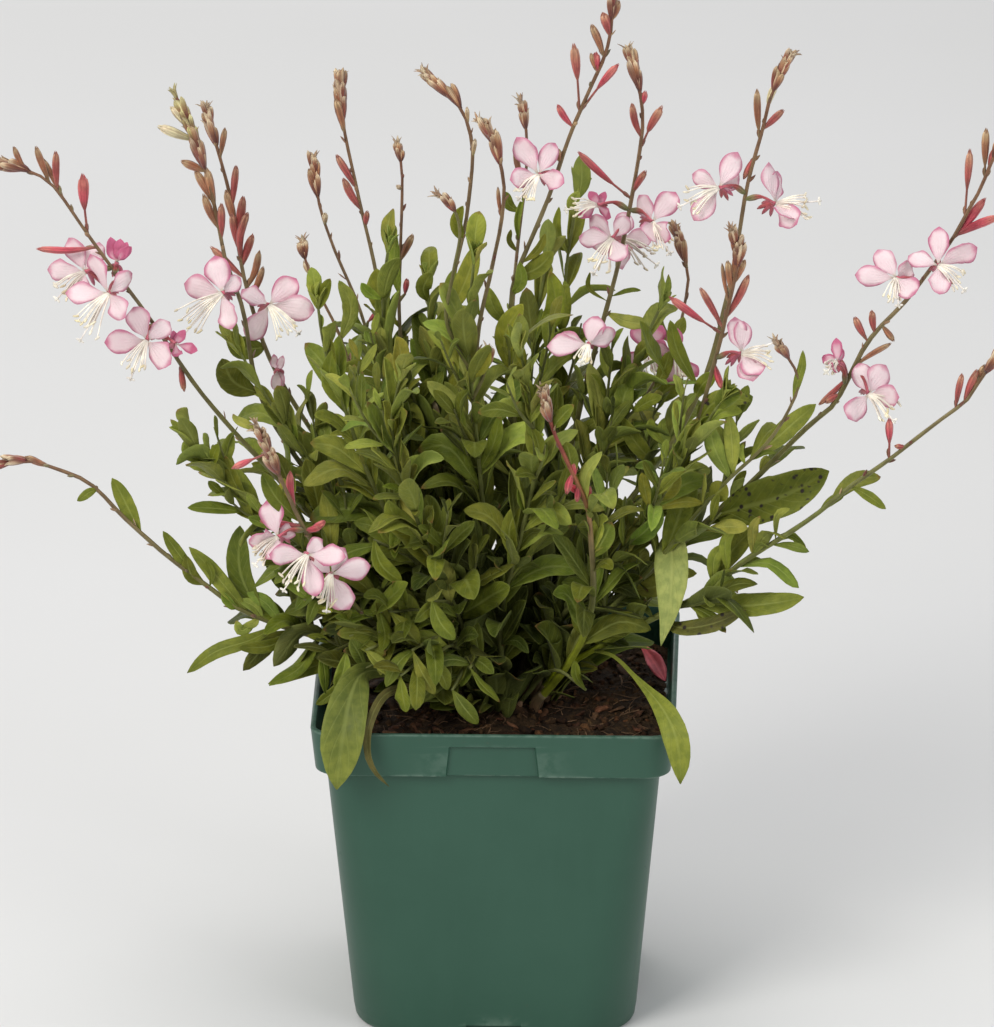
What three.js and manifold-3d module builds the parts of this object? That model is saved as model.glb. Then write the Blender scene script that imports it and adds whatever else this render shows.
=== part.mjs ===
// Potted gaura: a young flowering perennial with long arching flower spikes,
// standing in a square tapered nursery pot filled with bark-and-peat compost.
// Millimetres, +Z up. The origin is the middle of the pot's underside and the
// pot's front (the side with the label recess) looks along -Y.
import * as THREE from 'three';
import { mergeVertices } from 'three/addons/utils/BufferGeometryUtils.js';
import Module from 'manifold-3d';

const wasm = await Module();
wasm.setup();

// ---------------------------------------------------------------- dimensions
const RIM_WIDTH = 131;            // outside, across the flats of the rim
const POT_HEIGHT = 124;
const BASE_WIDTH = 102;           // outside, across the flats of the base
const BODY_TOP_WIDTH = 120.4;     // just under the collar
const COLLAR_HEIGHT = 17;
const COLLAR_LOW_WIDTH = 127.8;
const WALL = 1.6;
const RIM_WALL = 2.0;
const FLOOR = 1.8;
const RIM_CORNER_R = 8.7;
const BODY_CORNER_R = 11;
const BASE_CORNER_R = 25;
const CORNER_STEPS = 4;           // facets on each rounded corner

const LABEL_TOP_WIDTH = 30.6;     // recessed panel in the middle of the front collar
const LABEL_LOW_WIDTH = 33.2;
const LABEL_TOP_Z = 119.0;
const LABEL_LOW_Z = 107;         // it runs out through the collar's lower lip
const LABEL_DEPTH = 1.3;
const LABEL_BACKING = 1.5;        // the panel bulges into the pot by this much
const NOTCH_WIDTH = 20;           // drain slot at the foot of each side
const NOTCH_HEIGHT = 5;

const GAP = 0.3;                  // clearance between pieces that touch
const SOIL_Z = 112.0;             // mean level of the compost, 12 mm under the rim
const SOIL_EDGE = 60.2;           // half width of the compost inside the collar
const SOIL_ROUGHNESS = 1.1;       // height of the lumps
const CROWN_R = 22.5;
const CROWN_TOP_Z = 113.2;
const CROWN_DEPTH = 5;

const STEM_SIDES = 4;
const LEAF_TURN = 2.3999632;      // golden angle between one leaf and the next
const LEAF_LENGTH = [21, 36];     // shortest near the tips, longest low down
const LEAF_SLENDERNESS = 3.45;    // length over width
const LEAF_THICKNESS = 0.9;
const PETAL_WIDTH = 9.6;
const PETAL_THICKNESS = 0.8;
const STAMEN_R = 0.4;
const SEPAL_LENGTH = 10;

// ------------------------------------------------------------------- colours
const POT_GREEN = { color: 0x3c6050, roughness: 0.42, metalness: 0 };
const COMPOST = { color: 0x2e211a, roughness: 0.95, metalness: 0 };
const CROWN_BROWN = { color: 0x4a3a26, roughness: 0.9, metalness: 0 };
const LEAF_GREEN = { color: 0x5c6e2f, roughness: 0.55, metalness: 0 };
const SPIKE_GREEN = { color: 0x6d6a38, roughness: 0.6, metalness: 0 };
const PETAL_WHITE = { color: 0xf0dfe6, roughness: 0.6, metalness: 0 };
const RED_LEAF = { color: 0x8a2440, roughness: 0.6, metalness: 0 };

// ---------------------------------------------------------- the plant's layout
// Stems from foot to tip: pts, radius at foot and tip, length of the bud cluster,
// number of leaves and how far up they go, and the buds as base, tip and width.
const STEMS = [
  { name: 'flower_stem_01', kind: 'flower', r0: 1.6, r1: 0.5, cluster: 17, leaf_to: 0.4, cad: 4, seed: 1, lw: 1.0, len: 275.6,
    pts: [[-13.2,4.1,115.0],[-25.7,1.6,142.8],[-47.1,-1.1,164.3],[-68.7,-3.8,185.8],[-87.8,-6.5,209.6],[-106.5,-9.2,233.7],[-122.5,-11.8,259.6],[-139.2,-14.5,285.1],[-155.4,-17.2,311.0],[-181.8,-20.0,321.7]],
    buds: [{ base: [-156.9,-17.4,313.2], tip: [-156.9,-18.0,327.3], w: 2.8 }, { base: [-146.4,-15.7,296.3], tip: [-147.5,-15.1,317.6], w: 4.2 }] },
  { name: 'flower_stem_02', kind: 'flower', r0: 1.5, r1: 0.6, cluster: 15, leaf_to: 0.42, cad: 3, seed: 1, lw: 1.0, len: 245.5,
    pts: [[-14.2,10.1,115.0],[-30.3,12.6,141.1],[-48.5,15.1,165.6],[-67.3,17.6,189.7],[-83.8,20.1,215.4],[-91.0,22.5,245.0],[-99.3,25.0,274.3],[-105.7,27.5,304.2],[-116.6,30.0,332.8]],
    buds: [{ base: [-109.6,28.5,316.3], tip: [-122.0,26.7,321.7], w: 3.6 }, { base: [-111.0,28.9,320.0], tip: [-117.7,28.9,328.2], w: 3.0 }, { base: [-105.9,27.6,305.0], tip: [-113.9,29.4,307.4], w: 3.2 }, { base: [-102.9,26.6,293.4], tip: [-109.2,28.4,304.0], w: 3.2 }, { base: [-102.5,26.4,291.5], tip: [-105.2,27.6,305.1], w: 3.4 }, { base: [-101.0,25.8,283.6], tip: [-106.3,25.2,296.0], w: 3.0 }, { base: [-100.3,25.5,279.7], tip: [-100.1,24.3,292.9], w: 3.0 }] },
  { name: 'flower_stem_03', kind: 'flower', r0: 1.5, r1: 0.6, cluster: 14, leaf_to: 0.42, cad: 3, seed: 1, lw: 1.0, len: 233.3,
    pts: [[-7.4,11.7,115.0],[-24.9,17.7,137.5],[-41.4,23.8,160.8],[-56.8,29.8,184.8],[-72.4,35.8,208.7],[-85.9,41.9,233.7],[-93.9,47.9,261.1],[-98.9,53.9,289.2],[-106.6,60.0,316.6]],
    buds: [{ base: [-97.4,52.6,282.7], tip: [-95.8,50.8,298.1], w: 2.8 }, { base: [-95.5,50.1,271.2], tip: [-93.4,50.7,286.2], w: 3.4 }, { base: [-96.0,50.9,275.1], tip: [-99.6,52.7,287.8], w: 3.2 }, { base: [-94.0,48.0,261.6], tip: [-91.8,46.2,281.7], w: 3.2 }, { base: [-93.6,47.6,259.7], tip: [-90.1,49.4,272.1], w: 3.2 }, { base: [-92.8,46.8,255.8], tip: [-104.6,47.4,268.1], w: 2.8 }, { base: [-91.8,46.0,252.1], tip: [-87.5,46.6,267.0], w: 2.8 }, { base: [-94.9,49.3,267.3], tip: [-97.4,49.9,279.9], w: 3.2 }] },
  { name: 'flower_stem_04', kind: 'flower', r0: 1.3, r1: 0.55, cluster: 17, leaf_to: 0.55, cad: 4, seed: 1, lw: 1.0, len: 227.0,
    pts: [[-3.1,13.7,115.0],[-19.9,22.5,141.3],[-31.2,31.5,170.2],[-36.3,40.3,200.9],[-41.4,49.2,231.7],[-46.9,58.2,262.4],[-54.3,67.1,292.6],[-58.6,76.0,323.4]],
    buds: [{ base: [-57.1,70.5,304.2], tip: [-60.3,70.5,317.2], w: 3.0 }, { base: [-52.7,64.9,285.4], tip: [-59.8,65.5,297.4], w: 2.8 }, { base: [-50.9,62.7,277.8], tip: [-57.2,63.3,289.0], w: 3.0 }] },
  { name: 'flower_stem_05', kind: 'flower', r0: 1.2, r1: 0.5, cluster: 10, leaf_to: 0.6, cad: 3, seed: 1, lw: 1.0, len: 198.5,
    pts: [[-9.9,15.7,115.0],[-25.2,29.1,141.1],[-34.9,42.5,169.6],[-41.4,55.9,199.2],[-49.3,69.3,228.4],[-61.8,82.6,255.9],[-69.4,96.0,285.0]],
    buds: [] },
  { name: 'flower_stem_06', kind: 'flower', r0: 1.2, r1: 0.5, cluster: 6, leaf_to: 0.7, cad: 4, seed: 1, lw: 1.0, len: 176.6,
    pts: [[-10.1,7.7,115.0],[-25.7,10.8,139.7],[-37.7,13.8,166.3],[-44.8,16.9,194.7],[-51.6,19.9,223.2],[-60.5,22.9,251.0],[-70.7,26.0,278.0]],
    buds: [] },
  { name: 'flower_stem_07', kind: 'flower', r0: 1.3, r1: 0.5, cluster: 7, leaf_to: 0.6, cad: 4, seed: 1, lw: 1.0, len: 200.4,
    pts: [[-0.8,17.9,115.0],[-16.4,23.9,143.9],[-26.7,29.9,175.0],[-32.6,35.9,207.4],[-36.3,41.9,240.0],[-36.1,48.0,272.8],[-37.3,54.0,305.6]],
    buds: [{ base: [-36.3,46.4,264.3], tip: [-32.0,44.6,274.4], w: 3.0 }] },
  { name: 'flower_stem_08', kind: 'flower', r0: 1.4, r1: 0.6, cluster: 19, leaf_to: 0.55, cad: 4, seed: 1, lw: 1.0, len: 230.0,
    pts: [[1.9,14.0,115.0],[-8.4,21.1,145.4],[-14.6,28.3,176.8],[-17.0,35.4,208.8],[-17.7,42.5,240.8],[-13.7,49.7,272.5],[-10.5,56.8,304.3],[-27.4,64.0,330.1]],
    buds: [] },
  { name: 'flower_stem_09', kind: 'flower', r0: 1.4, r1: 0.6, cluster: 19, leaf_to: 0.5, cad: 4, seed: 1, lw: 1.0, len: 222.0,
    pts: [[4.0,8.0,115.0],[-2.4,7.2,146.0],[-6.7,6.3,177.4],[-8.3,5.5,209.1],[-7.8,4.6,240.8],[-3.0,3.7,272.0],[2.3,2.9,303.3],[-6.1,2.0,332.9]],
    buds: [] },
  { name: 'flower_stem_10', kind: 'flower', r0: 1.3, r1: 0.5, cluster: 10, leaf_to: 0.66, cad: 5, seed: 1, lw: 1.0, len: 211.1,
    pts: [[6.3,12.3,115.0],[7.6,24.9,142.4],[6.4,37.4,169.8],[3.6,50.0,197.1],[3.4,62.5,224.5],[4.8,75.0,251.9],[7.9,87.5,279.1],[6.1,100.0,306.3]],
    buds: [] },
  { name: 'flower_stem_11', kind: 'flower', r0: 1.6, r1: 0.6, cluster: 13, leaf_to: 0.47, cad: 3, seed: 1, lw: 1.0, len: 270.6,
    pts: [[8.3,5.1,115.0],[11.2,6.7,144.9],[11.0,8.4,174.9],[7.2,10.0,204.7],[4.6,11.7,234.5],[5.1,13.3,264.5],[15.3,15.0,292.6],[24.9,16.6,321.1],[36.5,18.3,348.7],[41.0,20.0,378.2]],
    buds: [{ base: [29.3,17.3,332.3], tip: [27.1,16.7,357.3], w: 3.6 }, { base: [37.9,18.5,352.5], tip: [33.5,17.3,364.7], w: 3.0 }, { base: [35.7,18.2,346.9], tip: [35.0,17.6,354.0], w: 3.2 }, { base: [40.0,19.0,360.2], tip: [37.5,17.8,369.1], w: 3.6 }, { base: [29.3,17.3,332.3], tip: [42.6,15.5,350.6], w: 3.0 }, { base: [40.6,19.3,366.2], tip: [42.8,20.5,372.7], w: 3.0 }] },
  { name: 'flower_stem_12', kind: 'flower', r0: 1.6, r1: 0.6, cluster: 17, leaf_to: 0.45, cad: 3, seed: 1, lw: 1.0, len: 235.2,
    pts: [[15.7,9.9,115.0],[17.5,16.1,143.7],[21.3,22.4,172.2],[26.5,28.6,200.4],[33.1,34.9,228.4],[40.7,41.1,256.1],[46.7,47.4,284.2],[51.2,53.7,312.5],[46.1,60.0,340.6]],
    buds: [{ base: [51.0,53.2,310.1], tip: [47.4,52.0,322.8], w: 2.8 }, { base: [50.5,52.3,306.2], tip: [57.9,53.5,321.2], w: 3.4 }, { base: [47.6,48.5,289.0], tip: [28.4,49.1,305.2], w: 2.8 }, { base: [47.9,48.9,290.9], tip: [52.3,47.1,298.9], w: 2.8 }] },
  { name: 'flower_stem_13', kind: 'flower', r0: 1.6, r1: 0.6, cluster: 14, leaf_to: 0.4, cad: 3, seed: 1, lw: 1.0, len: 255.0,
    pts: [[13.0,5.7,115.0],[20.4,9.7,145.7],[37.9,13.7,171.8],[57.2,17.8,196.8],[72.8,21.8,224.3],[81.5,25.8,254.6],[87.2,29.9,285.7],[93.8,33.9,316.5],[104.4,38.0,346.1]],
    buds: [{ base: [93.8,33.9,316.3], tip: [92.6,33.9,334.8], w: 2.8 }, { base: [94.8,34.4,320.1], tip: [101.7,36.2,326.5], w: 2.8 }, { base: [96.5,35.4,327.9], tip: [99.4,37.2,336.4], w: 2.8 }] },
  { name: 'flower_stem_14', kind: 'flower', r0: 1.5, r1: 0.6, cluster: 14, leaf_to: 0.45, cad: 3, seed: 1, lw: 1.0, len: 201.7,
    pts: [[18.6,0.9,115.0],[26.8,-2.3,142.4],[40.6,-5.5,167.4],[56.4,-8.9,191.2],[69.2,-12.1,216.8],[77.3,-15.4,244.3],[83.4,-18.7,272.2],[84.4,-22.0,300.3]],
    buds: [{ base: [85.6,-19.9,282.8], tip: [87.7,-21.7,295.7], w: 3.4 }, { base: [81.2,-17.4,261.4], tip: [62.7,-19.2,274.7], w: 3.0 }, { base: [82.4,-18.1,267.2], tip: [90.2,-16.9,282.2], w: 3.2 }, { base: [85.1,-19.7,280.8], tip: [88.7,-17.9,288.2], w: 3.2 }, { base: [84.3,-19.3,276.9], tip: [83.0,-21.1,289.3], w: 2.8 }] },
  { name: 'flower_stem_15', kind: 'flower', r0: 1.3, r1: 0.5, cluster: 12, leaf_to: 0.55, cad: 3, seed: 1, lw: 1.0, len: 177.6,
    pts: [[12.7,13.6,115.0],[14.9,25.6,141.9],[25.4,37.8,166.6],[40.1,49.8,189.3],[55.5,61.9,211.6],[66.2,74.0,236.1],[63.1,86.0,262.3]],
    buds: [] },
  { name: 'flower_stem_16', kind: 'flower', r0: 1.7, r1: 0.6, cluster: 15, leaf_to: 0.42, cad: 3, seed: 1, lw: 1.0, len: 278.1,
    pts: [[17.7,5.6,115.0],[31.5,6.1,141.0],[55.8,6.6,160.1],[78.1,7.1,181.4],[100.1,7.6,203.1],[121.7,8.1,225.0],[136.2,8.5,252.3],[155.5,9.0,276.3],[171.1,9.5,302.9],[182.7,10.0,331.5]],
    buds: [{ base: [167.8,9.4,296.6], tip: [169.2,11.2,320.7], w: 3.0 }, { base: [174.9,9.7,310.9], tip: [174.8,11.5,328.6], w: 3.0 }, { base: [163.3,9.2,287.7], tip: [174.4,10.4,302.4], w: 3.6 }, { base: [164.3,9.3,289.4], tip: [179.2,8.1,296.8], w: 3.4 }, { base: [133.1,8.4,247.9], tip: [128.6,7.8,257.8], w: 2.8 }, { base: [135.3,8.5,251.2], tip: [134.7,6.7,260.6], w: 2.8 }, { base: [176.1,9.7,314.7], tip: [178.5,10.9,322.0], w: 2.8 }] },
  { name: 'flower_stem_17', kind: 'flower', r0: 1.6, r1: 0.6, cluster: 14, leaf_to: 0.6, cad: 3, seed: 1, lw: 1.0, len: 233.2,
    pts: [[15.1,-7.4,115.0],[34.0,-12.3,135.7],[58.0,-17.4,151.5],[81.2,-22.5,168.2],[103.1,-27.6,186.6],[124.5,-32.7,205.7],[146.0,-37.9,224.7],[167.1,-43.0,244.1],[181.9,-48.0,268.6]],
    buds: [{ base: [140.6,-36.5,219.7], tip: [141.1,-35.3,235.0], w: 3.0 }, { base: [168.0,-43.2,245.0], tip: [172.1,-45.0,257.5], w: 3.0 }] },
  { name: 'flower_stem_18', kind: 'flower', r0: 1.6, r1: 0.6, cluster: 16, leaf_to: 0.35, cad: 2, seed: 1, lw: 1.0, len: 213.8,
    pts: [[-15.0,-5.2,115.0],[-32.3,-11.3,137.0],[-61.7,-17.8,141.9],[-88.9,-24.3,154.0],[-111.6,-30.7,173.4],[-132.4,-36.9,194.8],[-153.5,-43.3,215.2],[-182.1,-50.0,219.4]],
    buds: [] },
  { name: 'flower_stem_19', kind: 'flower', r0: 1.5, r1: 0.6, cluster: 18, leaf_to: 0.35, cad: 2, seed: 1, lw: 1.0, len: 167.6,
    pts: [[-11.0,-11.0,115.0],[-29.1,-24.9,139.4],[-49.1,-39.1,162.2],[-63.1,-52.8,189.3],[-73.5,-66.4,218.1],[-83.0,-80.0,247.3]],
    buds: [{ base: [-67.5,-58.2,200.5], tip: [-82.5,-56.4,202.1], w: 2.8 }, { base: [-71.2,-63.0,210.8], tip: [-72.1,-63.6,223.3], w: 2.8 }, { base: [-66.2,-56.6,197.1], tip: [-60.3,-57.8,202.5], w: 2.8 }] },
  { name: 'flower_stem_20', kind: 'flower', r0: 2.0, r1: 0.6, cluster: 11, leaf_to: 0.62, cad: 3, seed: 1, lw: 1.0, len: 155.4,
    pts: [[13.7,-11.9,115.0],[29.2,-22.0,139.8],[35.5,-31.9,168.4],[34.3,-41.7,197.8],[25.8,-51.9,225.8],[18.0,-62.0,254.0]],
    buds: [{ base: [28.7,-49.0,218.0], tip: [26.3,-50.8,212.2], w: 2.8 }, { base: [29.4,-48.3,216.3], tip: [28.8,-50.1,223.4], w: 2.8 }, { base: [32.0,-45.7,209.2], tip: [27.3,-45.1,212.3], w: 2.8 }] },
  { name: 'flower_stem_21', kind: 'flower', r0: 1.3, r1: 0.5, cluster: 9, leaf_to: 0.7, cad: 3, seed: 1, lw: 1.0, len: 183.5,
    pts: [[18.2,-3.8,115.0],[32.3,-9.0,141.5],[51.9,-14.4,164.4],[69.6,-19.8,188.7],[88.3,-25.2,212.2],[105.3,-30.7,236.9],[100.8,-36.0,264.2]],
    buds: [] },
  { name: 'leafy_shoot_01', kind: 'leafy', r0: 1.4, r1: 0.5, cluster: 0, leaf_to: 1.0, cad: 9, seed: 1, lw: 1.0, len: 150.2,
    pts: [[-18.5,-1.9,115.0],[-27.5,-9.1,141.9],[-49.2,-16.8,161.1],[-69.9,-24.6,181.4],[-90.4,-32.3,202.0],[-107.7,-40.0,225.1]],
    buds: [] },
  { name: 'leafy_shoot_02', kind: 'leafy', r0: 1.4, r1: 0.5, cluster: 0, leaf_to: 1.0, cad: 9, seed: 1, lw: 1.0, len: 152.8,
    pts: [[-13.9,-0.5,115.0],[-21.6,1.1,144.5],[-41.1,2.8,167.6],[-61.1,4.6,190.5],[-77.4,6.3,216.3],[-92.9,8.0,242.6]],
    buds: [] },
  { name: 'leafy_shoot_03', kind: 'leafy', r0: 1.4, r1: 0.5, cluster: 0, leaf_to: 1.0, cad: 9, seed: 1, lw: 1.0, len: 173.3,
    pts: [[-9.2,-0.3,115.0],[-16.6,-5.5,142.4],[-27.7,-10.8,168.5],[-40.9,-16.1,193.6],[-50.3,-21.4,220.4],[-58.4,-26.7,247.6],[-63.1,-32.0,275.6]],
    buds: [] },
  { name: 'leafy_shoot_04', kind: 'leafy', r0: 1.4, r1: 0.5, cluster: 0, leaf_to: 1.0, cad: 9, seed: 1, lw: 1.0, len: 165.7,
    pts: [[-5.7,5.9,115.0],[-14.5,11.1,146.5],[-25.0,16.3,177.5],[-34.5,21.5,208.8],[-41.1,26.8,240.9],[-40.2,32.0,273.5]],
    buds: [] },
  { name: 'leafy_shoot_05', kind: 'leafy', r0: 1.4, r1: 0.5, cluster: 0, leaf_to: 1.0, cad: 9, seed: 1, lw: 1.0, len: 147.5,
    pts: [[-0.7,9.6,115.0],[-7.5,16.5,142.9],[-14.1,23.3,170.8],[-20.4,30.2,198.8],[-24.6,37.1,227.1],[-26.2,44.0,255.8]],
    buds: [] },
  { name: 'leafy_shoot_06', kind: 'leafy', r0: 1.4, r1: 0.5, cluster: 0, leaf_to: 1.0, cad: 9, seed: 1, lw: 1.0, len: 172.2,
    pts: [[2.0,1.0,115.0],[-0.9,-1.5,143.4],[-3.5,-4.0,171.9],[-5.8,-6.5,200.4],[-8.2,-9.0,228.9],[-10.1,-11.5,257.4],[-7.9,-14.0,285.9]],
    buds: [] },
  { name: 'leafy_shoot_07', kind: 'leafy', r0: 1.4, r1: 0.5, cluster: 0, leaf_to: 1.0, cad: 9, seed: 1, lw: 1.0, len: 153.4,
    pts: [[10.2,9.5,115.0],[8.0,20.8,143.4],[8.4,32.1,172.0],[10.2,43.4,200.4],[11.9,54.7,228.9],[16.5,66.0,257.1]],
    buds: [] },
  { name: 'leafy_shoot_08', kind: 'leafy', r0: 1.4, r1: 0.5, cluster: 0, leaf_to: 1.0, cad: 9, seed: 1, lw: 1.0, len: 174.5,
    pts: [[8.8,16.4,115.0],[13.2,27.6,141.4],[17.1,38.9,168.0],[20.3,50.2,194.6],[21.6,61.5,221.4],[23.1,72.7,248.1],[27.0,84.0,274.7]],
    buds: [] },
  { name: 'leafy_shoot_09', kind: 'leafy', r0: 1.4, r1: 0.5, cluster: 0, leaf_to: 1.0, cad: 9, seed: 1, lw: 1.0, len: 149.4,
    pts: [[9.9,0.6,115.0],[14.4,6.9,143.9],[23.5,13.1,171.6],[34.5,19.4,198.7],[46.4,25.7,225.3],[58.1,32.0,252.1]],
    buds: [] },
  { name: 'leafy_shoot_10', kind: 'leafy', r0: 1.4, r1: 0.5, cluster: 0, leaf_to: 1.0, cad: 9, seed: 1, lw: 1.0, len: 147.2,
    pts: [[13.8,-2.1,115.0],[21.2,-7.9,142.8],[37.5,-13.9,166.5],[54.5,-20.0,189.7],[67.7,-26.0,215.4],[81.3,-32.0,240.8]],
    buds: [] },
  { name: 'leafy_shoot_11', kind: 'leafy', r0: 1.4, r1: 0.5, cluster: 0, leaf_to: 1.0, cad: 9, seed: 1, lw: 1.0, len: 159.2,
    pts: [[-5.0,-7.0,115.0],[-11.1,-18.2,144.2],[-19.9,-29.7,172.5],[-28.8,-41.1,200.8],[-35.2,-52.6,229.8],[-32.8,-64.0,259.2]],
    buds: [] },
  { name: 'leafy_shoot_12', kind: 'leafy', r0: 1.4, r1: 0.5, cluster: 0, leaf_to: 1.0, cad: 9, seed: 1, lw: 1.0, len: 166.1,
    pts: [[4.0,-8.0,115.0],[1.4,-18.6,146.3],[6.9,-29.4,177.2],[13.5,-40.2,207.9],[14.1,-51.0,239.2],[9.8,-62.0,270.2]],
    buds: [] },
  { name: 'leafy_shoot_13', kind: 'leafy', r0: 1.4, r1: 0.5, cluster: 0, leaf_to: 1.0, cad: 9, seed: 1, lw: 1.0, len: 111.5,
    pts: [[-5.6,17.7,115.0],[-8.5,36.7,135.2],[-14.7,55.6,154.5],[-29.0,73.9,169.9],[-45.4,92.0,183.3]],
    buds: [] },
  { name: 'leafy_shoot_14', kind: 'leafy', r0: 1.4, r1: 0.5, cluster: 0, leaf_to: 1.0, cad: 9, seed: 1, lw: 1.0, len: 116.9,
    pts: [[4.4,18.1,115.0],[5.4,36.3,137.8],[13.4,54.7,158.4],[31.3,72.4,173.3],[50.2,90.0,186.9]],
    buds: [] },
];

// Flowers: centre, the point of the stem it grows from, four petal tips and the
// stamens' end as offsets from the centre.
const FLOWERS = [
  { name: 'flower_01', c: [-147.2,-15.3,281.2], att: [-137.8,-14.3,282.9], pet: [[-6.7,7.4,10.3],[-13.5,3.8,-0.4],[4.8,9.1,8.2],[-1.8,-12.5,-6.8]], stam: [-8.4,-8.7,-5.3], open: 1.0 },
  { name: 'flower_02', c: [-138.0,-29.6,278.4], att: [-133.3,-13.6,276.3], pet: [[-7.4,4.7,12.8],[-15.5,-0.4,0.0],[8.5,8.3,4.6],[7.2,-11.3,-5.3]], stam: [-9.1,-10.8,-10.7], open: 1.0 },
  { name: 'flower_03', c: [-135.7,-15.1,285.0], att: [-136.7,-14.1,281.2], pet: [[-2.3,6.3,7.6],[4.5,6.7,3.3],[0.9,6.9,6.7],[3.4,6.9,5.1]], stam: [0.8,-4.8,4.2], open: 0.35 },
  { name: 'flower_04', c: [-124.9,-21.8,257.7], att: [-122.5,-11.8,259.6], pet: [[-15.2,-0.7,-0.7],[-5.6,8.0,10.0],[8.1,8.5,4.2],[9.3,-9.8,-5.4]], stam: [-5.5,-9.8,-8.3], open: 1.0 },
  { name: 'flower_05', c: [-114.7,-17.3,254.8], att: [-119.4,-11.3,254.5], pet: [[3.1,5.6,3.3],[-1.2,5.9,3.5],[8.0,-3.5,-1.3],[0.9,-8.0,-2.3]], stam: [5.9,-5.2,2.8], open: 0.5 },
  { name: 'flower_06', c: [-99.4,12.7,263.3], att: [-94.1,23.7,258.8], pet: [[-13.8,3.6,2.3],[-3.1,7.8,11.7],[6.3,9.1,2.8],[4.2,-9.3,-10.7]], stam: [-13.5,-10.1,-8.6], open: 1.0 },
  { name: 'flower_07', c: [-83.4,32.7,251.6], att: [-90.1,44.7,246.5], pet: [[-10.3,7.1,3.8],[9.9,6.7,8.0],[16.6,-0.2,-1.7],[-7.8,-5.9,-11.4]], stam: [8.2,-8.9,-7.0], open: 1.0 },
  { name: 'flower_08', c: [14.7,4.9,312.5], att: [20.7,15.9,307.7], pet: [[-8.1,4.6,12.5],[5.9,8.4,9.2],[-10.2,-9.9,1.4],[9.7,-10.4,0.6]], stam: [-4.8,-8.6,-5.3], open: 1.0 },
  { name: 'flower_09', c: [40.8,33.9,278.0], att: [45.4,45.9,277.5], pet: [[-8.9,7.8,5.4],[5.9,9.2,5.0],[-12.1,5.0,-1.3],[3.9,-12.7,-4.8]], stam: [-5.5,-9.6,-8.0], open: 1.0 },
  { name: 'flower_10', c: [55.1,40.6,282.0], att: [46.9,47.6,285.1], pet: [[-5.3,9.0,7.3],[8.5,7.0,9.4],[6.8,-12.1,-1.9],[-1.8,-13.5,-2.6]], stam: [5.3,-9.0,-7.0], open: 1.0 },
  { name: 'flower_11', c: [35.0,43.2,287.4], att: [46.5,47.2,283.2], pet: [[-3.1,6.3,3.0],[3.1,6.4,3.4],[-6.7,-6.4,-3.0],[5.3,-7.6,-2.1]], stam: [-9.2,-6.4,0.8], open: 0.6 },
  { name: 'flower_12', c: [32.7,3.4,248.4], att: [36.2,37.4,239.7], pet: [[3.4,9.4,8.0],[-11.0,6.2,-0.2],[-14.8,-2.5,0.0],[9.9,7.5,1.9]], stam: [-1.3,-7.4,-2.6], open: 1.0 },
  { name: 'flower_13', c: [79.2,24.3,301.2], att: [88.9,31.3,297.0], pet: [[-9.6,7.5,2.5],[6.7,6.5,11.5],[7.4,8.4,0.3],[-8.9,-5.4,-10.8]], stam: [-11.7,-8.1,-3.6], open: 1.0 },
  { name: 'flower_14', c: [99.8,27.1,294.2], att: [88.5,31.1,295.0], pet: [[0.5,9.4,9.2],[-2.3,5.4,14.2],[8.2,-11.0,-4.2],[4.7,-13.0,-1.2]], stam: [13.2,-5.6,1.1], open: 1.0 },
  { name: 'flower_15', c: [88.1,-22.1,254.9], att: [78.6,-16.1,249.8], pet: [[-2.4,8.3,11.1],[0.8,9.4,9.2],[4.3,-12.0,-6.6],[6.8,-11.9,-3.9]], stam: [11.3,-5.6,1.5], open: 1.0 },
  { name: 'flower_16', c: [158.2,-0.9,281.4], att: [157.7,9.1,279.3], pet: [[0.2,7.9,12.1],[-10.7,6.7,1.2],[14.0,2.7,6.1],[0.3,-12.4,-7.2]], stam: [8.9,-7.7,-3.9], open: 1.0 },
  { name: 'flower_17', c: [143.2,3.9,274.7], att: [151.9,8.9,271.2], pet: [[-7.1,8.2,8.0],[-14.8,1.2,0.6],[6.3,9.0,1.7],[7.5,-11.7,-2.4]], stam: [-1.9,-8.5,-5.3], open: 1.0 },
  { name: 'flower_18', c: [133.7,-3.7,233.0], att: [127.7,8.3,237.2], pet: [[-3.8,9.0,8.9],[6.3,8.7,7.9],[11.4,-8.4,2.2],[-8.0,-10.7,-5.7]], stam: [8.2,-8.2,-5.3], open: 1.0 },
  { name: 'flower_19', c: [122.3,2.2,243.0], att: [125.3,8.2,231.7], pet: [[-0.5,5.6,7.5],[-5.6,5.0,-0.4],[2.0,6.5,2.9],[-1.9,-9.0,-0.4]], stam: [-2.7,-6.5,0.1], open: 0.7 },
  { name: 'flower_20', c: [-76.3,-68.4,200.7], att: [-66.9,-57.4,198.8], pet: [[-4.5,7.6,11.4],[-9.5,-10.2,2.6],[5.2,8.8,-0.2],[-1.8,-13.3,-4.2]], stam: [-7.7,-8.4,-4.6], open: 1.0 },
  { name: 'flower_21', c: [-65.5,-77.3,197.4], att: [-63.5,-53.3,190.4], pet: [[5.5,9.3,2.7],[13.9,-4.9,1.3],[-13.2,-6.1,2.2],[3.4,-5.2,-13.8]], stam: [-6.3,-9.7,-8.0], open: 1.0 },
];

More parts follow.
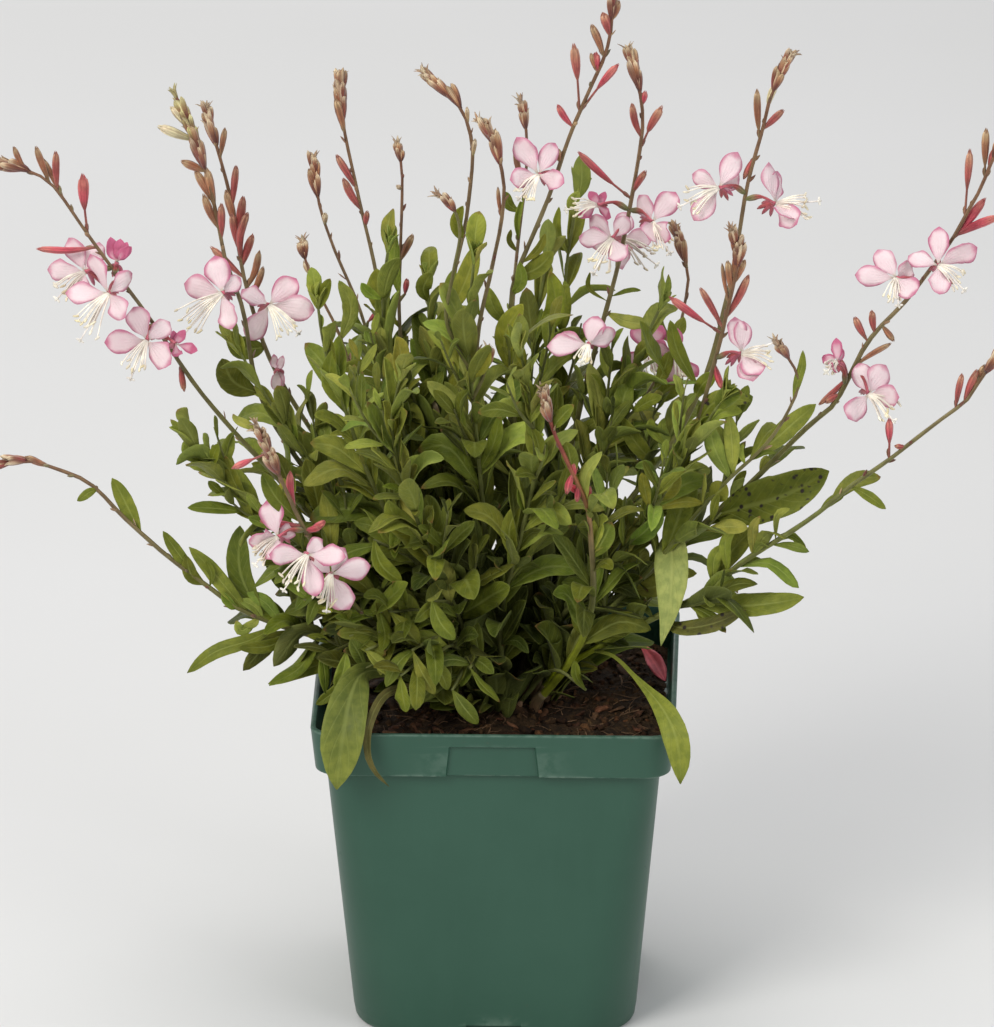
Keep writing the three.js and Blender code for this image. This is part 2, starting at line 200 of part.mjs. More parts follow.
// Leaves that can be told apart from the rest: parent, midrib from base to tip, width.
const LEAVES = [
  { parent: 'root_crown', w: 16.6, n: 'cam', late: true, pts: [[-14,-14,112],[-31,-32,132.5],[-45.5,-48,141.5],[-50.6,-62,138.6],[-53.2,-71.2,127],[-54.6,-73.6,116],[-55.6,-73.4,105.8]] },
  { parent: 'root_crown', w: 3.6, n: 'cam', pts: [[-8,-18.5,112],[-24,-38,130.5],[-37.5,-57,137],[-43.6,-68.5,130.5],[-44.6,-71.5,120],[-42,-72,112.5],[-36.8,-71.6,106.4]] },
  { parent: 'flower_stem_17', w: 10.0, n: 'right', late: true, pts: [[33.4,-9.6,138.8],[43,-24,138.5],[51.5,-41,136.6],[60,-59,134],[65.2,-69.5,128.2],[67.4,-72.2,118.5],[67.6,-72.4,108.8]] },
  { parent: 'flower_stem_16', w: 11.9, n: 'cam', pts: [[68.9,6.9,172.8],[64.7,0.9,172.3],[62.0,-3.1,156.4],[59.9,-3.1,135.0]] },
  { parent: 'flower_stem_16', w: 17.3, n: 'up', pts: [[79.1,7.1,182.3],[87.8,2.1,186.4],[104.0,-1.9,193.1],[119.8,-2.9,202.9]] },
  { parent: 'flower_stem_17', w: 9.4, n: 'up', pts: [[71.0,-20.1,159.5],[86.4,-26.1,159.4],[100.8,-29.1,161.9],[111.2,-28.1,163.9]] },
  { parent: 'flower_stem_17', w: 6.5, n: 'up', pts: [[57.6,-17.3,151.3],[66.6,-26.3,150.8],[78.2,-31.3,154.4],[90.4,-33.3,160.7]] },
  { parent: 'flower_stem_18', w: 5.8, n: 'up', pts: [[-78.7,-21.9,148.8],[-88.4,-27.9,145.1],[-100.9,-29.9,141.2],[-111.1,-29.9,132.9]] },
  { parent: 'flower_stem_18', w: 5.8, n: 'up', pts: [[-54.9,-16.3,140.2],[-61.5,-24.3,135.5],[-71.1,-28.3,133.1],[-81.9,-30.3,129.1]] },
  { parent: 'flower_stem_18', w: 6.1, n: 'cam', pts: [[-89.1,-24.4,154.2],[-96.2,-27.4,164.2],[-103.3,-28.4,173.8],[-110.1,-28.4,181.1]] },
  { parent: 'flower_stem_18', w: 4.7, n: 'cam', pts: [[-107.1,-29.4,169.2],[-113.2,-31.4,178.7],[-116.7,-32.4,184.5],[-119.2,-32.4,188.7]] },
  { parent: 'flower_stem_18', w: 6.1, n: 'cam', pts: [[-126.5,-35.1,188.4],[-131.6,-33.1,197.7],[-134.5,-32.1,203.4],[-137.4,-31.1,208.4]] },
  { parent: 'flower_stem_18', w: 3.3, n: 'cam', pts: [[-142.7,-40.4,208.0],[-144.6,-43.4,207.7],[-147.1,-44.4,206.1],[-149.2,-45.4,204.9]] },
  { parent: 'flower_stem_14', w: 7.9, n: 'up', pts: [[71.5,-12.9,222.9],[77.6,-15.9,233.2],[84.1,-17.9,236.3],[91.6,-18.9,235.6]] },
  { parent: 'flower_stem_21', w: 7.6, n: 'up', pts: [[91.9,-26.2,216.0],[100.3,-22.2,222.0],[108.1,-21.2,229.3],[114.9,-21.2,235.5]] },
  { parent: 'leafy_shoot_02', w: 7.2, n: 'cam', pts: [[-63.7,4.8,194.5],[-57.4,-1.2,202.4],[-52.2,-4.2,202.1],[-45.0,-5.2,196.4]] },
  { parent: 'leafy_shoot_11', w: 7.2, n: 'cam', pts: [[-25.2,-36.1,188.4],[-33.7,-41.1,197.1],[-36.4,-44.1,201.3],[-37.8,-46.1,206.7]] },
  { parent: 'flower_stem_17', w: 4.0, n: 'up', pts: [[127.1,-33.4,208.3],[131.7,-35.4,207.3],[136.0,-36.4,204.7],[140.3,-37.4,201.7]] },
  { parent: 'flower_stem_21', w: 3.3, n: 'cam', pts: [[107.0,-31.5,241.1],[108.4,-33.5,249.2],[109.8,-33.5,254.6],[110.1,-33.5,260.6]] },
  { parent: 'leafy_shoot_01', w: 5.1, n: 'cam', pts: [[-100.8,-36.5,213.4],[-97.7,-33.5,215.8],[-95.6,-32.5,220.8],[-94.1,-31.5,226.6]] },
];

// Places among the leaves that are bare, seen from the front and a little above:
// from and to in x, from and to in view height (0.934 z + 0.358 y), and the y in
// front of which no leaf comes.
const BARE = [
  { x: [37.2, 63.2], h: [92.6, 124.4], y: 60 },
  { x: [-35.0, 37.2], h: [92.6, 99.5], y: 60 },
  { x: [10.8, 19.9], h: [100.2, 110.3], y: -8 },
  { x: [17.3, 27.8], h: [108.2, 118.3], y: -8 },
  { x: [24.9, 36.5], h: [116.1, 126.2], y: -9.5 },
  { x: [57.8, 71.2], h: [123.3, 166.0], y: 2 },
  { x: [81.3, 119.6], h: [169.6, 189.8], y: -2 },
  { x: [-58.9, -42.3], h: [73.5, 116.1], y: -40 },
];

// ------------------------------------------------------------ small helpers
const V = (x, y, z) => new THREE.Vector3(x, y, z);
const vec = (a) => new THREE.Vector3(a[0], a[1], a[2]);

function randomFrom(seed) {
  let a = (seed * 2654435761) >>> 0;
  return () => {
    a = (a + 0x6d2b79f5) >>> 0;
    let t = a;
    t = Math.imul(t ^ (t >>> 15), t | 1);
    t ^= t + Math.imul(t ^ (t >>> 7), t | 61);
    return ((t ^ (t >>> 14)) >>> 0) / 4294967296;
  };
}

// A closed three.js geometry as a solid that can be joined and cut.
function solid(geometry) {
  const g = geometry.index ? geometry.clone() : geometry.clone();
  g.deleteAttribute('normal');
  g.deleteAttribute('uv');
  const m = mergeVertices(g, 1e-5);
  const idx = m.index.array, tri = [];
  for (let i = 0; i < idx.length; i += 3) {
    const a = idx[i], b = idx[i + 1], c = idx[i + 2];
    if (a !== b && b !== c && a !== c) tri.push(a, b, c);
  }
  let s = new wasm.Manifold(new wasm.Mesh({
    numProp: 3,
    vertProperties: new Float32Array(m.attributes.position.array),
    triVerts: new Uint32Array(tri),
  }));
  if (s.volume() < 0) {
    for (let i = 0; i < tri.length; i += 3) [tri[i], tri[i + 1]] = [tri[i + 1], tri[i]];
    s = new wasm.Manifold(new wasm.Mesh({
      numProp: 3,
      vertProperties: new Float32Array(m.attributes.position.array),
      triVerts: new Uint32Array(tri),
    }));
  }
  return s;
}

function geometryOf(s) {
  const mesh = s.getMesh();
  const g = new THREE.BufferGeometry();
  const n = mesh.numProp, src = mesh.vertProperties, pos = new Float32Array((src.length / n) * 3);
  for (let i = 0; i < src.length / n; i++) {
    pos[3 * i] = src[n * i];
    pos[3 * i + 1] = src[n * i + 1];
    pos[3 * i + 2] = src[n * i + 2];
  }
  g.setAttribute('position', new THREE.BufferAttribute(pos, 3));
  g.setIndex(new THREE.BufferAttribute(new Uint32Array(mesh.triVerts), 1));
  g.computeVertexNormals();
  return g;
}

// A square with rounded corners, as a turned profile pulled out to its corners.
// Each profile point is [half width, corner radius, z].
function squareTurned(profile) {
  const per = CORNER_STEPS + 1, segments = 4 * per;
  const lathe = new THREE.LatheGeometry(profile.map(([h, , z]) => new THREE.Vector2(h, z)), segments);
  const p = lathe.attributes.position, rows = profile.length;
  for (let j = 0; j <= segments; j++) {
    const k = j % segments, corner = Math.floor(k / per), step = (k % per) / CORNER_STEPS;
    const sx = [1, -1, -1, 1][corner], sy = [1, 1, -1, -1][corner];
    const ang = (corner + step) * Math.PI / 2;
    for (let i = 0; i < rows; i++) {
      const [h, c, z] = profile[i], r = Math.min(c, h);
      if (h === 0) p.setXYZ(j * rows + i, 0, 0, z);
      else p.setXYZ(j * rows + i, sx * (h - r) + r * Math.cos(ang), sy * (h - r) + r * Math.sin(ang), z);
    }
  }
  return lathe;
}

// A lens-shaped or round-sectioned body along a path: leaf, petal, bud, sepal.
// halfWidths and halfThicks are given at the stations ts between both ends.
function blade(points, normalHint, ts, halfWidths, halfThicks) {
  const curve = points.length === 2 ? new THREE.LineCurve3(points[0], points[1]) : new THREE.CatmullRomCurve3(points, false, 'centripetal');
  const rings = ts.length, g = new THREE.SphereGeometry(1, 4, rings + 1), p = g.attributes.position;
  for (let i = 0; i <= rings + 1; i++) {
    const t = i === 0 ? 0 : i === rings + 1 ? 1 : ts[i - 1];
    const c = curve.getPointAt(t), tan = curve.getTangentAt(t);
    const n = normalHint.clone().addScaledVector(tan, -normalHint.dot(tan));
    if (n.lengthSq() < 1e-4) n.set(tan.y, -tan.x, 0.01);
    n.normalize();
    const side = n.clone().cross(tan);
    for (let k = 0; k <= 4; k++) {
      const q = c.clone();
      if (i > 0 && i <= rings) {
        const a = (k % 4) * Math.PI / 2;
        q.addScaledVector(side, -Math.cos(a) * halfWidths[i - 1]).addScaledVector(n, Math.sin(a) * halfThicks[i - 1]);
      }
      p.setXYZ(i * 5 + k, q.x, q.y, q.z);
    }
  }
  return solid(g);
}

const leafStations = [0.1, 0.6];
const longLeafStations = [0.08, 0.36, 0.64, 0.86];
const lateLeafStations = [0.06, 0.5, 0.8, 0.92];
function leafSolid(points, hint, width, grow = 0, late = false) {
  const w = width / 2 + grow, h = LEAF_THICKNESS / 2 + grow;
  if (late) return blade(points, hint, lateLeafStations, [0.9 + grow, 0.36 * w, w, 0.66 * w], [0.7 + grow, h, h, 0.8 * h]);
  if (points.length > 3) return blade(points, hint, longLeafStations, [0.8 + grow, 0.62 * w, w, 0.66 * w], [0.6 + grow, h, h, 0.8 * h]);
  return blade(points, hint, leafStations, [0.8 + grow, w], [0.55 + grow, h]);
}

// A tapering stem that follows a list of points.
function stemSolid(points, r0, r1, grow = 0) {
  const curve = new THREE.CatmullRomCurve3(points, false, 'centripetal'), n = points.length - 1;
  const g = new THREE.CylinderGeometry(1, 1, 1, STEM_SIDES, n), p = g.attributes.position;
  const frames = curve.computeFrenetFrames(n, false);
  for (let i = 0; i < p.count; i++) {
    const t = Math.min(1, Math.max(0, p.getY(i) + 0.5)), k = Math.round(t * n), r = r0 + (r1 - r0) * t + grow;
    const q = curve.getPointAt(t);
    q.addScaledVector(frames.normals[k], p.getX(i) * r).addScaledVector(frames.binormals[k], p.getZ(i) * r);
    p.setXYZ(i, q.x, q.y, q.z);
  }
  return solid(g);
}

// The stem's centre line as its facets have it, to root buds and leaves on.
function centreLine(points) {
  const curve = new THREE.CatmullRomCurve3(points, false, 'centripetal'), n = points.length - 1;
  const c = [];
  for (let i = 0; i <= n; i++) c.push(curve.getPointAt(i / n));
  const at = (u) => {
    const k = Math.min(n - 1, Math.floor(u * n)), f = u * n - k;
    return { p: c[k].clone().lerp(c[k + 1], f), tan: c[k + 1].clone().sub(c[k]).normalize() };
  };
  const nearest = (q) => {
    let best = null, bd = 1e9;
    for (let k = 0; k < n; k++) {
      const line = new THREE.Line3(c[k], c[k + 1]), w = line.closestPointToPoint(q, true, V(0, 0, 0)), d = w.distanceTo(q);
      if (d < bd) { bd = d; best = w; }
    }
    return best;
  };
  return { at, nearest, end: c[n], before: c[n - 1] };
}

function budSolid(base, tip, halfWidth) {
  return blade([base, tip], V(0.2, -1, 0.3), [0.6], [halfWidth], [halfWidth]);
}

const group = new THREE.Group();
const placed = [];                // every solid so far: { node, solid, box }
function boxOf(s) {
  const b = s.boundingBox();
  return new THREE.Box3(vec([b.min[0], b.min[1], b.min[2]]), vec([b.max[0], b.max[1], b.max[2]]));
}
function hits(candidate, node) {
  const box = boxOf(candidate), found = [];
  for (const q of placed) {
    if (q.node === node || found.includes(q.node) || !q.box.intersectsBox(box)) continue;
    if (candidate.intersect(q.solid).volume() > 1e-4) found.push(q.node);
  }
  return found;
}
function keep(node, s) {
  placed.push({ node, solid: s, box: boxOf(s) });
  return s;
}
const notes = [];
function addMesh(name, s, look, data = {}) {
  const mesh = new THREE.Mesh(geometryOf(s), new THREE.MeshStandardMaterial(look));
  mesh.name = name;
  mesh.userData = data;
  group.add(mesh);
}
const joined = (list) => list.reduce((a, b) => a.add(b));

// ------------------------------------------------------------------ the pot
const half = (w) => w / 2, collarZ = POT_HEIGHT - COLLAR_HEIGHT;
const potProfile = [
  [0, 0, 0],
  [half(BASE_WIDTH) - 1.2, BASE_CORNER_R - 1.2, 0],
  [half(BASE_WIDTH), BASE_CORNER_R, 1.4],
  [half(BODY_TOP_WIDTH), BODY_CORNER_R, collarZ],
  [half(COLLAR_LOW_WIDTH) - 0.6, RIM_CORNER_R + 0.4, collarZ],
  [half(COLLAR_LOW_WIDTH), RIM_CORNER_R + 0.4, collarZ + 0.8],
  [half(RIM_WIDTH), RIM_CORNER_R, POT_HEIGHT - 0.7],
  [half(RIM_WIDTH) - 0.6, RIM_CORNER_R - 0.5, POT_HEIGHT],
  [half(RIM_WIDTH) - RIM_WALL, RIM_CORNER_R - 1.6, POT_HEIGHT],
  [half(COLLAR_LOW_WIDTH) - RIM_WALL, RIM_CORNER_R - 1.2, collarZ + RIM_WALL + 0.4],
  [half(BODY_TOP_WIDTH) - WALL, BODY_CORNER_R - WALL, collarZ + 0.4],
  [half(BASE_WIDTH) - WALL, BASE_CORNER_R - WALL, FLOOR],
  [0, 0, FLOOR],
];
let pot = solid(squareTurned(potProfile));

// The label recess: a shallow trapezoid panel, backed by a small bulge inside.
function panel(topWidth, lowWidth, zTop, zLow, depth) {
  const s = new THREE.Shape();
  s.moveTo(-topWidth / 2, zTop);
  s.lineTo(-lowWidth / 2, zLow);
  s.lineTo(lowWidth / 2, zLow);
  s.lineTo(topWidth / 2, zTop);
  s.closePath();
  const g = new THREE.ExtrudeGeometry(s, { depth, bevelEnabled: false });
  g.rotateX(Math.PI / 2);         // the outline's y becomes z; it extrudes along -Y
  return g;
}
const collarSlope = (half(RIM_WIDTH) - half(COLLAR_LOW_WIDTH)) / (COLLAR_HEIGHT - 1.5);
const labelFaceY = -(half(COLLAR_LOW_WIDTH) + collarSlope * (LABEL_LOW_Z - collarZ));
function collarPanel(grow, below, depthIn, depthOut) {
  const g = panel(LABEL_TOP_WIDTH + 2 * grow, LABEL_LOW_WIDTH + 2 * grow, LABEL_TOP_Z + grow, LABEL_LOW_Z - below, depthIn + depthOut);
  const p = g.attributes.position;
  for (let i = 0; i < p.count; i++) {
    const lean = -collarSlope * (p.getZ(i) - LABEL_LOW_Z);
    p.setY(i, p.getY(i) + labelFaceY + depthIn + lean);
  }
  return solid(g);
}
pot = pot.add(collarPanel(1.2, 0, RIM_WALL + LABEL_BACKING, -0.4));
pot = pot.subtract(collarPanel(0, 0.6, LABEL_DEPTH, 3));

// Drain slots: one at the foot of each side.
for (let i = 0; i < 4; i++) {
  const slot = new THREE.BoxGeometry(NOTCH_WIDTH, 8, 2 * NOTCH_HEIGHT);
  slot.translate(0, -(half(BASE_WIDTH) - WALL - 0.4 + 4), 0);
  slot.rotateZ(i * Math.PI / 2);
  pot = pot.subtract(solid(slot));
}
keep('pot', pot);
addMesh('pot', pot, POT_GREEN);

// -------------------------------------------------------------- the compost
function soilRow(h, c, z) { return [h, c, z]; }
const soilProfile = [
  [0, 0, FLOOR + GAP],
  soilRow(half(BASE_WIDTH) - WALL - GAP - 0.6, BASE_CORNER_R - 2, FLOOR + GAP),
  soilRow(half(BODY_TOP_WIDTH) - WALL - GAP - 0.1, BODY_CORNER_R - 2, collarZ + 0.2),
  soilRow(SOIL_EDGE, RIM_CORNER_R - 2, collarZ + RIM_WALL + 1.8),
  soilRow(SOIL_EDGE, RIM_CORNER_R - 2, SOIL_Z - 0.6),
  soilRow(50, 14, SOIL_Z + 0.2),
  soilRow(36, 18, SOIL_Z + 0.3),
  [0, 0, SOIL_Z + 0.6],
];
const soilGeometry = squareTurned(soilProfile);
{
  const p = soilGeometry.attributes.position, rows = soilProfile.length, cols = p.count / rows;
  for (let i = 4; i <= 6; i++) {
    for (let j = 0; j < cols; j++) {
      const k = j % (cols - 1), bump = Math.sin(k * 2.7 + i * 1.9) * Math.cos(k * 1.3 + i * 3.1);
      p.setZ(j * rows + i, p.getZ(j * rows + i) + SOIL_ROUGHNESS * bump * (i === 4 ? 0.5 : 1));
    }
  }
}
let soil = solid(soilGeometry);
const crownSeat = new THREE.CylinderGeometry(CROWN_R + 0.6, CROWN_R + 0.6, 12, 14);
crownSeat.rotateX(Math.PI / 2);
crownSeat.translate(0, 0, CROWN_TOP_Z - CROWN_DEPTH - GAP + 6);
soil = soil.subtract(solid(crownSeat));
keep('soil', soil);
addMesh('soil', soil, COMPOST);

// ------------------------------------------------------ stems and their buds
const UP = V(0, 0, 1), VIEW = V(0, -1, 0.35).normalize();
const members = {}, leafTables = {};
const crown = new THREE.CylinderGeometry(CROWN_R - 1.5, CROWN_R, CROWN_DEPTH, 14);
crown.rotateX(Math.PI / 2);
crown.translate(0, 0, CROWN_TOP_Z - CROWN_DEPTH / 2);
members.root_crown = [keep('root_crown', solid(crown))];
leafTables.root_crown = [];

for (const s of STEMS) {
  const pts = s.pts.map(vec), node = s.name;
  const body = stemSolid(pts, s.r0, s.r1);
  const hit = hits(stemSolid(pts, s.r0, s.r1, GAP), node);
  if (hit.length) notes.push(`${node} meets ${hit}`);
  members[node] = [keep(node, body)];
  leafTables[node] = [];
  const line = centreLine(pts);
  for (const b of s.buds) {
    const foot = line.nearest(vec(b.base)), way = vec(b.tip).sub(foot).normalize();
    const bud = budSolid(foot.addScaledVector(way, -0.7), vec(b.tip), b.w / 2);
    members[node].push(keep(node, bud));
  }
  if (s.cluster > 0) {            // the packed buds at the tip of a spike
    const end = line.end, dir = end.clone().sub(line.before).normalize();
    const r = randomFrom(s.seed + 7 * STEMS.indexOf(s));
    const low = end.clone().addScaledVector(dir, -0.28 * s.cluster), far = end.clone();
    members[node].push(keep(node, budSolid(end.clone().addScaledVector(dir, -0.42 * s.cluster), far.addScaledVector(dir, 0.6), 1.9)));
    const a = V(0, -1, 0.3).cross(dir).normalize();
    for (const sgn of [r() < 0.5 ? -1 : 1]) {
      const tip = low.clone().addScaledVector(dir, 0.3 * s.cluster * (0.5 + 0.3 * r())).addScaledVector(a, sgn * (2.2 + r()));
      members[node].push(keep(node, budSolid(low.clone().addScaledVector(dir, -1.5 - sgn), tip, 1.1)));
    }
  }
}

// ------------------------------------------------------------------ flowers
const petalStations = [0.5, 0.88];
for (const f of FLOWERS) {
  const c = vec(f.c), att = vec(f.att), node = f.name, list = [];
  const axis = c.clone().sub(att), reach = axis.length();
  axis.normalize();
  const stemR = 1.15 + GAP;
  const start = att.clone().addScaledVector(axis, Math.min(stemR, reach * 0.4));
  list.push(blade([start, c.clone().addScaledVector(axis, 1.5)], V(0.3, 0.2, 1), [0.97 - 1.5 / (reach + 1.5)], [1.5], [1.5]));
  const mean = f.pet.reduce((a, q) => a.add(vec(q).normalize()), V(0, 0, 0));
  for (const q of f.pet) {
    const d = vec(q), L = d.length();
    const away = VIEW.clone().multiplyScalar(-1);
    const mid = c.clone().addScaledVector(d, 0.5).addScaledVector(away, -0.9);
    const w = PETAL_WIDTH * (L / 15) * (f.open < 0.8 ? 0.6 : 1);
    list.push(blade([c.clone().addScaledVector(d, 0.035), mid, c.clone().add(d)], VIEW, petalStations,
      [w / 2, 0.32 * w], [PETAL_THICKNESS / 2, PETAL_THICKNESS / 2]));
  }
  const s = vec(f.stam), sl = s.length();
  const across = VIEW.clone().cross(s).normalize();
  for (const k of [-1, 1]) {
    const tip = c.clone().add(s).addScaledVector(across, k * 2.6).addScaledVector(UP, k * 0.6);
    const mid = c.clone().addScaledVector(s, 0.55).addScaledVector(across, k * 1.3).addScaledVector(UP, 0.8);
    list.push(blade([c.clone().addScaledVector(s, 0.03).addScaledVector(across, k * 0.5), mid, tip], V(0.3, -0.2, 1), [0.8], [STAMEN_R * 1.4], [STAMEN_R * 1.4]));
  }
  const back = c.clone().addScaledVector(axis, -0.9);
  const sep = back.clone().addScaledVector(axis, -0.55 * SEPAL_LENGTH).addScaledVector(UP, -0.7 * SEPAL_LENGTH).addScaledVector(VIEW, -1.5);
  if (reach > 5) list.push(blade([back, sep], VIEW, [0.5], [1.1], [0.6]));
  const clash = new Set();
  for (const q of list) for (const h of hits(q, node)) clash.add(h);
  if (clash.size) notes.push(`${node} meets ${[...clash]}`);
  for (const q of list) keep(node, q);
  members[node] = list;
}

// ------------------------------------------------------------------- leaves
for (const q of LEAVES) {         // the leaves that stand out one by one
  const host = STEMS.find((s) => s.name === q.parent), pts = q.pts.map(vec);
  if (host) pts[0] = centreLine(host.pts.map(vec)).nearest(pts[0]);
  const hint = q.n === 'up' ? V(0.1, -0.75, 0.66) : q.n === 'right' ? V(0.86, -0.5, 0.3) : VIEW;
  const clash = hits(leafSolid(pts, hint, q.w, GAP, q.late), q.parent);
  if (clash.length) notes.push(`leaf on ${q.parent} at ${q.pts[q.pts.length - 1]} meets ${clash}`);
  members[q.parent].push(keep(q.parent, leafSolid(pts, hint, q.w, 0, q.late)));
  leafTables[q.parent].push({ pts: q.pts, w: q.w, n: hint.toArray(), own: 1, late: q.late ? 1 : 0 });
}

function inBarePlace(points) {
  const curve = new THREE.CatmullRomCurve3(points, false, 'centripetal');
  return [0.3, 0.5, 0.7, 0.85, 1].some((t) => {
    const p = curve.getPoint(t), h = 0.934 * p.z + 0.358 * p.y;
    return BARE.some((b) => p.x > b.x[0] && p.x < b.x[1] && h > b.h[0] && h < b.h[1] && p.y < b.y);
  });
}

function tryLeaf(node, base, dir, tangent, length, width, droop) {
  const out = dir.clone().addScaledVector(tangent, -dir.dot(tangent)).normalize();
  const mid = base.clone().addScaledVector(dir, length * 0.5).addScaledVector(UP, droop * 0.12 * length);
  const tip = base.clone().addScaledVector(dir, length).addScaledVector(UP, -droop * 0.22 * length);
  let hint = UP.clone().multiplyScalar(0.8).addScaledVector(out, -0.55);
  if (tangent.z > 0.8) hint = tangent.clone().multiplyScalar(0.7).addScaledVector(out, -0.5);
  hint.normalize();
  if (inBarePlace([base, mid, tip])) return false;
  const wide = leafSolid([base, mid, tip], hint, width, GAP + 0.05);
  if (hits(wide, node).length) return false;
  members[node].push(keep(node, leafSolid([base, mid, tip], hint, width)));
  leafTables[node].push({ pts: [base, mid, tip].map((p) => p.toArray().map((x) => +x.toFixed(2))), w: +width.toFixed(2), n: hint.toArray().map((x) => +x.toFixed(3)) });
  return true;
}

let leafCount = 0;
for (const s of STEMS) {
  const line = centreLine(s.pts.map(vec)), rnd = randomFrom(11 + 31 * STEMS.indexOf(s));
  const total = s.len, from = s.kind === 'leafy' ? 14 : 16, to = s.kind === 'leafy' ? total : total * s.leaf_to;
  const n = s.cad;
  for (let i = 0; i < n; i++) {
    const along = from + (to - from) * (n > 1 ? i / (n - 1) : 0.5), u = Math.min(0.995, along / total);
    const { p: base, tan } = line.at(u), tipLeaf = s.kind === 'leafy' && i >= n - 2;
    const side = Math.abs(tan.z) < 0.95 ? UP.clone().cross(tan).normalize() : V(1, 0, 0), other = tan.clone().cross(side);
    for (let k = 0; k < 12; k++) {
      const a = i * LEAF_TURN + s.seed + k * 1.15 + rnd() * 0.5;
      const out = side.clone().multiplyScalar(Math.cos(a)).addScaledVector(other, Math.sin(a));
      if (base.z < 135 && out.z < -0.2) continue;
      const spread = tipLeaf ? 0.35 : 0.72 + 0.35 * rnd();
      const dir = tan.clone().multiplyScalar(Math.cos(spread)).addScaledVector(out, Math.sin(spread)).normalize();
      const L = (LEAF_LENGTH[1] + (LEAF_LENGTH[0] - LEAF_LENGTH[1]) * u) * (0.82 + 0.3 * rnd()) * (k > 6 ? 0.75 : 1) * s.lw;
      if (base.z + dir.z * L < 118) continue;
      if (tryLeaf(s.name, base, dir, tan, L, L / LEAF_SLENDERNESS, 0.5 + 0.5 * rnd())) { leafCount++; break; }
    }
  }
}

// A ring of basal leaves that arch outwards from the crown over the rim.
const BASAL = 13;
for (let i = 0; i < BASAL; i++) {
  const rnd = randomFrom(900 + i);
  for (let k = 0; k < 10; k++) {
    const a = (i + 0.35 * k) * 2 * Math.PI / BASAL + 0.2, r = CROWN_R - 3.2, L = 34 + 12 * rnd();
    const base = V(r * Math.cos(a), r * Math.sin(a), CROWN_TOP_Z - 1.2), out = V(Math.cos(a), Math.sin(a), 0);
    const mid = base.clone().addScaledVector(out, 0.5 * L).addScaledVector(UP, 0.28 * L + 4);
    const tip = base.clone().addScaledVector(out, 0.93 * L).addScaledVector(UP, 0.3 * L + 2 - 6 * rnd());
    const hint = UP.clone().addScaledVector(out, -0.3).normalize(), w = L / 3.6;
    if (inBarePlace([base, mid, tip]) || hits(leafSolid([base, mid, tip], hint, w, GAP + 0.05), 'root_crown').length) continue;
    members.root_crown.push(keep('root_crown', leafSolid([base, mid, tip], hint, w)));
    leafTables.root_crown.push({ pts: [base, mid, tip].map((p) => p.toArray().map((x) => +x.toFixed(2))), w: +w.toFixed(2), n: hint.toArray() });
    leafCount++;
    break;
  }
}

// A single dead crimson leaf that lies along the right wall on the compost.
{
  const pts = [V(50.5, 36.3, 114.6), V(53.8, 29, 116.2), V(57.3, 21.3, 116.0), V(60.3, 14, 114.2)];
  const s = blade(pts, V(-0.35, -0.35, 0.87).normalize(), longLeafStations, [1.2, 2.6, 3.9, 2.9], [0.5, 0.55, 0.6, 0.5]);
  const clash = hits(s, 'fallen_red_leaf');
  if (clash.length) notes.push(`red leaf meets ${clash}`);
  keep('fallen_red_leaf', s);
  members.fallen_red_leaf = [s];
}

const order = ['root_crown', ...STEMS.map((s) => s.name), ...FLOWERS.map((f) => f.name), 'fallen_red_leaf'];
for (const node of order) {
  const s = joined(members[node]);
  const look = node === 'root_crown' ? CROWN_BROWN : node.startsWith('leafy') ? LEAF_GREEN : node.startsWith('flower_stem') ? SPIKE_GREEN : node.startsWith('flower') ? PETAL_WHITE : RED_LEAF;
  addMesh(node, s, look, { leaves: leafTables[node] || [] });
}
group.userData = { notes, leafCount };

export default group;
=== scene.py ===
# Looks for the potted gaura: the CAD nodes of the plant are replaced by finely
# modelled pieces grown along the same stems, on the same leaves and flowers.
import math

import bpy
import numpy as np
from mathutils import Matrix, Vector


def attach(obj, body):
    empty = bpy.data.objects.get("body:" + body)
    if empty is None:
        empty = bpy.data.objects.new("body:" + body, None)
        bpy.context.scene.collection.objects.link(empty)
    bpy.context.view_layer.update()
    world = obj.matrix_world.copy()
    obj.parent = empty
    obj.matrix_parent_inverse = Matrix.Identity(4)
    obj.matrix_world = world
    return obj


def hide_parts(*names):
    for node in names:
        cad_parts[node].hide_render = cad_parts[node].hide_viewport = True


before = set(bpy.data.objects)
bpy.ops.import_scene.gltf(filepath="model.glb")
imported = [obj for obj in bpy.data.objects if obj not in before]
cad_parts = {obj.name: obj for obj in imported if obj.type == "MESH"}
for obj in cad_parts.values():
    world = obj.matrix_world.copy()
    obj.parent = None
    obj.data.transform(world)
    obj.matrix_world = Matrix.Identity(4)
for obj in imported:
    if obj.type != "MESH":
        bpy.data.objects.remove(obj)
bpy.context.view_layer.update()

WORLD_LIGHT, KEY, FILL, TOPL, BACKL = 0.42, 25.0, 8.0, 11.5, 7.0
SPOTTED = (17.3, 7.9)

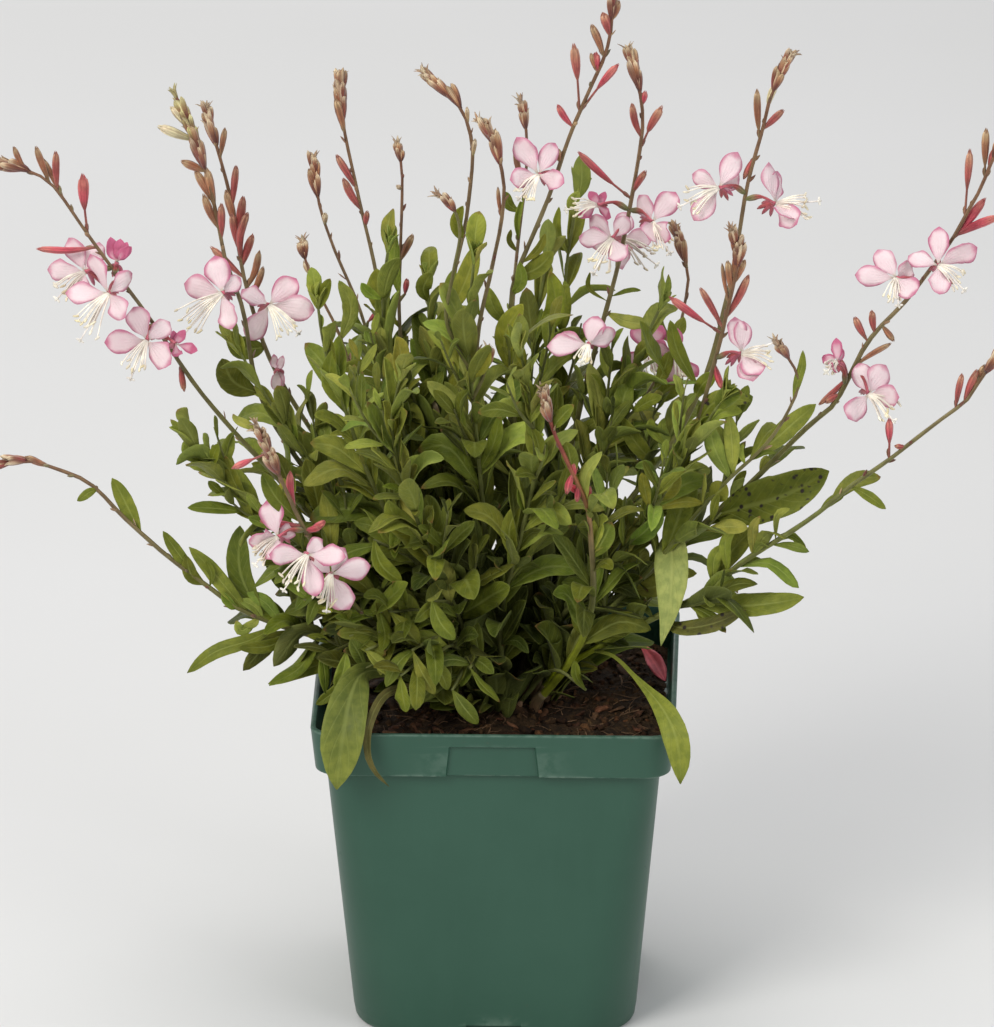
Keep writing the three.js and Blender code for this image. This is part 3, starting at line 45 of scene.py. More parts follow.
# ------------------------------------------------------------ plant layout
# Millimetres in the model's frame. Stems run from foot to tip.
STEMS = [
    {"name": "flower_stem_01", "kind": "flower", "r0": 1.6, "r1": 0.5, "cluster": 17, "leaf_to": 0.4, "seed": 1,
     "pts": [[-13.2, 4.1, 115.0], [-16.6, 3.4, 123.2], [-19.8, 2.7, 131.4], [-23.7, 1.9, 139.4], [-28.6, 1.1, 146.7], [-34.6, 0.4, 153.2], [-41.1, -0.4, 159.2], [-47.8, -1.2, 165.0], [-54.5, -2.0, 170.8], [-60.9, -2.8, 176.9], [-66.8, -3.5, 183.5], [-72.4, -4.3, 190.4], [-77.8, -5.1, 197.4], [-83.4, -5.9, 204.3], [-89.1, -6.6, 211.1], [-94.7, -7.4, 217.9], [-100.1, -8.2, 224.9], [-105.4, -9.0, 232.0], [-110.3, -9.8, 239.4], [-114.9, -10.5, 247.0], [-119.4, -11.3, 254.6], [-124.0, -12.1, 262.1], [-128.8, -12.9, 269.6], [-133.8, -13.6, 276.9], [-138.7, -14.4, 284.3], [-143.5, -15.2, 291.7], [-148.2, -16.0, 299.2], [-152.8, -16.8, 306.8], [-157.7, -17.5, 314.2], [-164.5, -18.3, 319.7], [-173.0, -19.2, 322.0], [-181.8, -20.0, 321.7]],
     "buds": [{"base": [-168.0, -18.7, 321.2], "tip": [-171.7, -19.9, 329.7], "w": 2.2, "col": 0, "stalk": 0.12}, {"base": [-159.5, -17.8, 316.1], "tip": [-164.0, -17.2, 328.8], "w": 2.6, "col": 0, "stalk": 0.12}, {"base": [-156.9, -17.4, 313.2], "tip": [-156.9, -18.0, 327.3], "w": 2.8, "col": 1, "stalk": 0.12}, {"base": [-146.4, -15.7, 296.3], "tip": [-147.5, -15.1, 317.6], "w": 4.2, "col": 2, "stalk": 0.45}, {"base": [-143.2, -15.1, 291.2], "tip": [-163.9, -15.7, 290.0], "w": 2.6, "col": 2, "stalk": 0.12}, {"base": [-113.3, -10.3, 244.3], "tip": [-112.3, -9.7, 234.3], "w": 2.4, "col": 1, "stalk": 0.12}, {"base": [-154.7, -17.1, 309.9], "tip": [-161.4, -15.3, 323.6], "w": 2.2, "col": 0, "stalk": 0.12}]},
    {"name": "flower_stem_02", "kind": "flower", "r0": 1.5, "r1": 0.6, "cluster": 15, "leaf_to": 0.42, "seed": 1,
     "pts": [[-14.2, 10.1, 115.0], [-19.0, 10.9, 122.7], [-23.7, 11.6, 130.5], [-28.4, 12.3, 138.2], [-33.4, 13.1, 145.8], [-38.7, 13.8, 153.1], [-44.3, 14.5, 160.3], [-50.0, 15.3, 167.3], [-55.7, 16.0, 174.4], [-61.3, 16.8, 181.5], [-66.6, 17.5, 188.8], [-71.9, 18.2, 196.2], [-77.0, 19.0, 203.7], [-81.7, 19.7, 211.4], [-85.6, 20.4, 219.6], [-88.3, 21.2, 228.2], [-89.9, 21.9, 237.1], [-91.1, 22.6, 246.1], [-92.9, 23.4, 255.0], [-95.8, 24.1, 263.6], [-98.8, 24.8, 272.1], [-100.5, 25.6, 281.0], [-102.2, 26.3, 289.9], [-104.1, 27.0, 298.8], [-106.7, 27.8, 307.5], [-109.6, 28.5, 316.1], [-112.8, 29.3, 324.5], [-116.6, 30.0, 332.8]],
     "buds": [{"base": [-109.6, 28.5, 316.3], "tip": [-122.0, 26.7, 321.7], "w": 3.6, "col": 3, "stalk": 0.12}, {"base": [-111.0, 28.9, 320.0], "tip": [-117.7, 28.9, 328.2], "w": 3.0, "col": 3, "stalk": 0.12}, {"base": [-105.9, 27.6, 305.0], "tip": [-113.9, 29.4, 307.4], "w": 3.2, "col": 0, "stalk": 0.12}, {"base": [-102.9, 26.6, 293.4], "tip": [-109.2, 28.4, 304.0], "w": 3.2, "col": 0, "stalk": 0.12}, {"base": [-102.5, 26.4, 291.5], "tip": [-105.2, 27.6, 305.1], "w": 3.4, "col": 0, "stalk": 0.12}, {"base": [-101.0, 25.8, 283.6], "tip": [-106.3, 25.2, 296.0], "w": 3.0, "col": 0, "stalk": 0.12}, {"base": [-100.3, 25.5, 279.7], "tip": [-100.1, 24.3, 292.9], "w": 3.0, "col": 1, "stalk": 0.12}]},
    {"name": "flower_stem_03", "kind": "flower", "r0": 1.5, "r1": 0.6, "cluster": 14, "leaf_to": 0.42, "seed": 1,
     "pts": [[-7.4, 11.7, 115.0], [-12.8, 13.5, 121.9], [-18.2, 15.4, 128.9], [-23.6, 17.3, 135.8], [-28.9, 19.1, 142.8], [-34.0, 21.0, 149.9], [-39.0, 22.8, 157.2], [-43.8, 24.7, 164.5], [-48.6, 26.6, 171.9], [-53.3, 28.4, 179.3], [-58.0, 30.3, 186.7], [-62.7, 32.1, 194.1], [-67.5, 34.0, 201.4], [-72.4, 35.8, 208.7], [-77.1, 37.7, 216.1], [-81.5, 39.6, 223.7], [-85.2, 41.4, 231.7], [-88.1, 43.3, 239.9], [-90.7, 45.1, 248.3], [-93.0, 47.0, 256.8], [-94.7, 48.8, 265.4], [-95.9, 50.7, 274.1], [-97.4, 52.6, 282.7], [-99.5, 54.4, 291.3], [-101.9, 56.3, 299.7], [-104.4, 58.1, 308.1], [-106.6, 60.0, 316.6]],
     "buds": [{"base": [-101.9, 56.3, 299.7], "tip": [-99.9, 54.5, 311.3], "w": 2.4, "col": 0, "stalk": 0.12}, {"base": [-97.4, 52.6, 282.7], "tip": [-95.8, 50.8, 298.1], "w": 2.8, "col": 1, "stalk": 0.12}, {"base": [-95.5, 50.1, 271.2], "tip": [-93.4, 50.7, 286.2], "w": 3.4, "col": 1, "stalk": 0.12}, {"base": [-96.0, 50.9, 275.1], "tip": [-99.6, 52.7, 287.8], "w": 3.2, "col": 0, "stalk": 0.12}, {"base": [-94.0, 48.0, 261.6], "tip": [-91.8, 46.2, 281.7], "w": 3.2, "col": 1, "stalk": 0.12}, {"base": [-93.6, 47.6, 259.7], "tip": [-90.1, 49.4, 272.1], "w": 3.2, "col": 1, "stalk": 0.12}, {"base": [-92.8, 46.8, 255.8], "tip": [-104.6, 47.4, 268.1], "w": 2.8, "col": 1, "stalk": 0.12}, {"base": [-91.8, 46.0, 252.1], "tip": [-87.5, 46.6, 267.0], "w": 2.8, "col": 0, "stalk": 0.12}, {"base": [-94.9, 49.3, 267.3], "tip": [-97.4, 49.9, 279.9], "w": 3.2, "col": 1, "stalk": 0.12}, {"base": [-90.7, 45.1, 248.3], "tip": [-86.1, 46.3, 260.9], "w": 2.6, "col": 0, "stalk": 0.12}]},
    {"name": "flower_stem_04", "kind": "flower", "r0": 1.3, "r1": 0.55, "cluster": 17, "leaf_to": 0.55, "seed": 1,
     "pts": [[-3.1, 13.7, 115.0], [-7.7, 16.2, 122.4], [-12.5, 18.6, 129.7], [-17.3, 21.1, 137.0], [-21.7, 23.6, 144.5], [-25.6, 26.1, 152.4], [-28.7, 28.6, 160.5], [-30.9, 31.1, 169.0], [-32.6, 33.6, 177.5], [-34.0, 36.1, 186.1], [-35.3, 38.6, 194.8], [-36.8, 41.1, 203.4], [-38.3, 43.5, 212.0], [-39.7, 46.0, 220.6], [-41.0, 48.5, 229.2], [-42.4, 51.0, 237.8], [-43.8, 53.5, 246.5], [-45.3, 56.0, 255.1], [-47.2, 58.5, 263.6], [-49.4, 61.0, 272.0], [-51.6, 63.5, 280.5], [-53.5, 66.0, 289.0], [-55.6, 68.5, 297.5], [-57.4, 71.0, 306.0], [-58.6, 73.5, 314.6], [-58.6, 76.0, 323.4]],
     "buds": [{"base": [-57.1, 70.5, 304.2], "tip": [-60.3, 70.5, 317.2], "w": 3.0, "col": 0, "stalk": 0.12}, {"base": [-52.7, 64.9, 285.4], "tip": [-59.8, 65.5, 297.4], "w": 2.8, "col": 1, "stalk": 0.12}, {"base": [-50.9, 62.7, 277.8], "tip": [-57.2, 63.3, 289.0], "w": 3.0, "col": 1, "stalk": 0.12}, {"base": [-49.5, 61.1, 272.2], "tip": [-48.8, 61.1, 277.5], "w": 2.4, "col": 1, "stalk": 0.12}]},
    {"name": "flower_stem_05", "kind": "flower", "r0": 1.2, "r1": 0.5, "cluster": 10, "leaf_to": 0.6, "seed": 1,
     "pts": [[-9.9, 15.7, 115.0], [-14.1, 19.4, 122.1], [-18.4, 23.0, 129.2], [-22.6, 26.7, 136.3], [-26.5, 30.3, 143.6], [-29.8, 34.0, 151.1], [-32.3, 37.7, 158.9], [-34.4, 41.3, 166.9], [-36.1, 45.0, 175.0], [-37.7, 48.6, 183.1], [-39.4, 52.3, 191.2], [-41.4, 55.9, 199.2], [-43.4, 59.6, 207.2], [-45.4, 63.2, 215.2], [-47.7, 66.9, 223.1], [-50.3, 70.5, 231.0], [-53.3, 74.2, 238.7], [-56.9, 77.8, 246.0], [-60.7, 81.4, 253.4], [-64.0, 85.1, 261.0], [-66.9, 88.7, 268.7], [-68.5, 92.4, 276.8], [-69.4, 96.0, 285.0]],
     "buds": [{"base": [-68.3, 92.0, 275.9], "tip": [-71.1, 92.0, 282.5], "w": 2.2, "col": 0, "stalk": 0.12}, {"base": [-65.0, 86.3, 263.5], "tip": [-65.0, 84.5, 268.2], "w": 2.4, "col": 4, "stalk": 0.12}]},
    {"name": "flower_stem_06", "kind": "flower", "r0": 1.2, "r1": 0.5, "cluster": 6, "leaf_to": 0.7, "seed": 1,
     "pts": [[-10.1, 7.7, 115.0], [-14.7, 8.7, 122.5], [-19.5, 9.6, 129.8], [-24.2, 10.5, 137.2], [-28.7, 11.4, 144.8], [-32.6, 12.3, 152.6], [-35.9, 13.2, 160.8], [-38.5, 14.1, 169.1], [-40.8, 15.0, 177.6], [-42.8, 16.0, 186.2], [-44.8, 16.9, 194.7], [-46.9, 17.8, 203.3], [-49.0, 18.7, 211.8], [-50.9, 19.6, 220.3], [-52.9, 20.5, 228.9], [-55.2, 21.4, 237.4], [-58.1, 22.3, 245.7], [-61.9, 23.2, 253.6], [-66.0, 24.2, 261.3], [-69.3, 25.1, 269.4], [-70.7, 26.0, 278.0]],
     "buds": [{"base": [-68.5, 24.8, 266.3], "tip": [-70.0, 26.0, 270.8], "w": 2.4, "col": 4, "stalk": 0.12}]},
    {"name": "flower_stem_07", "kind": "flower", "r0": 1.3, "r1": 0.5, "cluster": 7, "leaf_to": 0.6, "seed": 1,
     "pts": [[-0.8, 17.9, 115.0], [-5.1, 19.5, 122.9], [-9.4, 21.2, 130.7], [-13.7, 22.8, 138.6], [-17.7, 24.5, 146.6], [-21.1, 26.1, 154.9], [-23.8, 27.8, 163.4], [-26.0, 29.4, 172.1], [-27.9, 31.0, 180.9], [-29.5, 32.7, 189.7], [-31.0, 34.3, 198.5], [-32.6, 35.9, 207.4], [-33.9, 37.6, 216.2], [-35.0, 39.2, 225.1], [-35.9, 40.8, 234.0], [-36.5, 42.5, 243.0], [-36.7, 44.1, 251.9], [-36.4, 45.8, 260.9], [-36.2, 47.4, 269.8], [-35.9, 49.1, 278.8], [-35.7, 50.7, 287.8], [-35.8, 52.4, 296.7], [-37.3, 54.0, 305.6]],
     "buds": [{"base": [-35.6, 51.1, 289.9], "tip": [-37.5, 49.9, 291.6], "w": 1.8, "col": 4, "stalk": 0.12}, {"base": [-36.3, 46.4, 264.3], "tip": [-32.0, 44.6, 274.4], "w": 3.0, "col": 0, "stalk": 0.12}]},
    {"name": "flower_stem_08", "kind": "flower", "r0": 1.4, "r1": 0.6, "cluster": 19, "leaf_to": 0.55, "seed": 1,
     "pts": [[1.9, 14.0, 115.0], [-0.8, 15.9, 123.2], [-3.7, 17.9, 131.3], [-6.5, 19.8, 139.5], [-9.1, 21.7, 147.7], [-11.3, 23.6, 156.1], [-13.0, 25.5, 164.6], [-14.2, 27.5, 173.1], [-15.1, 29.4, 181.7], [-15.8, 31.3, 190.3], [-16.4, 33.2, 198.9], [-16.9, 35.1, 207.5], [-17.4, 37.0, 216.2], [-17.7, 38.9, 224.8], [-17.8, 40.9, 233.4], [-17.7, 42.8, 242.1], [-17.5, 44.7, 250.7], [-16.7, 46.6, 259.3], [-14.9, 48.6, 267.7], [-12.9, 50.5, 276.1], [-11.7, 52.4, 284.7], [-10.8, 54.3, 293.3], [-10.2, 56.3, 301.9], [-11.5, 58.2, 310.4], [-14.8, 60.1, 318.3], [-21.1, 62.1, 324.2], [-27.4, 64.0, 330.1]],
     "buds": [{"base": [-12.1, 58.7, 312.8], "tip": [-12.4, 59.3, 318.5], "w": 1.8, "col": 4, "stalk": 0.12}, {"base": [-10.2, 56.1, 301.3], "tip": [-9.4, 54.3, 308.0], "w": 2.0, "col": 4, "stalk": 0.12}]},
    {"name": "flower_stem_09", "kind": "flower", "r0": 1.4, "r1": 0.6, "cluster": 19, "leaf_to": 0.5, "seed": 1,
     "pts": [[4.0, 8.0, 115.0], [2.3, 7.8, 123.7], [0.4, 7.5, 132.4], [-1.4, 7.3, 141.1], [-3.1, 7.1, 149.8], [-4.5, 6.8, 158.5], [-5.7, 6.6, 167.3], [-6.6, 6.3, 176.2], [-7.2, 6.1, 185.0], [-7.7, 5.9, 193.9], [-8.1, 5.6, 202.8], [-8.4, 5.4, 211.6], [-8.5, 5.1, 220.5], [-8.3, 4.9, 229.4], [-7.9, 4.7, 238.2], [-7.3, 4.4, 247.1], [-6.4, 4.2, 255.9], [-4.7, 3.9, 264.6], [-2.7, 3.7, 273.3], [-1.0, 3.5, 282.0], [0.8, 3.2, 290.7], [2.0, 3.0, 299.5], [2.5, 2.7, 308.3], [1.2, 2.5, 317.1], [-1.3, 2.2, 325.6], [-6.1, 2.0, 332.9]],
     "buds": [{"base": [1.8, 3.0, 297.0], "tip": [0.2, 4.2, 307.5], "w": 1.6, "col": 0, "stalk": 0.12}]},
    {"name": "flower_stem_10", "kind": "flower", "r0": 1.3, "r1": 0.5, "cluster": 10, "leaf_to": 0.66, "seed": 1,
     "pts": [[6.3, 12.3, 115.0], [6.7, 16.1, 123.3], [7.2, 20.0, 131.7], [7.5, 23.8, 140.0], [7.7, 27.6, 148.4], [7.5, 31.4, 156.7], [6.9, 35.2, 165.0], [6.0, 39.1, 173.3], [5.1, 42.9, 181.6], [4.2, 46.7, 189.9], [3.5, 50.5, 198.2], [3.2, 54.3, 206.6], [3.2, 58.1, 214.9], [3.3, 61.9, 223.3], [3.6, 65.7, 231.6], [4.0, 69.6, 240.0], [4.5, 73.4, 248.3], [5.3, 77.2, 256.6], [6.2, 81.0, 264.9], [7.3, 84.8, 273.2], [8.1, 88.6, 281.5], [8.6, 92.4, 289.9], [8.0, 96.2, 298.2], [6.1, 100.0, 306.3]],
     "buds": [{"base": [8.0, 87.6, 279.4], "tip": [4.3, 85.8, 293.1], "w": 2.4, "col": 0, "stalk": 0.12}]},
    {"name": "flower_stem_11", "kind": "flower", "r0": 1.6, "r1": 0.6, "cluster": 13, "leaf_to": 0.47, "seed": 1,
     "pts": [[8.3, 5.1, 115.0], [9.1, 5.6, 124.0], [10.1, 6.1, 132.9], [11.0, 6.6, 141.9], [11.6, 7.1, 150.9], [11.8, 7.6, 159.9], [11.5, 8.1, 168.9], [10.7, 8.5, 177.9], [9.6, 9.0, 186.8], [8.4, 9.5, 195.7], [7.2, 10.0, 204.7], [6.1, 10.5, 213.6], [5.2, 11.0, 222.6], [4.7, 11.5, 231.5], [4.4, 12.0, 240.6], [4.4, 12.5, 249.6], [4.7, 13.0, 258.6], [5.5, 13.5, 267.5], [8.5, 14.0, 276.0], [11.9, 14.5, 284.3], [15.3, 15.0, 292.6], [18.5, 15.5, 301.0], [21.3, 16.0, 309.6], [24.0, 16.5, 318.2], [27.0, 17.0, 326.7], [30.5, 17.5, 335.0], [34.0, 18.0, 343.3], [37.6, 18.5, 351.5], [40.0, 19.0, 360.2], [40.7, 19.5, 369.2], [41.0, 20.0, 378.2]],
     "buds": [{"base": [29.3, 17.3, 332.3], "tip": [27.1, 16.7, 357.3], "w": 3.6, "col": 1, "stalk": 0.5}, {"base": [35.7, 18.2, 346.9], "tip": [33.2, 16.4, 354.4], "w": 2.0, "col": 0, "stalk": 0.12}, {"base": [37.9, 18.5, 352.5], "tip": [33.5, 17.3, 364.7], "w": 3.0, "col": 0, "stalk": 0.12}, {"base": [35.7, 18.2, 346.9], "tip": [35.0, 17.6, 354.0], "w": 3.2, "col": 2, "stalk": 0.12}, {"base": [40.0, 19.0, 360.2], "tip": [37.5, 17.8, 369.1], "w": 3.6, "col": 1, "stalk": 0.12}, {"base": [29.3, 17.3, 332.3], "tip": [42.6, 15.5, 350.6], "w": 3.0, "col": 2, "stalk": 0.5}, {"base": [27.0, 17.0, 326.7], "tip": [21.4, 16.4, 334.6], "w": 2.6, "col": 2, "stalk": 0.12}, {"base": [22.5, 16.2, 313.4], "tip": [21.5, 15.6, 318.2], "w": 2.6, "col": 0, "stalk": 0.12}, {"base": [40.6, 19.3, 366.2], "tip": [42.8, 20.5, 372.7], "w": 3.0, "col": 0, "stalk": 0.12}]},
    {"name": "flower_stem_12", "kind": "flower", "r0": 1.6, "r1": 0.6, "cluster": 17, "leaf_to": 0.45, "seed": 1,
     "pts": [[15.7, 9.9, 115.0], [16.3, 11.8, 123.8], [16.8, 13.8, 132.7], [17.4, 15.7, 141.5], [18.2, 17.6, 150.3], [19.3, 19.5, 159.1], [20.6, 21.4, 167.8], [22.1, 23.3, 176.5], [23.6, 25.3, 185.2], [25.2, 27.2, 193.9], [26.9, 29.1, 202.6], [28.8, 31.0, 211.2], [30.8, 32.9, 219.8], [33.1, 34.9, 228.4], [35.4, 36.8, 236.9], [37.7, 38.7, 245.4], [40.1, 40.7, 254.0], [42.3, 42.6, 262.5], [44.2, 44.5, 271.1], [45.9, 46.5, 279.8], [47.5, 48.4, 288.5], [49.0, 50.3, 297.2], [50.4, 52.3, 305.9], [51.3, 54.2, 314.7], [50.7, 56.1, 323.5], [48.5, 58.1, 332.1], [46.1, 60.0, 340.6]],
     "buds": [{"base": [51.0, 53.2, 310.1], "tip": [47.4, 52.0, 322.8], "w": 2.8, "col": 1, "stalk": 0.12}, {"base": [50.5, 52.3, 306.2], "tip": [57.9, 53.5, 321.2], "w": 3.4, "col": 1, "stalk": 0.4}, {"base": [47.6, 48.5, 289.0], "tip": [28.4, 49.1, 305.2], "w": 2.8, "col": 2, "stalk": 0.35}, {"base": [47.9, 48.9, 290.9], "tip": [52.3, 47.1, 298.9], "w": 2.8, "col": 1, "stalk": 0.12}, {"base": [51.0, 55.7, 321.7], "tip": [52.0, 56.9, 326.0], "w": 2.6, "col": 2, "stalk": 0.12}]},
    {"name": "flower_stem_13", "kind": "flower", "r0": 1.6, "r1": 0.6, "cluster": 14, "leaf_to": 0.4, "seed": 1,
     "pts": [[13.0, 5.7, 115.0], [15.0, 6.8, 123.8], [16.7, 7.9, 132.7], [18.9, 9.1, 141.4], [22.2, 10.2, 149.8], [26.8, 11.4, 157.6], [32.2, 12.6, 164.9], [37.9, 13.7, 171.8], [43.7, 14.9, 178.7], [49.3, 16.0, 185.9], [54.6, 17.2, 193.2], [59.8, 18.3, 200.5], [64.8, 19.5, 208.1], [69.1, 20.7, 216.0], [72.8, 21.8, 224.3], [76.0, 23.0, 232.7], [78.4, 24.1, 241.4], [80.5, 25.3, 250.2], [82.5, 26.4, 259.0], [84.3, 27.6, 267.8], [85.9, 28.7, 276.7], [87.2, 29.9, 285.7], [88.5, 31.0, 294.6], [90.3, 32.2, 303.5], [92.6, 33.3, 312.2], [95.0, 34.5, 320.9], [96.9, 35.7, 329.7], [100.0, 36.8, 338.1], [104.4, 38.0, 346.1]],
     "buds": [{"base": [93.8, 33.9, 316.3], "tip": [92.6, 33.9, 334.8], "w": 2.8, "col": 0, "stalk": 0.2}, {"base": [94.8, 34.4, 320.1], "tip": [101.7, 36.2, 326.5], "w": 2.8, "col": 1, "stalk": 0.12}, {"base": [92.2, 33.1, 310.5], "tip": [88.2, 32.5, 302.1], "w": 2.2, "col": 1, "stalk": 0.12}, {"base": [96.5, 35.4, 327.9], "tip": [99.4, 37.2, 336.4], "w": 2.8, "col": 3, "stalk": 0.12}]},
    {"name": "flower_stem_14", "kind": "flower", "r0": 1.5, "r1": 0.6, "cluster": 14, "leaf_to": 0.45, "seed": 1,
     "pts": [[18.6, 0.9, 115.0], [21.1, -0.1, 123.7], [23.5, -1.1, 132.5], [26.3, -2.1, 141.2], [29.8, -3.1, 149.6], [34.2, -4.2, 157.6], [39.2, -5.2, 165.2], [44.3, -6.3, 172.7], [49.5, -7.3, 180.2], [54.5, -8.4, 187.9], [59.0, -9.5, 195.8], [63.2, -10.5, 203.8], [67.1, -11.5, 212.1], [70.6, -12.6, 220.5], [73.5, -13.6, 229.1], [75.8, -14.7, 237.9], [77.9, -15.7, 246.8], [80.0, -16.8, 255.6], [81.9, -17.8, 264.6], [83.7, -18.9, 273.5], [85.5, -19.9, 282.4], [86.4, -21.0, 291.4], [84.4, -22.0, 300.3]],
     "buds": [{"base": [85.6, -19.9, 282.8], "tip": [87.7, -21.7, 295.7], "w": 3.4, "col": 0, "stalk": 0.12}, {"base": [81.2, -17.4, 261.4], "tip": [62.7, -19.2, 274.7], "w": 3.0, "col": 2, "stalk": 0.35}, {"base": [81.6, -17.7, 263.3], "tip": [73.4, -19.5, 278.4], "w": 2.6, "col": 1, "stalk": 0.12}, {"base": [82.4, -18.1, 267.2], "tip": [90.2, -16.9, 282.2], "w": 3.2, "col": 1, "stalk": 0.12}, {"base": [85.1, -19.7, 280.8], "tip": [88.7, -17.9, 288.2], "w": 3.2, "col": 0, "stalk": 0.12}, {"base": [84.3, -19.3, 276.9], "tip": [83.0, -21.1, 289.3], "w": 2.8, "col": 0, "stalk": 0.12}, {"base": [83.6, -18.8, 273.0], "tip": [80.9, -19.4, 287.9], "w": 1.6, "col": 0, "stalk": 0.12}, {"base": [78.2, -15.8, 247.8], "tip": [81.1, -16.4, 239.5], "w": 2.6, "col": 2, "stalk": 0.12}]},
    {"name": "flower_stem_15", "kind": "flower", "r0": 1.3, "r1": 0.5, "cluster": 12, "leaf_to": 0.55, "seed": 1,
     "pts": [[12.7, 13.6, 115.0], [13.3, 17.2, 123.1], [13.7, 20.8, 131.2], [14.4, 24.4, 139.3], [16.1, 28.1, 147.2], [19.0, 31.8, 154.7], [22.7, 35.4, 161.9], [26.9, 39.0, 168.9], [31.3, 42.6, 175.7], [35.6, 46.2, 182.5], [40.1, 49.8, 189.3], [44.7, 53.5, 196.0], [49.4, 57.1, 202.6], [54.0, 60.7, 209.3], [58.4, 64.3, 216.1], [62.3, 67.9, 223.2], [65.0, 71.6, 230.8], [66.7, 75.2, 238.8], [67.8, 78.8, 246.8], [65.9, 82.4, 254.6], [63.1, 86.0, 262.3]],
     "buds": [{"base": [67.2, 80.3, 250.2], "tip": [66.1, 78.5, 261.5], "w": 2.4, "col": 0, "stalk": 0.12}]},
    {"name": "flower_stem_16", "kind": "flower", "r0": 1.7, "r1": 0.6, "cluster": 15, "leaf_to": 0.42, "seed": 1,
     "pts": [[17.7, 5.6, 115.0], [18.8, 5.8, 123.9], [22.1, 5.9, 132.1], [28.4, 6.0, 138.5], [35.5, 6.2, 144.0], [42.7, 6.3, 149.3], [49.8, 6.5, 154.8], [56.5, 6.6, 160.8], [63.0, 6.7, 167.0], [69.4, 6.9, 173.2], [75.9, 7.0, 179.4], [82.5, 7.2, 185.4], [89.1, 7.3, 191.6], [95.4, 7.5, 198.0], [101.4, 7.6, 204.6], [107.5, 7.7, 211.2], [113.8, 7.9, 217.6], [120.5, 8.0, 223.4], [125.0, 8.2, 231.2], [128.7, 8.3, 239.4], [132.7, 8.4, 247.4], [138.1, 8.6, 254.6], [144.2, 8.7, 261.1], [149.9, 8.9, 268.1], [154.9, 9.0, 275.4], [160.1, 9.2, 282.8], [164.8, 9.3, 290.4], [168.8, 9.4, 298.5], [172.9, 9.6, 306.4], [176.1, 9.7, 314.8], [179.3, 9.9, 323.2], [182.7, 10.0, 331.5]],
     "buds": [{"base": [167.8, 9.4, 296.6], "tip": [169.2, 11.2, 320.7], "w": 3.0, "col": 1, "stalk": 0.45}, {"base": [174.9, 9.7, 310.9], "tip": [174.8, 11.5, 328.6], "w": 3.0, "col": 0, "stalk": 0.3}, {"base": [163.3, 9.2, 287.7], "tip": [174.4, 10.4, 302.4], "w": 3.6, "col": 2, "stalk": 0.12}, {"base": [164.3, 9.3, 289.4], "tip": [179.2, 8.1, 296.8], "w": 3.4, "col": 2, "stalk": 0.12}, {"base": [133.1, 8.4, 247.9], "tip": [128.6, 7.8, 257.8], "w": 2.8, "col": 1, "stalk": 0.2}, {"base": [135.3, 8.5, 251.2], "tip": [134.7, 6.7, 260.6], "w": 2.8, "col": 1, "stalk": 0.12}, {"base": [137.9, 8.6, 254.3], "tip": [142.4, 6.8, 249.9], "w": 2.4, "col": 0, "stalk": 0.12}, {"base": [126.1, 8.2, 233.5], "tip": [123.4, 10.0, 240.8], "w": 2.6, "col": 2, "stalk": 0.12}, {"base": [123.5, 8.1, 228.1], "tip": [118.5, 6.9, 225.8], "w": 2.6, "col": 1, "stalk": 0.12}, {"base": [128.5, 8.3, 239.0], "tip": [141.3, 6.5, 248.5], "w": 2.2, "col": 0, "stalk": 0.12}, {"base": [176.1, 9.7, 314.7], "tip": [178.5, 10.9, 322.0], "w": 2.8, "col": 1, "stalk": 0.12}, {"base": [126.9, 8.2, 235.3], "tip": [116.3, 9.4, 224.1], "w": 2.4, "col": 1, "stalk": 0.12}]},
    {"name": "flower_stem_17", "kind": "flower", "r0": 1.6, "r1": 0.6, "cluster": 14, "leaf_to": 0.6, "seed": 1,
     "pts": [[15.1, -7.4, 115.0], [19.0, -8.8, 122.9], [25.1, -10.3, 129.2], [32.2, -11.9, 134.5], [39.5, -13.5, 139.5], [46.9, -15.0, 144.3], [54.2, -16.6, 149.2], [61.8, -18.2, 153.8], [69.3, -19.8, 158.4], [76.4, -21.4, 163.6], [82.8, -22.9, 169.7], [89.1, -24.5, 175.9], [96.1, -26.0, 181.3], [103.1, -27.6, 186.6], [110.0, -29.2, 192.1], [116.7, -30.8, 197.9], [122.9, -32.3, 204.1], [129.3, -33.9, 210.2], [136.1, -35.5, 215.9], [142.8, -37.1, 221.7], [149.2, -38.6, 227.8], [155.6, -40.2, 233.8], [162.1, -41.8, 239.8], [168.6, -43.4, 245.7], [172.9, -44.9, 253.4], [177.4, -46.5, 261.0], [181.9, -48.0, 268.6]],
     "buds": [{"base": [140.6, -36.5, 219.7], "tip": [141.1, -35.3, 235.0], "w": 3.0, "col": 2, "stalk": 0.45}, {"base": [165.0, -42.5, 242.4], "tip": [166.8, -44.3, 255.7], "w": 2.6, "col": 1, "stalk": 0.15}, {"base": [168.0, -43.2, 245.0], "tip": [172.1, -45.0, 257.5], "w": 3.0, "col": 1, "stalk": 0.12}, {"base": [171.1, -44.2, 249.9], "tip": [174.6, -44.2, 259.2], "w": 2.6, "col": 0, "stalk": 0.12}, {"base": [146.3, -37.9, 225.1], "tip": [143.6, -37.9, 226.0], "w": 2.0, "col": 1, "stalk": 0.12}]},
    {"name": "flower_stem_18", "kind": "flower", "r0": 1.6, "r1": 0.6, "cluster": 16, "leaf_to": 0.35, "seed": 1,
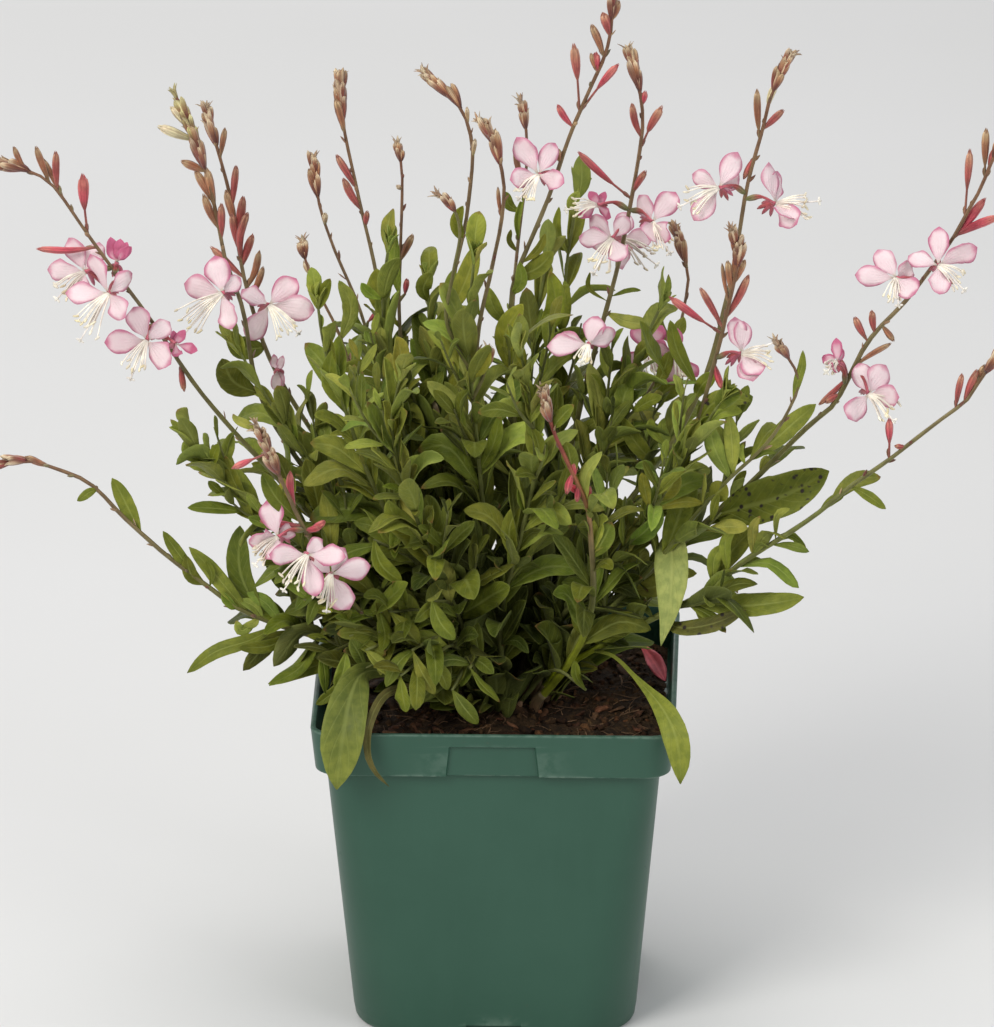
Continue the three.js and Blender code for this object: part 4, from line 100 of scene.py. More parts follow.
     "pts": [[-15.0, -5.2, 115.0], [-18.1, -6.8, 123.2], [-21.8, -8.4, 131.1], [-28.7, -10.4, 136.0], [-37.2, -12.4, 137.9], [-45.8, -14.3, 138.9], [-54.5, -16.2, 140.1], [-62.9, -18.1, 142.3], [-71.0, -20.0, 145.4], [-78.9, -21.9, 149.0], [-86.7, -23.8, 152.9], [-94.1, -25.7, 157.4], [-100.5, -27.5, 163.3], [-107.0, -29.3, 169.1], [-113.4, -31.2, 175.0], [-119.7, -33.0, 181.1], [-125.6, -34.8, 187.5], [-131.5, -36.7, 193.9], [-137.0, -38.5, 200.7], [-142.3, -40.3, 207.6], [-149.0, -42.2, 213.0], [-156.9, -44.1, 216.7], [-164.8, -46.0, 220.3], [-173.4, -48.0, 220.1], [-182.1, -50.0, 219.4]],
     "buds": [{"base": [-159.4, -44.7, 217.7], "tip": [-166.9, -46.5, 222.0], "w": 2.6, "col": 0, "stalk": 0.12}, {"base": [-164.6, -46.0, 220.3], "tip": [-173.7, -46.0, 221.3], "w": 2.6, "col": 0, "stalk": 0.12}]},
    {"name": "flower_stem_19", "kind": "flower", "r0": 1.5, "r1": 0.6, "cluster": 18, "leaf_to": 0.35, "seed": 1,
     "pts": [[-11.0, -11.0, 115.0], [-15.4, -14.6, 121.7], [-19.8, -18.2, 128.4], [-24.8, -21.9, 134.7], [-30.2, -25.7, 140.6], [-35.8, -29.4, 146.2], [-41.3, -33.2, 152.0], [-46.3, -36.9, 158.3], [-50.8, -40.6, 164.9], [-55.0, -44.2, 171.8], [-58.7, -47.8, 178.9], [-61.8, -51.4, 186.4], [-64.9, -55.0, 193.8], [-67.9, -58.6, 201.3], [-70.6, -62.1, 208.9], [-73.0, -65.7, 216.6], [-75.6, -69.3, 224.3], [-78.1, -72.8, 231.9], [-80.6, -76.4, 239.6], [-83.0, -80.0, 247.3]],
     "buds": [{"base": [-67.5, -58.2, 200.5], "tip": [-82.5, -56.4, 202.1], "w": 2.8, "col": 2, "stalk": 0.12}, {"base": [-71.2, -63.0, 210.8], "tip": [-72.1, -63.6, 223.3], "w": 2.8, "col": 2, "stalk": 0.12}, {"base": [-70.0, -61.4, 207.4], "tip": [-72.9, -62.0, 220.8], "w": 2.6, "col": 2, "stalk": 0.12}, {"base": [-66.2, -56.6, 197.1], "tip": [-60.3, -57.8, 202.5], "w": 2.8, "col": 2, "stalk": 0.12}, {"base": [-66.9, -57.4, 198.8], "tip": [-61.7, -58.6, 200.5], "w": 2.4, "col": 2, "stalk": 0.12}, {"base": [-79.2, -74.3, 235.1], "tip": [-91.9, -73.1, 228.7], "w": 2.6, "col": 2, "stalk": 0.5}]},
    {"name": "flower_stem_20", "kind": "flower", "r0": 2.0, "r1": 0.6, "cluster": 11, "leaf_to": 0.62, "seed": 1,
     "pts": [[13.7, -11.9, 115.0], [18.9, -14.9, 121.9], [23.6, -17.9, 129.1], [27.7, -20.8, 136.7], [31.2, -23.8, 144.6], [33.7, -26.7, 152.9], [35.1, -29.5, 161.5], [35.5, -32.4, 170.1], [35.3, -35.3, 178.8], [34.8, -38.2, 187.4], [34.4, -41.2, 196.1], [33.4, -44.1, 204.7], [30.6, -47.1, 212.8], [27.6, -50.1, 220.9], [24.5, -53.1, 229.0], [21.7, -56.1, 237.1], [19.8, -59.0, 245.6], [18.0, -62.0, 254.0]],
     "buds": [{"base": [28.7, -49.0, 218.0], "tip": [26.3, -50.8, 212.2], "w": 2.8, "col": 2, "stalk": 0.12}, {"base": [29.4, -48.3, 216.3], "tip": [28.8, -50.1, 223.4], "w": 2.8, "col": 2, "stalk": 0.12}, {"base": [32.0, -45.7, 209.2], "tip": [27.3, -45.1, 212.3], "w": 2.8, "col": 5, "stalk": 0.12}, {"base": [33.1, -44.4, 205.6], "tip": [34.4, -42.6, 210.7], "w": 2.2, "col": 2, "stalk": 0.12}, {"base": [30.6, -47.0, 212.7], "tip": [29.9, -47.6, 207.9], "w": 2.4, "col": 2, "stalk": 0.12}]},
    {"name": "flower_stem_21", "kind": "flower", "r0": 1.3, "r1": 0.5, "cluster": 9, "leaf_to": 0.7, "seed": 1,
     "pts": [[18.2, -3.8, 115.0], [22.0, -5.3, 123.2], [25.8, -6.9, 131.4], [30.6, -8.5, 139.1], [36.1, -10.1, 146.2], [42.0, -11.7, 153.1], [48.0, -13.3, 159.8], [53.8, -15.0, 166.7], [59.3, -16.6, 173.9], [64.5, -18.2, 181.3], [69.6, -19.8, 188.7], [74.8, -21.4, 196.1], [80.4, -23.0, 203.2], [86.2, -24.7, 210.1], [92.4, -26.3, 216.6], [98.1, -28.0, 223.7], [102.8, -29.6, 231.4], [106.4, -31.2, 239.6], [109.0, -32.8, 248.3], [105.7, -34.4, 256.6], [100.8, -36.0, 264.2]],
     "buds": []},
    {"name": "leafy_shoot_01", "kind": "leafy", "r0": 1.4, "r1": 0.5, "cluster": 0, "leaf_to": 1.0, "seed": 1,
     "pts": [[-18.5, -1.9, 115.0], [-19.4, -3.9, 123.6], [-20.9, -5.9, 132.0], [-25.3, -8.2, 139.3], [-31.1, -10.5, 145.5], [-37.5, -12.8, 151.2], [-44.0, -15.0, 156.7], [-50.5, -17.3, 162.3], [-56.8, -19.6, 168.0], [-62.9, -21.8, 174.0], [-68.7, -24.1, 180.2], [-74.6, -26.4, 186.4], [-80.7, -28.7, 192.4], [-86.8, -31.0, 198.4], [-92.8, -33.3, 204.4], [-98.6, -35.5, 210.7], [-103.6, -37.8, 217.6], [-107.7, -40.0, 225.1]],
     "buds": []},
    {"name": "leafy_shoot_02", "kind": "leafy", "r0": 1.4, "r1": 0.5, "cluster": 0, "leaf_to": 1.0, "seed": 1,
     "pts": [[-13.9, -0.5, 115.0], [-16.1, -0.1, 123.7], [-17.9, 0.4, 132.5], [-20.3, 0.9, 141.1], [-24.0, 1.4, 149.3], [-29.4, 1.9, 156.4], [-35.8, 2.4, 162.8], [-42.4, 2.9, 168.8], [-49.0, 3.5, 175.0], [-54.9, 4.0, 181.7], [-60.1, 4.5, 189.0], [-65.0, 5.0, 196.5], [-69.7, 5.5, 204.2], [-74.5, 6.0, 211.7], [-79.4, 6.5, 219.3], [-84.1, 7.0, 226.9], [-88.6, 7.5, 234.7], [-92.9, 8.0, 242.6]],
     "buds": []},
    {"name": "leafy_shoot_03", "kind": "leafy", "r0": 1.4, "r1": 0.5, "cluster": 0, "leaf_to": 1.0, "seed": 1,
     "pts": [[-9.2, -0.3, 115.0], [-11.5, -2.0, 123.7], [-13.8, -3.6, 132.4], [-16.1, -5.2, 141.0], [-18.9, -6.9, 149.5], [-22.3, -8.6, 157.8], [-26.3, -10.2, 165.8], [-30.6, -11.9, 173.7], [-34.9, -13.6, 181.6], [-39.0, -15.3, 189.5], [-42.7, -17.0, 197.7], [-45.8, -18.6, 206.1], [-48.6, -20.3, 214.7], [-51.1, -22.0, 223.3], [-53.7, -23.6, 231.9], [-56.3, -25.3, 240.4], [-58.8, -27.0, 249.0], [-60.9, -28.7, 257.8], [-62.2, -30.3, 266.6], [-63.1, -32.0, 275.6]],
     "buds": []},
    {"name": "leafy_shoot_04", "kind": "leafy", "r0": 1.4, "r1": 0.5, "cluster": 0, "leaf_to": 1.0, "seed": 1,
     "pts": [[-5.7, 5.9, 115.0], [-8.1, 7.3, 123.8], [-10.5, 8.8, 132.5], [-13.0, 10.2, 141.3], [-15.6, 11.6, 150.0], [-18.4, 13.1, 158.6], [-21.4, 14.6, 167.2], [-24.4, 16.0, 175.8], [-27.3, 17.5, 184.4], [-30.1, 18.9, 193.1], [-32.6, 20.4, 201.8], [-35.0, 21.8, 210.6], [-37.2, 23.3, 219.4], [-39.1, 24.7, 228.3], [-40.6, 26.2, 237.3], [-41.6, 27.6, 246.3], [-42.0, 29.1, 255.4], [-41.4, 30.6, 264.5], [-40.2, 32.0, 273.5]],
     "buds": []},
    {"name": "leafy_shoot_05", "kind": "leafy", "r0": 1.4, "r1": 0.5, "cluster": 0, "leaf_to": 1.0, "seed": 1,
     "pts": [[-0.7, 9.6, 115.0], [-2.8, 11.7, 123.7], [-5.0, 13.9, 132.4], [-7.1, 16.0, 141.1], [-9.2, 18.2, 149.8], [-11.2, 20.3, 158.6], [-13.3, 22.5, 167.3], [-15.4, 24.6, 176.0], [-17.4, 26.8, 184.8], [-19.3, 28.9, 193.5], [-21.1, 31.1, 202.3], [-22.7, 33.2, 211.1], [-23.8, 35.4, 220.0], [-24.7, 37.5, 228.9], [-25.5, 39.7, 237.9], [-25.9, 41.8, 246.8], [-26.2, 44.0, 255.8]],
     "buds": []},
    {"name": "leafy_shoot_06", "kind": "leafy", "r0": 1.4, "r1": 0.5, "cluster": 0, "leaf_to": 1.0, "seed": 1,
     "pts": [[2.0, 1.0, 115.0], [1.1, 0.2, 124.0], [0.2, -0.6, 133.0], [-0.8, -1.3, 141.9], [-1.7, -2.1, 150.9], [-2.5, -2.9, 159.9], [-3.3, -3.7, 168.9], [-4.0, -4.5, 177.9], [-4.7, -5.3, 186.9], [-5.4, -6.1, 195.9], [-6.1, -6.8, 204.9], [-6.9, -7.6, 213.9], [-7.7, -8.4, 222.9], [-8.5, -9.2, 231.9], [-9.3, -10.0, 240.9], [-9.9, -10.8, 249.9], [-10.1, -11.6, 258.9], [-9.7, -12.4, 267.9], [-8.7, -13.2, 276.9], [-7.9, -14.0, 285.9]],
     "buds": []},
    {"name": "leafy_shoot_07", "kind": "leafy", "r0": 1.4, "r1": 0.5, "cluster": 0, "leaf_to": 1.0, "seed": 1,
     "pts": [[10.2, 9.5, 115.0], [9.5, 12.9, 123.4], [8.8, 16.2, 131.7], [8.2, 19.5, 140.1], [7.8, 22.8, 148.5], [7.8, 26.2, 156.9], [8.0, 29.5, 165.3], [8.5, 32.8, 173.6], [9.0, 36.1, 182.0], [9.5, 39.4, 190.4], [10.1, 42.8, 198.8], [10.5, 46.1, 207.1], [11.0, 49.4, 215.5], [11.5, 52.7, 223.9], [12.2, 56.0, 232.3], [13.2, 59.4, 240.6], [14.8, 62.7, 248.8], [16.5, 66.0, 257.1]],
     "buds": []},
    {"name": "leafy_shoot_08", "kind": "leafy", "r0": 1.4, "r1": 0.5, "cluster": 0, "leaf_to": 1.0, "seed": 1,
     "pts": [[8.8, 16.4, 115.0], [10.2, 19.9, 123.4], [11.6, 23.5, 131.7], [13.0, 27.1, 140.1], [14.3, 30.6, 148.4], [15.5, 34.2, 156.8], [16.7, 37.7, 165.2], [17.9, 41.3, 173.6], [18.9, 44.9, 182.0], [19.8, 48.4, 190.4], [20.6, 52.0, 198.8], [21.1, 55.5, 207.3], [21.4, 59.1, 215.7], [21.7, 62.7, 224.2], [22.1, 66.2, 232.7], [22.6, 69.8, 241.1], [23.2, 73.3, 249.5], [24.1, 76.9, 258.0], [25.5, 80.4, 266.3], [27.0, 84.0, 274.7]],
     "buds": []},
    {"name": "leafy_shoot_09", "kind": "leafy", "r0": 1.4, "r1": 0.5, "cluster": 0, "leaf_to": 1.0, "seed": 1,
     "pts": [[9.9, 0.6, 115.0], [11.1, 2.5, 123.5], [12.2, 4.3, 132.0], [13.7, 6.1, 140.5], [15.7, 8.0, 148.8], [18.3, 9.8, 157.1], [21.1, 11.7, 165.2], [24.1, 13.5, 173.2], [27.3, 15.3, 181.2], [30.5, 17.2, 189.2], [33.8, 19.0, 197.1], [37.4, 20.9, 204.9], [40.9, 22.7, 212.7], [44.4, 24.6, 220.6], [47.8, 26.4, 228.5], [51.0, 28.3, 236.5], [54.4, 30.1, 244.4], [58.1, 32.0, 252.1]],
     "buds": []},
    {"name": "leafy_shoot_10", "kind": "leafy", "r0": 1.4, "r1": 0.5, "cluster": 0, "leaf_to": 1.0, "seed": 1,
     "pts": [[13.8, -2.1, 115.0], [15.8, -3.9, 123.8], [17.7, -5.6, 132.6], [20.5, -7.5, 141.2], [24.6, -9.4, 149.2], [29.7, -11.3, 156.6], [35.2, -13.1, 163.7], [40.9, -15.0, 170.7], [46.4, -16.9, 177.8], [51.7, -18.8, 185.2], [56.3, -20.7, 192.9], [60.5, -22.6, 200.8], [64.6, -24.5, 208.9], [68.5, -26.3, 217.0], [72.7, -28.2, 224.9], [77.0, -30.1, 232.8], [81.3, -32.0, 240.8]],
     "buds": []},
    {"name": "leafy_shoot_11", "kind": "leafy", "r0": 1.4, "r1": 0.5, "cluster": 0, "leaf_to": 1.0, "seed": 1,
     "pts": [[-5.0, -7.0, 115.0], [-6.7, -10.1, 123.1], [-8.3, -13.2, 131.2], [-10.0, -16.4, 139.3], [-11.9, -19.5, 147.4], [-14.1, -22.7, 155.3], [-16.6, -25.8, 163.2], [-19.3, -29.0, 171.0], [-22.1, -32.2, 178.8], [-24.6, -35.4, 186.6], [-27.0, -38.6, 194.5], [-29.3, -41.8, 202.4], [-31.4, -45.0, 210.4], [-33.2, -48.2, 218.4], [-34.7, -51.3, 226.5], [-35.7, -54.5, 234.7], [-35.8, -57.7, 243.0], [-34.6, -60.9, 251.1], [-32.8, -64.0, 259.2]],
     "buds": []},
    {"name": "leafy_shoot_12", "kind": "leafy", "r0": 1.4, "r1": 0.5, "cluster": 0, "leaf_to": 1.0, "seed": 1,
     "pts": [[4.0, -8.0, 115.0], [3.2, -11.0, 123.7], [2.2, -13.9, 132.4], [1.6, -16.9, 141.1], [1.6, -19.8, 149.8], [2.6, -22.8, 158.5], [4.4, -25.8, 167.0], [6.5, -28.8, 175.5], [8.5, -31.8, 184.0], [10.3, -34.8, 192.5], [12.2, -37.8, 201.1], [13.8, -40.8, 209.6], [14.8, -43.8, 218.3], [14.8, -46.8, 227.0], [14.4, -49.8, 235.7], [13.6, -52.8, 244.4], [12.6, -55.9, 253.1], [11.3, -58.9, 261.7], [9.8, -62.0, 270.2]],
     "buds": []},
    {"name": "leafy_shoot_13", "kind": "leafy", "r0": 1.4, "r1": 0.5, "cluster": 0, "leaf_to": 1.0, "seed": 1,
     "pts": [[-5.6, 17.7, 115.0], [-6.6, 24.1, 121.7], [-7.5, 30.4, 128.5], [-8.5, 36.7, 135.2], [-9.7, 43.0, 141.9], [-11.6, 49.4, 148.4], [-14.7, 55.6, 154.5], [-19.1, 61.7, 160.0], [-23.8, 67.8, 165.1], [-29.0, 73.9, 169.9], [-34.5, 79.9, 174.4], [-39.9, 86.0, 178.9], [-45.4, 92.0, 183.3]],
     "buds": []},
    {"name": "leafy_shoot_14", "kind": "leafy", "r0": 1.4, "r1": 0.5, "cluster": 0, "leaf_to": 1.0, "seed": 1,
     "pts": [[4.4, 18.1, 115.0], [4.8, 23.7, 122.0], [5.0, 29.3, 129.0], [5.3, 34.9, 136.0], [6.0, 40.6, 143.0], [7.6, 46.3, 149.7], [11.0, 52.0, 155.7], [16.0, 57.4, 160.9], [21.4, 62.8, 165.6], [26.9, 68.3, 170.2], [32.8, 73.7, 174.3], [38.7, 79.1, 178.4], [44.4, 84.6, 182.7], [50.2, 90.0, 186.9]],
     "buds": []},
]

FLOWERS = [
    {"name": "flower_01", "stem": "flower_stem_01", "c": [-147.2, -15.3, 281.2], "att": [-137.8, -14.3, 282.9], "pet": [[-6.7, 7.4, 10.3], [-13.5, 3.8, -0.4], [4.8, 9.1, 8.2], [-1.8, -12.5, -6.8]], "stam": [-8.4, -8.7, -5.3], "open": 1.0, "pink": 0.3},
    {"name": "flower_02", "stem": "flower_stem_01", "c": [-138.0, -29.6, 278.4], "att": [-133.3, -13.6, 276.3], "pet": [[-7.4, 4.7, 12.8], [-15.5, -0.4, 0.0], [8.5, 8.3, 4.6], [7.2, -11.3, -5.3]], "stam": [-9.1, -10.8, -10.7], "open": 1.0, "pink": 0.3},
    {"name": "flower_03", "stem": "flower_stem_01", "c": [-135.7, -15.1, 285.0], "att": [-136.7, -14.1, 281.2], "pet": [[-2.3, 6.3, 7.6], [4.5, 6.7, 3.3], [0.9, 6.9, 6.7], [3.4, 6.9, 5.1]], "stam": [0.8, -4.8, 4.2], "open": 0.35, "pink": 0.95},
    {"name": "flower_04", "stem": "flower_stem_01", "c": [-124.9, -21.8, 257.7], "att": [-122.5, -11.8, 259.6], "pet": [[-15.2, -0.7, -0.7], [-5.6, 8.0, 10.0], [8.1, 8.5, 4.2], [9.3, -9.8, -5.4]], "stam": [-5.5, -9.8, -8.3], "open": 1.0, "pink": 0.3},
    {"name": "flower_05", "stem": "flower_stem_01", "c": [-114.7, -17.3, 254.8], "att": [-119.4, -11.3, 254.5], "pet": [[3.1, 5.6, 3.3], [-1.2, 5.9, 3.5], [8.0, -3.5, -1.3], [0.9, -8.0, -2.3]], "stam": [5.9, -5.2, 2.8], "open": 0.5, "pink": 0.85},
    {"name": "flower_06", "stem": "flower_stem_02", "c": [-99.4, 12.7, 263.3], "att": [-94.1, 23.7, 258.8], "pet": [[-13.8, 3.6, 2.3], [-3.1, 7.8, 11.7], [6.3, 9.1, 2.8], [4.2, -9.3, -10.7]], "stam": [-13.5, -10.1, -8.6], "open": 1.0, "pink": 0.3},
    {"name": "flower_07", "stem": "flower_stem_03", "c": [-83.4, 32.7, 251.6], "att": [-90.1, 44.7, 246.5], "pet": [[-10.3, 7.1, 3.8], [9.9, 6.7, 8.0], [16.6, -0.2, -1.7], [-7.8, -5.9, -11.4]], "stam": [8.2, -8.9, -7.0], "open": 1.0, "pink": 0.3},
    {"name": "flower_08", "stem": "flower_stem_11", "c": [14.7, 4.9, 312.5], "att": [20.7, 15.9, 307.7], "pet": [[-8.1, 4.6, 12.5], [5.9, 8.4, 9.2], [-10.2, -9.9, 1.4], [9.7, -10.4, 0.6]], "stam": [-4.8, -8.6, -5.3], "open": 1.0, "pink": 0.3},
    {"name": "flower_09", "stem": "flower_stem_12", "c": [40.8, 33.9, 278.0], "att": [45.4, 45.9, 277.5], "pet": [[-8.9, 7.8, 5.4], [5.9, 9.2, 5.0], [-12.1, 5.0, -1.3], [3.9, -12.7, -4.8]], "stam": [-5.5, -9.6, -8.0], "open": 1.0, "pink": 0.3},
    {"name": "flower_10", "stem": "flower_stem_12", "c": [55.1, 40.6, 282.0], "att": [46.9, 47.6, 285.1], "pet": [[-5.3, 9.0, 7.3], [8.5, 7.0, 9.4], [6.8, -12.1, -1.9], [-1.8, -13.5, -2.6]], "stam": [5.3, -9.0, -7.0], "open": 1.0, "pink": 0.3},
    {"name": "flower_11", "stem": "flower_stem_12", "c": [35.0, 43.2, 287.4], "att": [46.5, 47.2, 283.2], "pet": [[-3.1, 6.3, 3.0], [3.1, 6.4, 3.4], [-6.7, -6.4, -3.0], [5.3, -7.6, -2.1]], "stam": [-9.2, -6.4, 0.8], "open": 0.6, "pink": 0.8},
    {"name": "flower_12", "stem": "flower_stem_12", "c": [32.7, 3.4, 248.4], "att": [36.2, 37.4, 239.7], "pet": [[3.4, 9.4, 8.0], [-11.0, 6.2, -0.2], [-14.8, -2.5, 0.0], [9.9, 7.5, 1.9]], "stam": [-1.3, -7.4, -2.6], "open": 1.0, "pink": 0.3},
    {"name": "flower_13", "stem": "flower_stem_13", "c": [79.2, 24.3, 301.2], "att": [88.9, 31.3, 297.0], "pet": [[-9.6, 7.5, 2.5], [6.7, 6.5, 11.5], [7.4, 8.4, 0.3], [-8.9, -5.4, -10.8]], "stam": [-11.7, -8.1, -3.6], "open": 1.0, "pink": 0.3},
    {"name": "flower_14", "stem": "flower_stem_13", "c": [99.8, 27.1, 294.2], "att": [88.5, 31.1, 295.0], "pet": [[0.5, 9.4, 9.2], [-2.3, 5.4, 14.2], [8.2, -11.0, -4.2], [4.7, -13.0, -1.2]], "stam": [13.2, -5.6, 1.1], "open": 1.0, "pink": 0.3},
    {"name": "flower_15", "stem": "flower_stem_14", "c": [88.1, -22.1, 254.9], "att": [78.6, -16.1, 249.8], "pet": [[-2.4, 8.3, 11.1], [0.8, 9.4, 9.2], [4.3, -12.0, -6.6], [6.8, -11.9, -3.9]], "stam": [11.3, -5.6, 1.5], "open": 1.0, "pink": 0.3},
    {"name": "flower_16", "stem": "flower_stem_16", "c": [158.2, -0.9, 281.4], "att": [157.7, 9.1, 279.3], "pet": [[0.2, 7.9, 12.1], [-10.7, 6.7, 1.2], [14.0, 2.7, 6.1], [0.3, -12.4, -7.2]], "stam": [8.9, -7.7, -3.9], "open": 1.0, "pink": 0.3},
    {"name": "flower_17", "stem": "flower_stem_16", "c": [143.2, 3.9, 274.7], "att": [151.9, 8.9, 271.2], "pet": [[-7.1, 8.2, 8.0], [-14.8, 1.2, 0.6], [6.3, 9.0, 1.7], [7.5, -11.7, -2.4]], "stam": [-1.9, -8.5, -5.3], "open": 1.0, "pink": 0.3},
    {"name": "flower_18", "stem": "flower_stem_16", "c": [133.7, -3.7, 233.0], "att": [127.7, 8.3, 237.2], "pet": [[-3.8, 9.0, 8.9], [6.3, 8.7, 7.9], [11.4, -8.4, 2.2], [-8.0, -10.7, -5.7]], "stam": [8.2, -8.2, -5.3], "open": 1.0, "pink": 0.3},
    {"name": "flower_19", "stem": "flower_stem_16", "c": [122.3, 2.2, 243.0], "att": [125.3, 8.2, 231.7], "pet": [[-0.5, 5.6, 7.5], [-5.6, 5.0, -0.4], [2.0, 6.5, 2.9], [-1.9, -9.0, -0.4]], "stam": [-2.7, -6.5, 0.1], "open": 0.7, "pink": 0.6},
    {"name": "flower_20", "stem": "flower_stem_19", "c": [-76.3, -68.4, 200.7], "att": [-66.9, -57.4, 198.8], "pet": [[-4.5, 7.6, 11.4], [-9.5, -10.2, 2.6], [5.2, 8.8, -0.2], [-1.8, -13.3, -4.2]], "stam": [-7.7, -8.4, -4.6], "open": 1.0, "pink": 0.3},
    {"name": "flower_21", "stem": "flower_stem_19", "c": [-65.5, -77.3, 197.4], "att": [-63.5, -53.3, 190.4], "pet": [[5.5, 9.3, 2.7], [13.9, -4.9, 1.3], [-13.2, -6.1, 2.2], [3.4, -5.2, -13.8]], "stam": [-6.3, -9.7, -8.0], "open": 1.0, "pink": 0.3},
]

